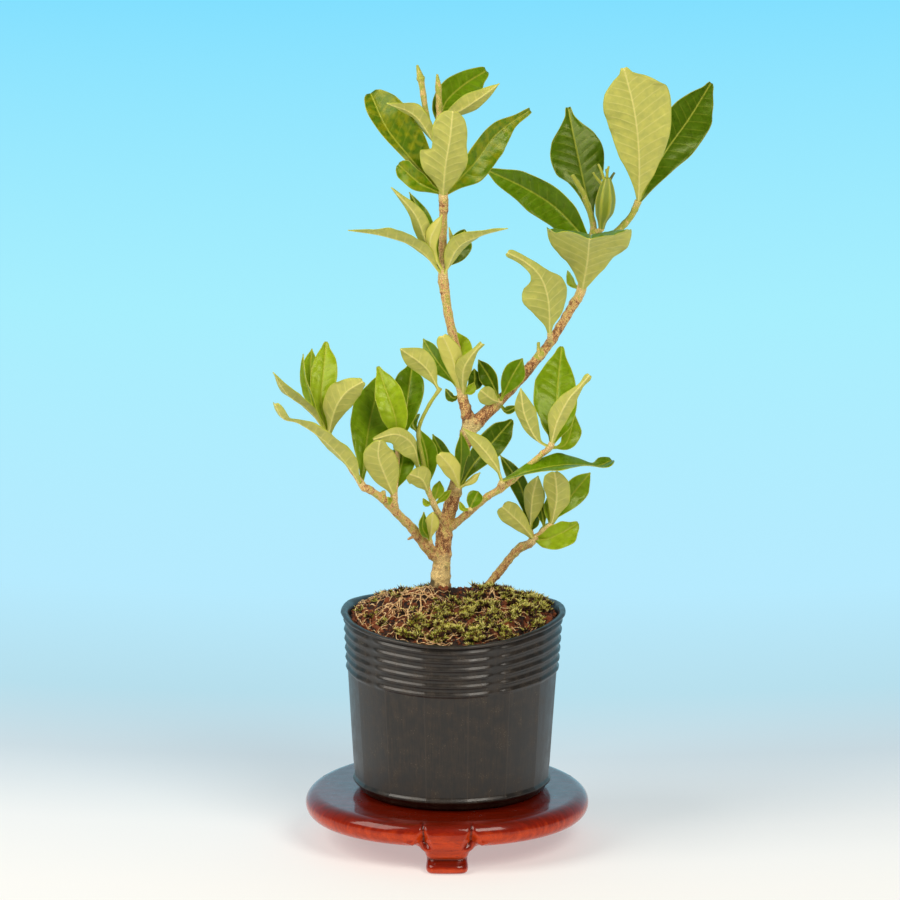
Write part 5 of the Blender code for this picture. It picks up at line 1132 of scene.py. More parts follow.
    @staticmethod
    def spot_on(line: list, lengths: list, wanted: float) -> tuple:
        """The point that lies a length along a line, and the line's direction there.

        Args:
            line: The line's points.
            lengths: The length travelled at each of them.
            wanted: The length to find.

        Returns:
            The point and the direction.
        """
        index = 1
        while index < len(lengths) - 1 and lengths[index] < wanted:
            index += 1
        here, there = line[index - 1], line[index]
        part = (wanted - lengths[index - 1]) / (lengths[index] - lengths[index - 1])
        before, after = line[max(index - 2, 0)], line[min(index + 1, len(line) - 1)]
        return here + (there - here) * part, (after - before).normalized()

    @staticmethod
    def faces(rows: int, width: int, upper: bool) -> tuple:
        """Faces and slots of a closed blade with a grid of points on each face.

        Args:
            rows: Cells along the blade.
            width: Points across it.
            upper: Whether its upper face shows; if it doesn't, every face is turned round.

        Returns:
            The faces, and the slot of each.
        """
        under = (rows + 1) * width
        faces, slots = [], []
        for row in range(rows):
            for column in range(width - 1):
                here = row * width + column
                there = here + width
                faces.append((here, here + 1, there + 1, there))
                faces.append((under + here, under + there, under + there + 1, under + here + 1))
                slots.extend((0, 1))
            low, high = row * width, (row + 1) * width
            faces.append((low, high, under + high, under + low))
            low, high = low + width - 1, high + width - 1
            faces.append((low, under + low, under + high, high))
            slots.extend((1, 1))
        for column in range(width - 1):
            end = rows * width + column
            faces.append((column, under + column, under + column + 1, column + 1))
            faces.append((end, end + 1, under + end + 1, under + end))
            slots.extend((1, 1))
        if not upper:
            faces = [tuple(reversed(face)) for face in faces]
        return faces, slots


@dataclass
class WoodForm:
    """The build of every stem: round tubes fused into one skin, with bark lumps and scar rings."""

    voxel: float = 0.26
    sides: int = 14
    steps: int = 6
    swell: float = 0.07
    swell_pitch: float = 2.4
    ring_pitch: float = 4.2
    ring_height: float = 0.13
    ring_width: float = 0.35
    lump: float = 0.1
    lump_rate: float = 0.9
    flake_height: float = 0.35
    flake_rate: float = 1.7
    collar_reach: float = 1.5
    collar_height: float = 0.12

    def line(self, twig: Twig, shift: float) -> tuple:
        """The stem's points, its radius and its ripeness at each.

        Args:
            twig: The stem.
            shift: How far it is moved towards the eye.

        Returns:
            The points, the radii and the ripeness.
        """
        spots = [seen(point, shift) for point in twig.points]
        line = smooth_line(spots, self.steps)
        radii, ripeness = [], []
        for index in range(len(line)):
            part = index / self.steps
            low = min(int(part), len(spots) - 2)
            radii.append(blend_values(twig.radii[low], twig.radii[low + 1], part - low))
            ripeness.append(blend_values(*twig.ripe, index / (len(line) - 1)))
        return line, radii, ripeness

    def tube(self, line: Sequence[Vector], radii: Sequence[float]) -> tuple:
        """A closed round tube along a line, as points and faces.

        Args:
            line: The line's points.
            radii: The radius at each of them.

        Returns:
            The points and the faces.
        """
        points = []
        side_axis = None
        for index, centre in enumerate(line):
            along = (line[min(index + 1, len(line) - 1)] - line[max(index - 1, 0)]).normalized()
            side_axis = (along.orthogonal() if side_axis is None
                         else side_axis - along * side_axis.dot(along)).normalized()
            other_axis = along.cross(side_axis)
            for side in range(self.sides):
                angle = math.tau * side / self.sides
                offset = side_axis * math.cos(angle) + other_axis * math.sin(angle)
                points.append(centre + offset * radii[index])
        return points, stack_faces(len(line), self.sides)

    def roughened(self, line: Sequence[Vector], radii: Sequence[float], chance: random.Random) -> list:
        """The radii with slow swellings and with rings where old leaves stood.

        Args:
            line: The line's points.
            radii: The radius at each of them.
            chance: Where the random draws come from.

        Returns:
            The new radii.
        """
        travelled, next_ring = 0.0, chance.uniform(0.5, 1.5) * self.ring_pitch
        rings, lengths = [], [0.0]
        for here, there in zip(line, line[1:]):
            travelled += (there - here).length
            lengths.append(travelled)
            if travelled > next_ring:
                rings.append(travelled)
                next_ring = travelled + chance.uniform(0.6, 1.5) * self.ring_pitch
        offset = chance.uniform(0.0, 50.0)
        changed = []
        for radius, length in zip(radii, lengths):
            ring = sum(math.exp(-((length - spot) / self.ring_width) ** 2) for spot in rings)
            wave = noise.noise(Vector((length / self.swell_pitch, offset, 0.0)))
            changed.append(radius * (1.0 + self.swell * wave + self.ring_height * min(ring, 1.0)))
        return changed

    def grow(self, store: Store, slot: int, twigs: Sequence[Twig], stubs: Sequence[tuple], shift: float,
             collars: Sequence[Vector], seed: int, pale: Sequence[tuple] = (),
             dirty: Sequence[tuple] = ()) -> None:
        """Add stems, fused into one skin, to a store.

        Args:
            store: Where the skin goes.
            slot: The bark's slot.
            twigs: The stems.
            stubs: Short straight stems, as points, radii and ripeness.
            shift: How far the stems are moved towards the eye.
            collars: Points with a papery collar, where leaves stand.
            seed: A number for the lumps.
            pale: Spheres of pale, flaky bark, as centre, radius and strength.
            dirty: Spheres of soiled bark, as centre, radius and strength.
        """
        chance = random.Random(seed)
        raw = Store()
        lines = [self.line(twig, shift) for twig in twigs]
        lines.extend(stubs)
        for line, radii, _ in lines:
            raw.add(*self.tube(line, self.roughened(line, radii, chance)))
        samples = [sample for entry in lines for sample in zip(*entry)]
        nearest = KDTree(len(samples))
        for index, (spot, _, _) in enumerate(samples):
            nearest.insert(spot, index)
        nearest.balance()
        spots, faces = fused(raw, self.voxel, 2)
        points, looks = [], []
        for spot, normal in spots:
            _, index, _ = nearest.find(spot)
            _, radius, ripe = samples[index]
            grain = noise.fractal(spot * self.lump_rate, 1.0, 2.0, 4)
            flake = self.strength(spot, pale)
            collar = max((1.0 - eased((spot - place).length, radius, radius + self.collar_reach)
                          for place in collars), default=0.0)
            push = self.lump * grain * eased(ripe, 0.1, 0.7) * min(radius, 1.6)
            push += (flake * self.flake_height * abs(noise.noise(spot * self.flake_rate))
                     + collar * self.collar_height)
            points.append(spot + normal * push)
            looks.append((ripe + 0.25 * collar * (1.0 - ripe), min(flake + 0.6 * collar, 1.0),
                          self.strength(spot, dirty)))
        store.add(points, faces, slot, bark_look=looks)

    @staticmethod
    def strength(spot: Vector, spheres: Sequence[tuple]) -> float:
        """How strongly a point lies in any of some spheres with soft, uneven borders."""
        uneven = 0.35 * noise.noise(spot * 0.8)
        return max((strength * (1.0 - eased((spot - centre).length / radius + uneven, 0.55, 1.0))
                    for centre, radius, strength in spheres), default=0.0)


def stub(shoot: Shoot) -> tuple:
    """The short stem that a shoot sits on, as its line, radii and ripeness.

    Args:
        shoot: The shoot.

    Returns:
        Its line, its radii and its ripeness at each point.
    """
    twig = shoot.twigs[0]
    root, start, onward = (seen(place, shoot.shift) for place in (shoot.root, *twig.points[:2]))
    along = (onward - start).normalized()
    radius, ripe = twig.radii[0], twig.ripe[0]
    line = [root, root.lerp(start, 0.5), start - along * 0.6, start + along * 0.4]
    return line, [radius * 1.08, radius * 1.06, radius * 1.05, radius], [ripe + 0.15, ripe + 0.1, ripe, ripe]


@dataclass
class Greenery:
    """The trunk, the second stem and the leafy shoots that grow from them."""

    blades: BladeForm
    wood: WoodForm
    upper: Material
    lower: Material
    bark: Material
    foot_depths: tuple = (11.5, 5.0, 0.0)

    def shoot(self, shoot: Shoot, seed: int) -> Object:
        """Make one leafy shoot with its stems and the stubs of the shoots that it carries.

        Args:
            shoot: The shoot.
            seed: A number for its lumps, ripples and tones.

        Returns:
            The finished piece.
        """
        store = Store("blade_place", "blade_look", "bark_look")
        carried = [stub(other) for other in SHOOTS if other.parent == shoot.name]
        if shoot.name == CALYX_PARENT:
            carried.append(FlowerBase.stalk())
        collars = [seen(leaf.rib[0], shoot.shift) for leaf in shoot.leaves]
        self.wood.grow(store, 2, shoot.twigs, carried, shoot.shift, collars, seed)
        for index, (leaf, letter) in enumerate(zip(shoot.leaves, shoot.looks)):
            self.blades.grow(store, leaf, shoot.shift, LeafLook(letter), seed * 20 + index)
        piece = store.piece(shoot.name + "_leaves", [self.upper, self.lower, self.bark])
        return keep(piece, "leaf", shoot.name)

    def stem(self, name: str, twigs: Sequence[Twig], seed: int, pale: Sequence[tuple] = (),
             dirty: Sequence[tuple] = ()) -> Object:
        """Make a woody stem that stands in the soil, with the stubs of the shoots that it carries.

        Args:
            name: The CAD node that it stands for.
            twigs: Its stems, the thick one first.
            seed: A number for its lumps.
            pale: Spheres of pale, flaky bark.
            dirty: Spheres of soiled bark.

        Returns:
            The finished piece.
        """
        store = Store("blade_place", "blade_look", "bark_look")
        low, radius, ripe = seen(twigs[0].points[0]), twigs[0].radii[0], twigs[0].ripe[0]
        foot = [low - Vector((0.0, 0.0, depth)) for depth in self.foot_depths]
        stubs = [(foot, [radius * 0.92, radius * 0.98, radius], [ripe] * 3)]
        stubs.extend(stub(other) for other in SHOOTS if other.parent == name)
        self.wood.grow(store, 0, twigs, stubs, 0.0, (), seed, pale, dirty)
        return keep(store.piece(name + "_bark", [self.bark]), "bark", name)


@dataclass(frozen=True)
class CalyxSkin:
    """The flower base's skin: waxy yellow-green with paler ribs and darker furrows."""

    rib: str = "#a9ae3c"
    furrow: str = "#80902a"
    tip: str = "#4d5a24"

    def material(self) -> Material:
        """Build the material.

        Returns:
            The material.
        """
        material, tree, shader = start_material("Gardenia calyx, waxy skin")
        look = node(tree, "Attribute", attribute_name="calyx_look")
        ridge, tip, _ = node(tree, "SeparateXYZ", [look.outputs["Vector"]]).outputs
        grain = node(tree, "TexNoise", {"Vector": pattern(tree, 800, 800, 250), "Detail": 4.0})
        amount = node(tree, "Math", [grain, 0.5, ridge], operation="MULTIPLY_ADD")
        base = node(tree, "ValToRGB", [amount], stops=((0.35, self.furrow), (0.95, self.rib)))
        ended = node(tree, "Mix", {SHARE: tip, UNDER: base, OVER: self.tip}, data_type="RGBA")
        bump = node(tree, "Bump", {"Strength": 0.4, "Distance": 0.1 * MM, "Height": grain})
        fill(tree, shader, {"Base Color": ended, "Normal": bump, "Roughness": 0.42, "Subsurface Weight": 0.1,
                            "Subsurface Scale": 0.8 * MM})
        return material


@dataclass
class FlowerBase:
    """The ribbed base of a flower with its narrow sepals."""

    skin: Material
    ribs: int = 6
    sides: int = 48
    rib_depth: float = 0.13
    steps: int = 7
    sepal_radii: tuple = (0.62, 0.34)
    sepal_sides: int = 8

    @staticmethod
    def stalk() -> tuple:
        """The short stalk below the flower base, as its line, radii and ripeness.

        Returns:
            Its line, its radii and its ripeness at each point.
        """
        across, rise, near, radius = CALYX_RINGS[0]
        root, top = seen(CALYX_ROOT, CALYX_SHIFT), seen((across, rise, near), CALYX_SHIFT)
        line = [root, root.lerp(top, 0.5), top, top + Vector((0.0, 0.0, 0.4))]
        return line, [0.85, 0.85, radius, radius], [0.25, 0.2, 0.1, 0.1]

    def build(self) -> Object:
        """Make the flower base and its sepals as one piece.

        Returns:
            The finished piece.
        """
        store = Store("calyx_look")
        centres = smooth_line([seen(ring[:3], CALYX_SHIFT) for ring in CALYX_RINGS], self.steps)
        pairs = [(index, ring[3]) for index, ring in enumerate(CALYX_RINGS)]
        points, looks = [], []
        for index, centre in enumerate(centres):
            radius = monotone(pairs, index / self.steps)
            for side in range(self.sides):
                angle = math.tau * side / self.sides
                ridge = math.cos(angle * self.ribs * 0.5) ** 6
                depth = self.rib_depth * eased(index / self.steps, 0.8, 2.0)
                reach = radius * (1.0 + depth * (ridge - 0.5) * 1.4)
                points.append(centre + polar(reach, angle))
                looks.append((ridge, 0.0, 0.0))
        store.add(points, stack_faces(len(centres), self.sides), calyx_look=looks)
        form = WoodForm(sides=self.sepal_sides)
        crown = seen(CALYX_RINGS[-2][:3], CALYX_SHIFT)
        for index, tip in enumerate(SEPAL_TIPS):
            end = seen(tip, CALYX_SHIFT)
            bend = Vector((0.4, -0.5, 0.2)) * (1.0 if index % 2 else -1.0)
            line = smooth_line([crown, crown.lerp(end, 0.4) + bend * 0.5, crown.lerp(end, 0.75) + bend * 0.6,
                                end], 4)
            radii = [blend_values(*self.sepal_radii, part / (len(line) - 1)) for part in range(len(line))]
            tube, sides = form.tube(line, radii)
            dark = 0.85 if index == len(SEPAL_TIPS) - 1 else 0.0
            store.add(tube, sides, calyx_look=[(0.9, dark, 0.0)] * len(tube))
        return keep(store.piece("flower_base", [self.skin]), "calyx", "flower_calyx")


POT_CENTRE = Vector((0.6, 0.0, 0.0))
SEAM_PITCH = 24.0
SEAM_TURN = 9.0


@dataclass(frozen=True)
class PotPlastic:
    """Soft black polyethylene, drawn into a mould: satin, warm black, with thin upright seams and dust."""

    black: str = "#15100c"
    wear_and_groove_shade: str = "#30251a"
    seam: str = "#352c24"
    dust: str = "#8f8169"
    roughness: float = 0.35
    seam_half: float = 0.3

    def material(self) -> Material:
        """Build the material.

        Returns:
            The material.
        """
        material, tree, shader = start_material("Black polyethylene, moulded")
        flow = node(tree, "TexNoise", {"Vector": pattern(tree, 330, 330, 7), "Detail": 5.0,
                                       "Roughness": 0.7})
        clouds = node(tree, "TexNoise", {"Vector": pattern(tree, 55), "Detail": 5.0})
        mixed = node(tree, "Math", [flow, clouds], operation="MULTIPLY")
        base = node(tree, "ValToRGB", [mixed], stops=((0.18, self.black), (0.42, self.wear_and_groove_shade)))
        place = node(tree, "TexCoord").outputs["Object"]
        middle = node(tree, "VectorMath", [place, tuple((REACH_CENTRE - POT_CENTRE) * MM)], operation="ADD")
        across, near, up = node(tree, "SeparateXYZ", [middle]).outputs
        angle = node(tree, "Math", [near, across], operation="ARCTAN2")
        degrees = node(tree, "Math", [angle, math.degrees(1.0), SEAM_TURN], operation="MULTIPLY_ADD")
        off_seam = node(tree, "Math", [degrees, SEAM_PITCH * 0.5], operation="PINGPONG")
        line = node(tree, "MapRange", [off_seam, self.seam_half * 0.6, self.seam_half * 1.6, 1.0, 0.0])
        below = node(tree, "MapRange", [up, 0.054, 0.057, 1.0, 0.0])
        seam = node(tree, "Math", [line, below], operation="MULTIPLY")
        seam_share = node(tree, "Math", [seam, flow], operation="MULTIPLY")
        seamed = node(tree, "Mix", {SHARE: seam_share, UNDER: base, OVER: self.seam}, data_type="RGBA")
        grit = node(tree, "TexVoronoi", {"Vector": pattern(tree, 420)})
        specks = node(tree, "MapRange", [grit, 0.1, 0.18, 0.8, 0.0])
        drift = node(tree, "MapRange", [clouds, 0.52, 0.64, 0.0, 1.0])
        dusty = node(tree, "Math", [specks, drift], operation="MULTIPLY")
        dusted = node(tree, "Mix", {SHARE: dusty, UNDER: seamed, OVER: self.dust}, data_type="RGBA")
        rough = node(tree, "MapRange", [mixed, 0.15, 0.45, self.roughness - 0.06, self.roughness + 0.12])
        raised = node(tree, "Math", [seam, 0.8, flow], operation="MULTIPLY_ADD")
        height = node(tree, "Math", [specks, 0.3, raised], operation="MULTIPLY_ADD")
        bump = node(tree, "Bump", {"Strength": 0.3, "Distance": 0.1 * MM, "Height": height})
        fill(tree, shader, {"Base Color": dusted, "Roughness": rough, "Normal": bump, "IOR": 1.52})
        return material


@dataclass
class Pot:
    """The thin moulded nursery pot, with six rings under its lip and a bead round its foot."""

    plastic: Material
    seat: float = 16.35
    rim_radius: float = 35.2
    base_radius: float = 29.6
    height: float = 55.7
    wall: float = 0.9
    floor: float = 1.0
    drain_radius: float = 7.0
    low_wall_radius: float = 30.3
    lip_step: float = 1.3
    ring_count: int = 6
    ring_pitch: float = 2.86
    ring_depth: float = 0.62
    ring_steps: int = 10
    top_ring_drop: float = 2.9
    saddle: float = 1.5
    gap_turn: float = 129.0
    gap_pitch: float = 72.0
    segments: int = 240
    hub: float = 10.0

    def wall_radius(self, height: float) -> float:
        """The wall's outer radius at a height above the pot's base."""
        share = height / self.height
        return blend_values(self.low_wall_radius, self.rim_radius - self.lip_step, share)

    def inner_radius(self, height: float) -> float:
        """The pot's inner radius at a height above its base."""
        share = max(height - self.floor, 0.0) / (self.height - self.floor)
        return blend_values(self.base_radius - self.wall, self.wall_radius(self.height) - self.wall, share)

    def section(self) -> list:
        """The pot's section, round from the drain hole and back to it.

        Returns:
            Radius, height and share of a ring's crest for each point.
        """
        base = self.base_radius
        outside = [(self.drain_radius, 0.0), (base - 2.2, 0.0), (base - 0.8, 0.25), (base - 0.2, 0.8),
                   (base + 0.1, 1.7), (base + 0.7, 2.2), (base + 1.25, 2.6), (base + 1.5, 3.1),
                   (base + 1.35, 3.6), (base + 0.95, 4.0), (base + 0.85, 4.6)]
        lowest = self.height - self.top_ring_drop - (self.ring_count - 0.5) * self.ring_pitch
        for step in range(1, 9):
            height = blend_values(5.0, lowest, step / 8.0)
            outside.append((self.wall_radius(height), height))
        plain = [(radius, height, 0.0) for radius, height in outside]
        for step in range(1, self.ring_count * self.ring_steps + 1):
            turn = step / self.ring_steps
            height = lowest + turn * self.ring_pitch
            plain.append((self.wall_radius(height), height, (0.5 - 0.5 * math.cos(math.tau * turn)) ** 1.6))
        lip, wall = self.height, self.wall_radius(self.height)
        rest = [(wall - 0.15, lip - 1.7), (wall + 0.2, lip - 1.35), (self.rim_radius - 0.25, lip - 1.1),
                (self.rim_radius, lip - 0.7), (self.rim_radius - 0.05, lip - 0.3),
                (self.rim_radius - 0.4, lip), (self.rim_radius - 1.2, lip - 0.05)]
        inside = (lip - 0.6, lip - 6.0, 40.0, 20.0, self.floor)
        rest.extend((self.inner_radius(height), height) for height in inside)
        rest.append((self.drain_radius, self.floor))
        return plain + [(radius, height, 0.0) for radius, height in rest]

    def point(self, radius: float, height: float, angle: float) -> Vector:
        """A point on the pot or in it, with the dip of its mouth and its slack wall.

        Args:
            radius: Millimetres from the pot's axis.
            height: Millimetres above its base.
            angle: The angle round it in radians.

        Returns:
            The point in millimetres.
        """
        share = height / self.height
        lift = self.saddle * math.cos(2.0 * angle) * share ** 2
        slack = share ** 2 * (0.35 * math.sin(3.0 * angle + 1.0) + 0.2 * math.sin(5.0 * angle + 2.0))
        return POT_CENTRE + polar(radius + slack, angle, self.seat + height + lift)

    def build(self) -> Object:
        """Turn the section round, bend the mouth and draw the flow lines in the wall.

        Returns:
            The finished piece.
        """
        section = self.section()
        mesh = bpy.data.meshes.new("pot_section")
        mesh.from_pydata([((radius - self.hub) * MM, -height * MM, 0.0) for radius, height, _ in section],
                         [(index, (index + 1) % len(section)) for index in range(len(section))], [])
        crests = [crest for _, _, crest in section]
        mesh.attributes.new("crest", "FLOAT", "POINT").data.foreach_set("value", crests)
        obj = added("moulded_pot", mesh)
        seat = POT_CENTRE + Vector((0.0, 0.0, self.seat)) - REACH_CENTRE
        rule = GeometryRule("Moulded pot", Segments=self.segments, Hub=self.hub * MM,
                            Height=self.height * MM, Saddle=self.saddle * MM, Slack=1.0 * MM,
                            Flutes=0.12 * MM, Lip=0.3 * MM, Facets=0.22 * MM, Rings=self.ring_depth * MM,
                            Seat=tuple(seat * MM), Plastic=self.plastic)
        tree, given = rule.tree, rule.given
        outline = node(tree, "MeshToCurve", [given["Geometry"]])
        circle = node(tree, "CurvePrimitiveCircle", {"Resolution": given["Segments"],
                                                     "Radius": given["Hub"]})
        level = node(tree, "SetCurveNormal", {"Curve": circle}, mode="Z_UP")
        turned = node(tree, "CurveToMesh", {"Curve": level, "Profile Curve": outline})
        place = node(tree, "InputPosition")
        across, near, up = node(tree, "SeparateXYZ", [place]).outputs
        angle = node(tree, "Math", [near, across], operation="ARCTAN2")
        share = node(tree, "Math", [up, given["Height"]], operation="DIVIDE")
        square = node(tree, "Math", [share, 2.0], operation="POWER")
        twice = node(tree, "Math", [angle, 2.0], operation="MULTIPLY")
        dip = node(tree, "Math", [twice], operation="COSINE")
        dip_share = node(tree, "Math", [dip, square], operation="MULTIPLY")
        saddle = node(tree, "Math", [dip_share, given["Saddle"]], operation="MULTIPLY")
        third = node(tree, "Math", [angle, 3.0, 1.0], operation="MULTIPLY_ADD")
        third_wave = node(tree, "Math", [third], operation="SINE")
        fifth = node(tree, "Math", [angle, 5.0, 2.0], operation="MULTIPLY_ADD")
        fifth_wave = node(tree, "Math", [fifth], operation="SINE")
        small = node(tree, "Math", [fifth_wave, 0.2], operation="MULTIPLY")
        waves = node(tree, "Math", [third_wave, 0.35, small], operation="MULTIPLY_ADD")
        slack_share = node(tree, "Math", [waves, square], operation="MULTIPLY")
        slack = node(tree, "Math", [slack_share, given["Slack"]], operation="MULTIPLY")
        flat = node(tree, "CombineXYZ", [across, near])
        outward = node(tree, "VectorMath", [flat], operation="NORMALIZE")
        lines = node(tree, "TexNoise", {"Vector": outward, "Scale": 9.0, "Detail": 3.0})
        centred = node(tree, "Math", [lines, 0.5], operation="SUBTRACT")
        below = node(tree, "MapRange", [share, 0.62, 0.7, 1.0, 0.25])
        flute_share = node(tree, "Math", [centred, below], operation="MULTIPLY")
        reach = node(tree, "Math", [flute_share, given["Flutes"], slack], operation="MULTIPLY_ADD")
        degrees = node(tree, "Math", [angle, math.degrees(1.0), SEAM_TURN], operation="MULTIPLY_ADD")
        off_seam = node(tree, "Math", [degrees, SEAM_PITCH * 0.5], operation="PINGPONG")
        part = node(tree, "Math", [off_seam, -2.0 / SEAM_PITCH, 1.0], operation="MULTIPLY_ADD")
        bowed = node(tree, "Math", [part, part, -1.0], operation="MULTIPLY_ADD")
        flattened = node(tree, "Math", [bowed, given["Facets"], reach], operation="MULTIPLY_ADD")
        crest = node(tree, "InputNamedAttribute", {"Name": "crest"}, data_type="FLOAT")
        turned_back = node(tree, "Math", [degrees, self.gap_turn], operation="ADD")
        off_gap = node(tree, "Math", [turned_back, self.gap_pitch * 0.5], operation="PINGPONG")
        whole = node(tree, "MapRange", [off_gap, 1.0, 5.5, 0.25, 1.0], interpolation_type="SMOOTHSTEP")
        ring = node(tree, "Math", [crest, whole], operation="MULTIPLY")
        ringed = node(tree, "Math", [ring, given["Rings"], flattened], operation="MULTIPLY_ADD")
        sideways = node(tree, "VectorMath", {0: outward, "Scale": ringed}, operation="SCALE")
        ragged = node(tree, "Math", [share, 24.0], operation="POWER")
        ragged_share = node(tree, "Math", [ragged, centred], operation="MULTIPLY")
        lift = node(tree, "Math", [ragged_share, given["Lip"], saddle], operation="MULTIPLY_ADD")
        upward = node(tree, "CombineXYZ", {2: lift})
        moved = node(tree, "VectorMath", [sideways, upward], operation="ADD")
        seated = node(tree, "VectorMath", [moved, given["Seat"]], operation="ADD")
        bent = node(tree, "SetPosition", {"Geometry": turned, "Offset": seated})
        rule.close(bent, "Plastic")
        rule.apply(obj)
        face_outwards(obj)
        obj.data.shade_smooth()
        return keep(obj, "pot", "pot")


@dataclass(frozen=True)
class SoilEarth:
    """Moist potting soil: peat and rotted bark, almost black in the gaps and rust on the crumbs."""

    dark: str = "#0e0705"
    brown: str = "#42200f"
    rust: str = "#86441e"

    def material(self) -> Material:
        """Build the material.

        Returns:
            The material.
        """
        material, tree, shader = start_material("Potting soil, moist")
        grain = node(tree, "TexNoise", {"Vector": pattern(tree, 600), "Detail": 6.0, "Roughness": 0.7})
        tone = node(tree, "Attribute", attribute_name="crumb_tone")
        mixed = node(tree, "Math", [tone.outputs["Fac"], 0.55, grain], operation="MULTIPLY_ADD")
        base = node(tree, "ValToRGB", [mixed], stops=((0.4, self.dark), (0.72, self.brown),
                                                      (1.0, self.rust)))
        damp = node(tree, "MapRange", [grain, 0.3, 0.7, 0.62, 0.95])
        bump = node(tree, "Bump", {"Strength": 0.9, "Distance": 0.5 * MM, "Height": grain})
        fill(tree, shader, {"Base Color": base, "Roughness": damp, "Normal": bump})
        return material


@dataclass(frozen=True)
class RootSkin:
    """Fine dried roots: tan and straw, a little translucent, darker where they are soiled."""

    straw: str = "#fbe2b0"
    tan: str = "#dcae74"
    dark: str = "#82522a"

    def material(self) -> Material:
        """Build the material.

        Returns:
            The material.
        """
        material, tree, shader = start_material("Fine roots, dried")
        streaks = node(tree, "TexNoise", {"Vector": pattern(tree, 260), "Detail": 4.0})
        base = node(tree, "ValToRGB", [streaks], stops=((0.32, self.dark), (0.48, self.tan),
                                                        (0.68, self.straw)))
        rough = node(tree, "MapRange", [streaks, 0.3, 0.7, 0.5, 0.75])
        bump = node(tree, "Bump", {"Strength": 0.4, "Distance": 0.1 * MM, "Height": streaks})
        fill(tree, shader, {"Base Color": base, "Roughness": rough, "Normal": bump})
        return material


@dataclass(frozen=True)
class MossGreen:
    """Cushion moss: sprigs from deep green to straw and rust, dark at their feet."""

    shade: str = "#161004"
    brown: str = "#3a1c0a"
    rust: str = "#8a4a1a"
    green: str = "#72940e"
    yellow: str = "#dad238"
    straw: str = "#f6ec8c"

    def material(self) -> Material:
        """Build the material.

        Returns:
            The material.
        """
        material, tree, shader = start_material("Cushion moss")
        look = node(tree, "Attribute", attribute_name="tuft_tone")
        tip = node(tree, "Attribute", attribute_name="tuft_tip")
        patches = node(tree, "TexNoise", {"Vector": pattern(tree, 120), "Detail": 2.0})
        spread = node(tree, "MapRange", [patches, 0.42, 0.6, -0.3, 0.6])
        mixed = node(tree, "Math", [look.outputs["Fac"], 0.35, spread], operation="MULTIPLY_ADD")
        lifted = node(tree, "Math", [tip.outputs["Fac"], 0.37, mixed], operation="MULTIPLY_ADD")
        tone = node(tree, "ValToRGB", [lifted], stops=((0.2, self.brown), (0.5, self.rust),
                                                       (0.62, self.green), (0.8, self.yellow),
                                                       (0.98, self.straw)))
        rise = node(tree, "MapRange", [tip.outputs["Fac"], 0.0, 0.8, 0.1, 1.0])
        shaded = node(tree, "Mix", {SHARE: rise, UNDER: self.shade, OVER: tone}, data_type="RGBA")
        fine = node(tree, "TexNoise", {"Vector": pattern(tree, 2500)})
        rough = node(tree, "MapRange", [fine, 0.3, 0.7, 0.5, 0.8])
        bump = node(tree, "Bump", {"Strength": 0.4, "Distance": 0.1 * MM, "Height": fine})
        fill(tree, shader, {"Base Color": shaded, "Roughness": rough, "Normal": bump})
        return material


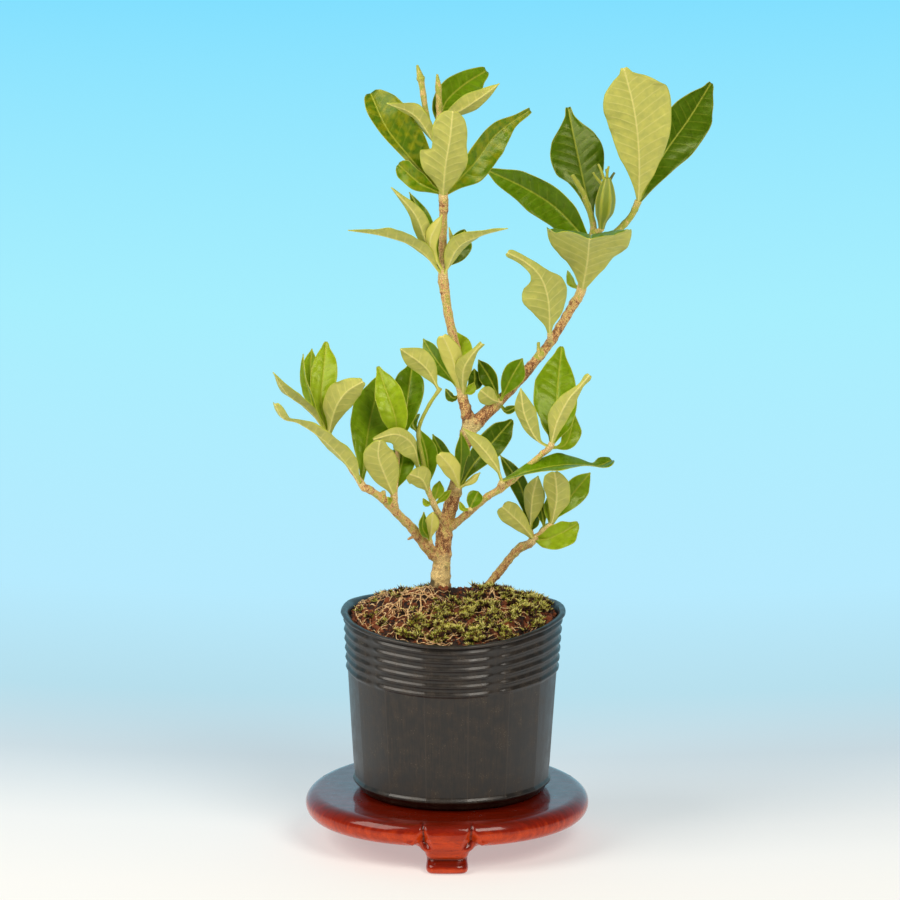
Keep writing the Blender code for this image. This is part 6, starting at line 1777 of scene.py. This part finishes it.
@dataclass
class Soil:
    """The soil mound, its crumbs, the roots that mat it and the moss on its front and right."""

    pot: Pot
    earth: Material
    root_skin: Material
    moss: Material
    edge_drop: float = 2.4
    mound: float = 8.6
    rings: int = 44
    steps: int = 168
    roughness: float = 0.9
    moss_from: float = 2.0 / 7.0
    moss_start: float = 238.0
    moss_end: float = 392.0
    side_heights: tuple = (48.0, 30.0)
    moss_density: float = 800000.0
    sprig_density: float = 100000.0
    root_count: int = 150
    root_radius: float = 0.19

    def height(self, share: float, angle: float) -> float:
        """Height of the soil above the pot's base, with its slow lumps."""
        dome = self.mound * (1.0 - share ** 2)
        lumps = (0.55 * math.sin(3.0 * angle + 7.0 * share) + 0.35 * math.sin(7.0 * angle - 9.0 * share))
        return self.pot.height - self.edge_drop + dome + lumps * share * (1.2 - share) * 2.0

    def top(self, share: float, angle: float, lift: float = 0.0) -> Vector:
        """A point of the soil's surface, lifted by some millimetres.

        Args:
            share: The share of the soil's radius.
            angle: The angle in radians.
            lift: Millimetres above the soil.

        Returns:
            The point in millimetres.
        """
        radius = (self.pot.inner_radius(self.pot.height - self.edge_drop) - GAP) * share
        spot = self.pot.point(radius, self.height(share, angle), angle)
        grain = noise.fractal(spot * 0.55, 1.0, 2.0, 4) * self.roughness * min(1.0, (1.0 - share) * 6.0)
        return spot + Vector((0.0, 0.0, lift + grain))

    def build_ground(self) -> Object:
        """The soil's body: its uneven top, and a plain side and bottom inside the pot.

        Returns:
            The finished piece.
        """
        turns = [math.tau * step / self.steps for step in range(self.steps)]
        points = [self.top(0.0, 0.0)]
        for ring in range(1, self.rings + 1):
            points.extend(self.top(ring / self.rings, turn) for turn in turns)
        for height in (*self.side_heights, self.pot.floor + 2.0 * GAP):
            radius = self.pot.inner_radius(height) - 2.0 * GAP
            points.extend(self.pot.point(radius, height, turn) for turn in turns)
        faces = disc_faces(self.rings + 3, self.steps)
        faces.append(tuple(reversed(range(len(points) - self.steps, len(points)))))
        store = Store()
        store.add(points, faces)
        return keep(store.piece("soil_mound", [self.earth]), "soil", "soil")

    def patch(self, name: str, shares: tuple, angles: tuple, columns: int, rows: int,
              lift: float = 0.0) -> Object:
        """An open sheet over a part of the soil, from which crumbs or tufts are strewn.

        Args:
            name: The object's name.
            shares: The least and greatest share of the radius.
            angles: The first and last angle in degrees.
            columns: Cells round the pot.
            rows: Cells from the middle outwards.
            lift: Millimetres above the soil.

        Returns:
            The new sheet.
        """
        width = columns + 1
        points = [self.top(blend_values(*shares, row / rows),
                           math.radians(blend_values(*angles, column / columns)), lift)
                  for row in range(rows + 1) for column in range(width)]
        faces = [(low + column, low + width + column, low + width + column + 1, low + column + 1)
                 for low in range(0, rows * width, width) for column in range(columns)]
        store = Store()
        store.add(points, faces)
        return store.piece(name, [])

    def build_crumbs(self, name: str, least: float, most: float, density: float, seed: int) -> Object:
        """Strew crumbs of bark and peat over the soil.

        Args:
            name: The piece's name.
            least: The smallest crumb's size in millimetres.
            most: The largest crumb's size.
            density: Crumbs for each square metre.
            seed: The seed of every random draw.

        Returns:
            The finished piece.
        """
        obj = self.patch(name, (0.03, 0.975), (0.0, 360.0), 120, 24, 0.05)
        rule = GeometryRule("Crumbs", Density=density, Least=least * MM, Most=most * MM, Seed=seed,
                            Roughness=0.5, Earth=self.earth)
        tree, given = rule.tree, rule.given
        strewn = node(tree, "DistributePointsOnFaces", {"Mesh": given["Geometry"],
                                                        "Density": given["Density"], "Seed": given["Seed"]})
        crumb = node(tree, "MeshIcoSphere", {"Radius": 1.0, "Subdivisions": 1})
        turn = node(tree, "RandomValue", {0: (0.0, 0.0, 0.0), 1: (math.tau,) * 3, 8: given["Seed"]},
                    data_type="FLOAT_VECTOR")
        size = node(tree, "RandomValue", {2: given["Least"], 3: given["Most"], 8: given["Seed"]})
        flat = node(tree, "RandomValue", {0: (0.45, 0.6, 0.5), 1: (1.0, 1.5, 1.0), 8: given["Seed"]},
                    data_type="FLOAT_VECTOR")
        scale = node(tree, "VectorMath", {0: flat, "Scale": size}, operation="SCALE")
        placed = node(tree, "InstanceOnPoints", {"Points": strewn, "Instance": crumb, "Rotation": turn,
                                                 "Scale": scale})
        tone = node(tree, "RandomValue", {2: 0.0, 3: 1.0, 8: given["Seed"]})
        toned = node(tree, "StoreNamedAttribute", {"Geometry": placed, "Name": "crumb_tone", "Value": tone},
                     data_type="FLOAT", domain="INSTANCE")
        real = node(tree, "RealizeInstances", [toned])
        place = node(tree, "InputPosition")
        chips = node(tree, "TexNoise", {"Vector": place, "Scale": 700.0})
        centred = node(tree, "VectorMath", [chips.outputs[1], (0.5, 0.5, 0.5)], operation="SUBTRACT")
        push = node(tree, "Math", [given["Most"], given["Roughness"]], operation="MULTIPLY")
        offset = node(tree, "VectorMath", {0: centred, "Scale": push}, operation="SCALE")
        rough = node(tree, "SetPosition", {"Geometry": real, "Offset": offset})
        rule.close(rough, "Earth")
        rule.apply(obj)
        return keep(obj, "soil")

    def root_line(self, chance: random.Random) -> list:
        """One root's wandering line over the soil, mostly at the left.

        Args:
            chance: Where the random draws come from.

        Returns:
            The line's points.
        """
        middle, spread = ((205.0, 62.0) if chance.random() < 0.7 else (275.0, 80.0))
        angle = math.radians(chance.gauss(middle, spread))
        share = math.sqrt(chance.uniform(0.02, 0.78))
        heading = chance.uniform(0.0, math.tau)
        curl = chance.gauss(0.0, 0.16)
        arch = chance.uniform(0.1, 1.5)
        radius = self.pot.rim_radius - 2.0
        across, near = share * math.cos(angle), share * math.sin(angle)
        count = chance.randint(9, 26)
        line = []
        for step in range(count + 1):
            share = min(math.hypot(across, near), 0.94)
            spot = self.top(share, math.atan2(near, across))
            rise = math.sin(math.pi * step / count) * arch + 0.25 * math.sin(1.3 * step)
            line.append(spot + Vector((0.0, 0.0, 0.1 + rise)))
            heading += curl + chance.gauss(0.0, 0.22)
            across += math.cos(heading) / radius
            near += math.sin(heading) / radius
        return line

    def build_roots(self, seed: int) -> Object:
        """Mat the soil with fine roots that follow wandering lines.

        Args:
            seed: The seed of every random draw.

        Returns:
            The finished piece.
        """
        chance = random.Random(seed)
        points, edges, weights = [], [], []
        for _ in range(self.root_count):
            line = self.root_line(chance)
            thickness = chance.uniform(0.5, 1.25)
            edges.extend((len(points) + step, len(points) + step + 1) for step in range(len(line) - 1))
            points.extend((spot - REACH_CENTRE) * MM for spot in line)
            weights.extend(thickness * (1.0 - 0.6 * step / len(line)) for step in range(len(line)))
        mesh = bpy.data.meshes.new("root_lines")
        mesh.from_pydata(points, edges, [])
        mesh.attributes.new("thickness", "FLOAT", "POINT").data.foreach_set("value", weights)
        obj = added("matted_roots", mesh)
        rule = GeometryRule("Matted roots", Radius=self.root_radius * MM, Sides=5, Skin=self.root_skin)
        tree, given = rule.tree, rule.given
        lines = node(tree, "MeshToCurve", [given["Geometry"]])
        smooth = node(tree, "CurveSplineType", [lines], spline_type="CATMULL_ROM")
        finer = node(tree, "SetSplineResolution", {"Geometry": smooth, "Resolution": 2})
        circle = node(tree, "CurvePrimitiveCircle", {"Resolution": given["Sides"],
                                                     "Radius": given["Radius"]})
        thickness = node(tree, "InputNamedAttribute", {"Name": "thickness"}, data_type="FLOAT")
        swept = node(tree, "CurveToMesh", {"Curve": finer, "Profile Curve": circle, "Scale": thickness,
                                           "Fill Caps": True})
        rule.close(swept, "Skin")
        rule.apply(obj)
        obj.data.shade_smooth()
        return keep(obj, "soil")

    def build_moss(self, seed: int) -> Object:
        """Cover the front and the right of the soil with moss tufts."""
        obj = self.patch("moss_cushion", (self.moss_from, 0.965), (self.moss_start, self.moss_end), 70, 30,
                         0.3)
        return keep(self.tufted(obj, self.moss_density, seed), "moss", "moss")

    def build_scattered_moss(self, seed: int) -> Object:
        """Dot the soil round the trunk's foot and at the left with small tufts."""
        obj = self.patch("moss_sprigs", (0.04, 0.9), (0.0, 360.0), 80, 20, 0.1)
        return keep(self.tufted(obj, self.sprig_density, seed), "moss")

    def tufted(self, obj: Object, density: float, seed: int) -> Object:
        """Replace a sheet by moss tufts that stand on it, each a burst of pointed leaflets.

        Args:
            obj: The sheet.
            density: Tufts for each square metre where they crowd.
            seed: The seed of every random draw.

        Returns:
            The same object.
        """
        rule = GeometryRule("Moss tufts", Density=density, Leaflet=1.7 * MM, Thickness=0.32 * MM,
                            Core=0.42 * MM, Clumps=210.0, Swell=1.1 * MM, Seed=seed, Green=self.moss)
        tree, given = rule.tree, rule.given
        core = node(tree, "MeshIcoSphere", {"Radius": given["Core"], "Subdivisions": 2})
        upright = node(tree, "InputNormal")
        tops = node(tree, "SeparateXYZ", [upright])
        above = node(tree, "Compare", [tops.outputs[2], 0.05], operation="GREATER_THAN")
        leaflet = node(tree, "MeshCone", {"Vertices": 3, "Radius Top": 0.0,
                                          "Radius Bottom": given["Thickness"], "Depth": given["Leaflet"]},
                       fill_type="NONE")
        along = node(tree, "SeparateXYZ", [node(tree, "InputPosition")])
        rise = node(tree, "Math", [along.outputs[2], given["Leaflet"]], operation="DIVIDE")
        graded = node(tree, "StoreNamedAttribute", {"Geometry": leaflet, "Name": "tuft_tip", "Value": rise},
                      data_type="FLOAT", domain="POINT")
        aim = node(tree, "AlignRotationToVector", {"Vector": upright}, axis="Z")
        length = node(tree, "RandomValue", {2: 0.6, 3: 1.3, 8: given["Seed"]})
        stretch = node(tree, "CombineXYZ", [1.0, 1.0, length])
        burst = node(tree, "InstanceOnPoints", {"Points": core, "Selection": above, "Instance": graded,
                                                "Rotation": aim, "Scale": stretch})
        tuft = node(tree, "RealizeInstances", [burst])
        clumps = node(tree, "TexNoise", {"Scale": given["Clumps"], "Detail": 1.0})
        crowd = node(tree, "MapRange", [clumps, 0.48, 0.58, 0.0, 1.0])
        crowded = node(tree, "Math", [crowd, given["Density"]], operation="MULTIPLY")
        strewn = node(tree, "DistributePointsOnFaces", {"Mesh": given["Geometry"], "Density": crowded,
                                                        "Seed": given["Seed"]})
        lean = node(tree, "RandomValue", {0: (-0.45, -0.45, 0.0), 1: (0.45, 0.45, math.tau),
                                          8: given["Seed"]}, data_type="FLOAT_VECTOR")
        size = node(tree, "RandomValue", {2: 0.55, 3: 1.15, 8: given["Seed"]})
        placed = node(tree, "InstanceOnPoints", {"Points": strewn, "Instance": tuft, "Rotation": lean,
                                                 "Scale": size})
        tone = node(tree, "RandomValue", {2: 0.0, 3: 1.0, 8: given["Seed"]})
        toned = node(tree, "StoreNamedAttribute", {"Geometry": placed, "Name": "tuft_tone", "Value": tone},
                     data_type="FLOAT", domain="INSTANCE")
        mound = node(tree, "Math", [crowd, given["Swell"]], operation="MULTIPLY")
        raised = node(tree, "CombineXYZ", {2: mound})
        lifted = node(tree, "TranslateInstances", {"Instances": toned, "Translation": raised,
                                                   "Local Space": False})
        rule.close(lifted, "Green")
        return rule.apply(obj)


@dataclass(frozen=True)
class Lacquer:
    """Red-stained rosewood under clear lacquer: dark pores along the grain and a deep gloss, with painted
    light (orange where the faces look sideways, darker red on top) and painted shade in the carved grooves.
    """

    pore: str = "#160300"
    dark: str = "#5a1000"
    red: str = "#851802"
    bright: str = "#d2440a"
    groove_shade: str = "#140a06"

    def material(self) -> Material:
        """Build the material.

        Returns:
            The material.
        """
        material, tree, shader = start_material("Rosewood, red stained and lacquered")
        wander = node(tree, "TexNoise", {"Vector": pattern(tree, 16, 210, 60), "Detail": 5.0,
                                         "Roughness": 0.6})
        # Painted light: faces that look sideways are pushed towards the bright orange and the top towards
        # dark red, as the lamps light them.
        facing = node(tree, "NewGeometry").outputs["Normal"]
        upward = node(tree, "SeparateXYZ", [facing]).outputs[2]
        side = node(tree, "MapRange", [upward, -0.1, 0.85, 0.34, -0.02])
        grain_and_painted_light = node(tree, "Math", [wander, 0.45, side], operation="MULTIPLY_ADD")
        base = node(tree, "ValToRGB", [grain_and_painted_light], stops=((0.16, self.dark), (0.4, self.red),
                                                       (0.66, self.bright)))
        pores = node(tree, "TexNoise", {"Vector": pattern(tree, 130, 1400, 1100), "Detail": 3.0,
                                        "Roughness": 0.6})
        holes = node(tree, "MapRange", [pores, 0.56, 0.7, 0.0, 0.55])
        grained = node(tree, "Mix", {SHARE: holes, UNDER: base, OVER: self.pore}, data_type="RGBA")
        # Painted shade: the carving attribute darkens the middle of each carved notch and the toe's groove
        # to near black.
        wear_and_groove_shade = node(tree, "Attribute", attribute_name="carving")
        groove_shaded = node(tree, "Mix", {SHARE: wear_and_groove_shade.outputs["Fac"], UNDER: grained, OVER: self.groove_shade},
                       data_type="RGBA")
        smear = node(tree, "TexNoise", {"Vector": pattern(tree, 60), "Detail": 3.0})
        rough = node(tree, "MapRange", [smear, 0.3, 0.7, 0.26, 0.4])
        bump = node(tree, "Bump", {"Strength": 0.25, "Distance": 0.12 * MM, "Height": pores})
        fill(tree, shader, {"Base Color": groove_shaded, "Roughness": rough, "Normal": bump,
                            "Specular IOR Level": 0.05, "Coat Weight": 1.0, "Coat IOR": 1.36,
                            "Coat Roughness": 0.09})
        return material


@dataclass
class Stand:
    """The round wooden stand, with a rounded edge and three carved feet with rolled toes."""

    lacquer: Material
    radius: float = 44.3
    top: float = 16.0
    thickness: float = 8.0
    centre_x: float = -0.9
    lobe: float = 0.8
    segments: int = 144
    edge_steps: int = 14
    foot_angles: tuple = (-90.0, 30.0, 150.0)
    foot_sides: int = 24
    voxel: float = 0.42
    groove_side: float = 7.5
    groove_depths: tuple = (0.6, 3.2)
    groove_widths: tuple = (0.55, 3.2)
    groove_rise: tuple = (8.6, 15.6)
    toe_line: float = 4.4
    toe_line_width: float = 0.4
    toe_line_ends: tuple = (6.4, 7.4)

    FOOT_SECTIONS = (
        # height, half width, inner radius, outer radius
        (0.0, 6.0, 34.6, 42.2),
        (0.5, 6.4, 34.3, 43.3),
        (1.6, 6.6, 34.2, 43.8),
        (2.7, 6.4, 34.0, 43.5),
        (3.6, 6.2, 33.6, 42.2),
        (4.6, 6.4, 32.6, 41.7),
        (6.2, 6.9, 31.2, 42.0),
        (7.3, 8.2, 29.8, 42.5),
        (8.3, 10.6, 28.5, 42.9),
        (9.6, 15.0, 27.0, 43.2),
        (11.0, 15.6, 27.0, 42.6),
    )

    def round_top(self) -> tuple:
        """The stand's round top with its rounded edge, as points and faces.

        Returns:
            The points and the faces.
        """
        half = self.thickness * 0.5
        points = []
        for index in range(self.edge_steps + 1):
            angle = math.pi * (index / self.edge_steps - 0.5)
            reach = self.radius - half + half * math.cos(angle)
            height = self.top - half + half * math.sin(angle)
            for step in range(self.segments):
                turn = math.tau * step / self.segments
                lobed = reach - self.lobe * math.cos(3.0 * (turn - math.radians(self.foot_angles[0])))
                across = self.centre_x + lobed * math.cos(turn)
                points.append(Vector((across, lobed * math.sin(turn), height)))
        return points, stack_faces(self.edge_steps + 1, self.segments)

    def foot(self, angle_degrees: float) -> tuple:
        """One foot's stacked sections, as points and faces.

        Args:
            angle_degrees: Where it stands, round from the right.

        Returns:
            The points and the faces.
        """
        angle = math.radians(angle_degrees)
        outward = Vector((math.cos(angle), math.sin(angle), 0.0))
        sideways = Vector((-math.sin(angle), math.cos(angle), 0.0))
        points = []
        for height, half, inner, outer in self.FOOT_SECTIONS:
            centre = Vector((self.centre_x, 0.0, height)) + outward * (inner + outer) * 0.5
            depth = (outer - inner) * 0.5
            for side in range(self.foot_sides):
                turn = math.tau * side / self.foot_sides
                out = math.copysign(abs(math.cos(turn)) ** 0.5, math.cos(turn)) * depth
                across = math.copysign(abs(math.sin(turn)) ** 0.5, math.sin(turn)) * half
                points.append(centre + outward * out + sideways * across)
        return points, stack_faces(len(self.FOOT_SECTIONS), self.foot_sides)

    def carved(self, spot: Vector) -> tuple:
        """How far the carving pushes a point of the skin in, and how much painted shade darkens it there.

        Args:
            spot: The point in millimetres.

        Returns:
            The depth in millimetres, and the strength of the painted shade.
        """
        best, dark = 0.0, 0.0
        for angle_degrees in self.foot_angles:
            angle = math.radians(angle_degrees)
            local = spot - Vector((self.centre_x, 0.0, 0.0))
            out = local.x * math.cos(angle) + local.y * math.sin(angle)
            side = -local.x * math.sin(angle) + local.y * math.cos(angle)
            if out < 30.0:
                continue
            off = abs(abs(side) - self.groove_side)
            low = 1.0 - eased(spot.z, *self.groove_rise)
            band = eased(spot.z, 7.2, 8.4) * (1.0 - eased(spot.z, 15.0, 16.2)) * eased(out, 37.5, 40.0)
            width = blend_values(*self.groove_widths, low)
            notch = max(1.0 - off / width, 0.0) * blend_values(*self.groove_depths, low) * band
            toe = math.exp(-((spot.z - self.toe_line) / self.toe_line_width) ** 2) * eased(out, 38.0, 40.0)
            toe *= 1.0 - eased(abs(side), *self.toe_line_ends)
            push = notch + 0.5 * toe
            if push > best:
                best = push
                # Painted shade: a dark line down the middle of each notch and along the toe's groove.
                dark = max(0.9 * math.exp(-(off / 0.3) ** 2) * band, 0.75 * toe)
        return best, dark

    def build(self) -> Object:
        """Join the top with its feet, soften the joints and carve them.

        Returns:
            The finished piece.
        """
        raw = Store()
        raw.add(*self.round_top())
        for angle in self.foot_angles:
            raw.add(*self.foot(angle))
        spots, faces = fused(raw, self.voxel, 5)
        points, looks = [], []
        for spot, normal in spots:
            push, dark = self.carved(spot)
            points.append(spot - normal * push)
            looks.append((dark, dark, dark))
        store = Store("carving")
        store.add(points, faces, carving=looks)
        return keep(store.piece("carved_stand", [self.lacquer]), "stand", "stand")


@dataclass(frozen=True)
class StudioPaper:
    """A seamless sheet, white near the stand and pale cyan farther back, which glows: near the stand its
    glow is painted light over the lamps' light, lightening the shadows, and farther back the glow alone
    gives its tone.
    """

    warm: str = "#fcf9f6"
    white: str = "#f5f6f7"
    haze: str = "#d2e1ea"
    pale: str = "#bce4f3"
    light_cyan: str = "#b6ebff"
    cyan: str = "#a7effe"
    deep: str = "#81dfff"
    front: float = -0.1
    back: float = 1.7
    bend: float = 0.7

    def material(self) -> Material:
        """Build the material.

        Returns:
            The material.
        """
        material, tree, shader = start_material("Studio paper, white to cyan")
        place = node(tree, "TexCoord").outputs["Object"]
        across, depth, _ = node(tree, "SeparateXYZ", [place]).outputs
        square = node(tree, "Math", [across, across], operation="MULTIPLY")
        bent = node(tree, "Math", [square, -self.bend, depth], operation="MULTIPLY_ADD")
        share = node(tree, "MapRange", [bent, self.front, self.back, 0.0, 1.0])
        tone = node(tree, "ValToRGB", [share], stops=((0.02, self.warm), (0.06, self.white),
                                                      (0.105, self.haze), (0.15, self.pale),
                                                      (0.23, self.light_cyan), (0.5, self.cyan),
                                                      (1.0, self.deep)))
        # Painted light: the sheet glows at 42% of its tone next to the stand, which lightens the lamps'
        # shadows, and fully from 0.3 m back; its base colour darkens as much.
        glow = node(tree, "MapRange", [bent, 0.02, 0.3, 0.42, 1.0])
        dark = node(tree, "Mix", {SHARE: glow, UNDER: tone, OVER: (0.0, 0.0, 0.0, 1.0)}, data_type="RGBA")
        fill(tree, shader, {"Base Color": dark, "Emission Color": tone, "Emission Strength": glow,
                            "Roughness": 0.9, "Specular IOR Level": 0.0})
        return material


@dataclass
class Studio:
    """The camera, the sheet that the stand rests on, two softboxes and a pale sky."""

    lens: float = 258.07
    rings: tuple = (0.1, 0.3, 0.7, 1.4, 2.4, 4.5)
    steps: int = 72
    softboxes: tuple = (
        # azimuth from the camera, elevation, distance, size, watts
        (-64.0, 37.0, 1.3, 0.8, 12.0),
        (30.0, 39.0, 1.3, 0.6, 10.0),
    )
    light_colour: tuple = (1.0, 0.95, 0.86)
    dim_room: str = "#7a756f"
    lit_backdrop: str = "#a8e6fb"

    def build_floor(self) -> None:
        """Lay the round sheet that all rests on."""
        points = [Vector()]
        points.extend(polar(radius, math.tau * step / self.steps)
                      for radius in self.rings for step in range(self.steps))
        mesh = bpy.data.meshes.new("studio_sheet")
        mesh.from_pydata(points, [], disc_faces(len(self.rings), self.steps))
        mesh.materials.append(StudioPaper().material())
        sheet = added("studio_sheet", mesh)

    def build_camera(self) -> None:
        """Place the long lens at the eye of the photograph."""
        data = bpy.data.cameras.new("product_camera")
        data.lens = self.lens
        data.sensor_width = 36.0
        data.clip_start = 0.05
        data.clip_end = 50.0
        camera = added("product_camera", data)
        camera.location = (eye_point() - REACH_CENTRE) * MM
        target = (Vector((0.0, 0.0, EYE_AIM_HEIGHT)) - REACH_CENTRE) * MM
        camera.rotation_euler = (target - camera.location).to_track_quat("-Z", "Y").to_euler()
        bpy.context.scene.camera = camera

    def build_lights(self) -> None:
        """Hang the softboxes and light the sky."""
        target = Vector((0.0, 0.0, EYE_AIM_HEIGHT * MM))
        for index, (azimuth, elevation, distance, size, watts) in enumerate(self.softboxes):
            data = bpy.data.lights.new(f"softbox_{index}", "AREA")
            data.size = size
            data.energy = watts
            data.color = self.light_colour
            light = added(f"softbox_{index}", data)
            turn, rise = math.radians(azimuth), math.radians(elevation)
            light.location = target + distance * Vector((math.sin(turn) * math.cos(rise),
                                                         -math.cos(turn) * math.cos(rise), math.sin(rise)))
            light.rotation_euler = (target - light.location).to_track_quat("-Z", "Y").to_euler()
        world = bpy.data.worlds.new("Dim room and lit backdrop")
        world.use_nodes = True
        tree = world.node_tree
        toward = node(tree, "TexCoord").outputs["Generated"]
        back = node(tree, "SeparateXYZ", [toward]).outputs[1]
        share = node(tree, "MapRange", [back, 0.1, 0.85, 0.0, 1.0])
        tone = node(tree, "Mix", {SHARE: share, UNDER: self.dim_room, OVER: self.lit_backdrop},
                    data_type="RGBA")
        fill(tree, tree.nodes["Background"], {"Color": tone})
        bpy.context.scene.world = world
        bpy.context.scene.view_settings.view_transform = "Standard"

    def build(self) -> None:
        """Set up the whole studio."""
        self.build_floor()
        self.build_camera()
        self.build_lights()


def main() -> None:
    """Build every visible piece."""
    pot = Pot(PotPlastic().material())
    pot.build()
    soil = Soil(pot, SoilEarth().material(), RootSkin().material(), MossGreen().material())
    soil.build_ground()
    soil.build_crumbs("fine_crumbs", least=0.25, most=0.7, density=900000.0, seed=5)
    soil.build_crumbs("bark_crumbs", least=0.6, most=1.5, density=170000.0, seed=8)
    soil.build_roots(seed=11)
    soil.build_moss(seed=3)
    soil.build_scattered_moss(seed=6)
    Stand(Lacquer().material()).build()
    bark = Bark().material()
    greenery = Greenery(BladeForm(), WoodForm(), LeafUpper().material(), LeafLower().material(), bark)
    pale = [(seen(place), radius, strength) for place, radius, strength in PALE_BARK]
    soiled = [(seen(place), radius, strength) for place, radius, strength in SOILED_BARK]
    greenery.stem("trunk", TRUNK_TWIGS, 1, pale, soiled)
    greenery.stem("basal_stem", BASAL_TWIGS, 2)
    for seed, shoot in enumerate(SHOOTS, 100):
        greenery.shoot(shoot, seed)
    FlowerBase(CalyxSkin().material()).build()
    Studio().build()


if __name__ == "__main__":
    logging.basicConfig(level=logging.INFO, stream=sys.stdout, format="%(message)s")
    main()
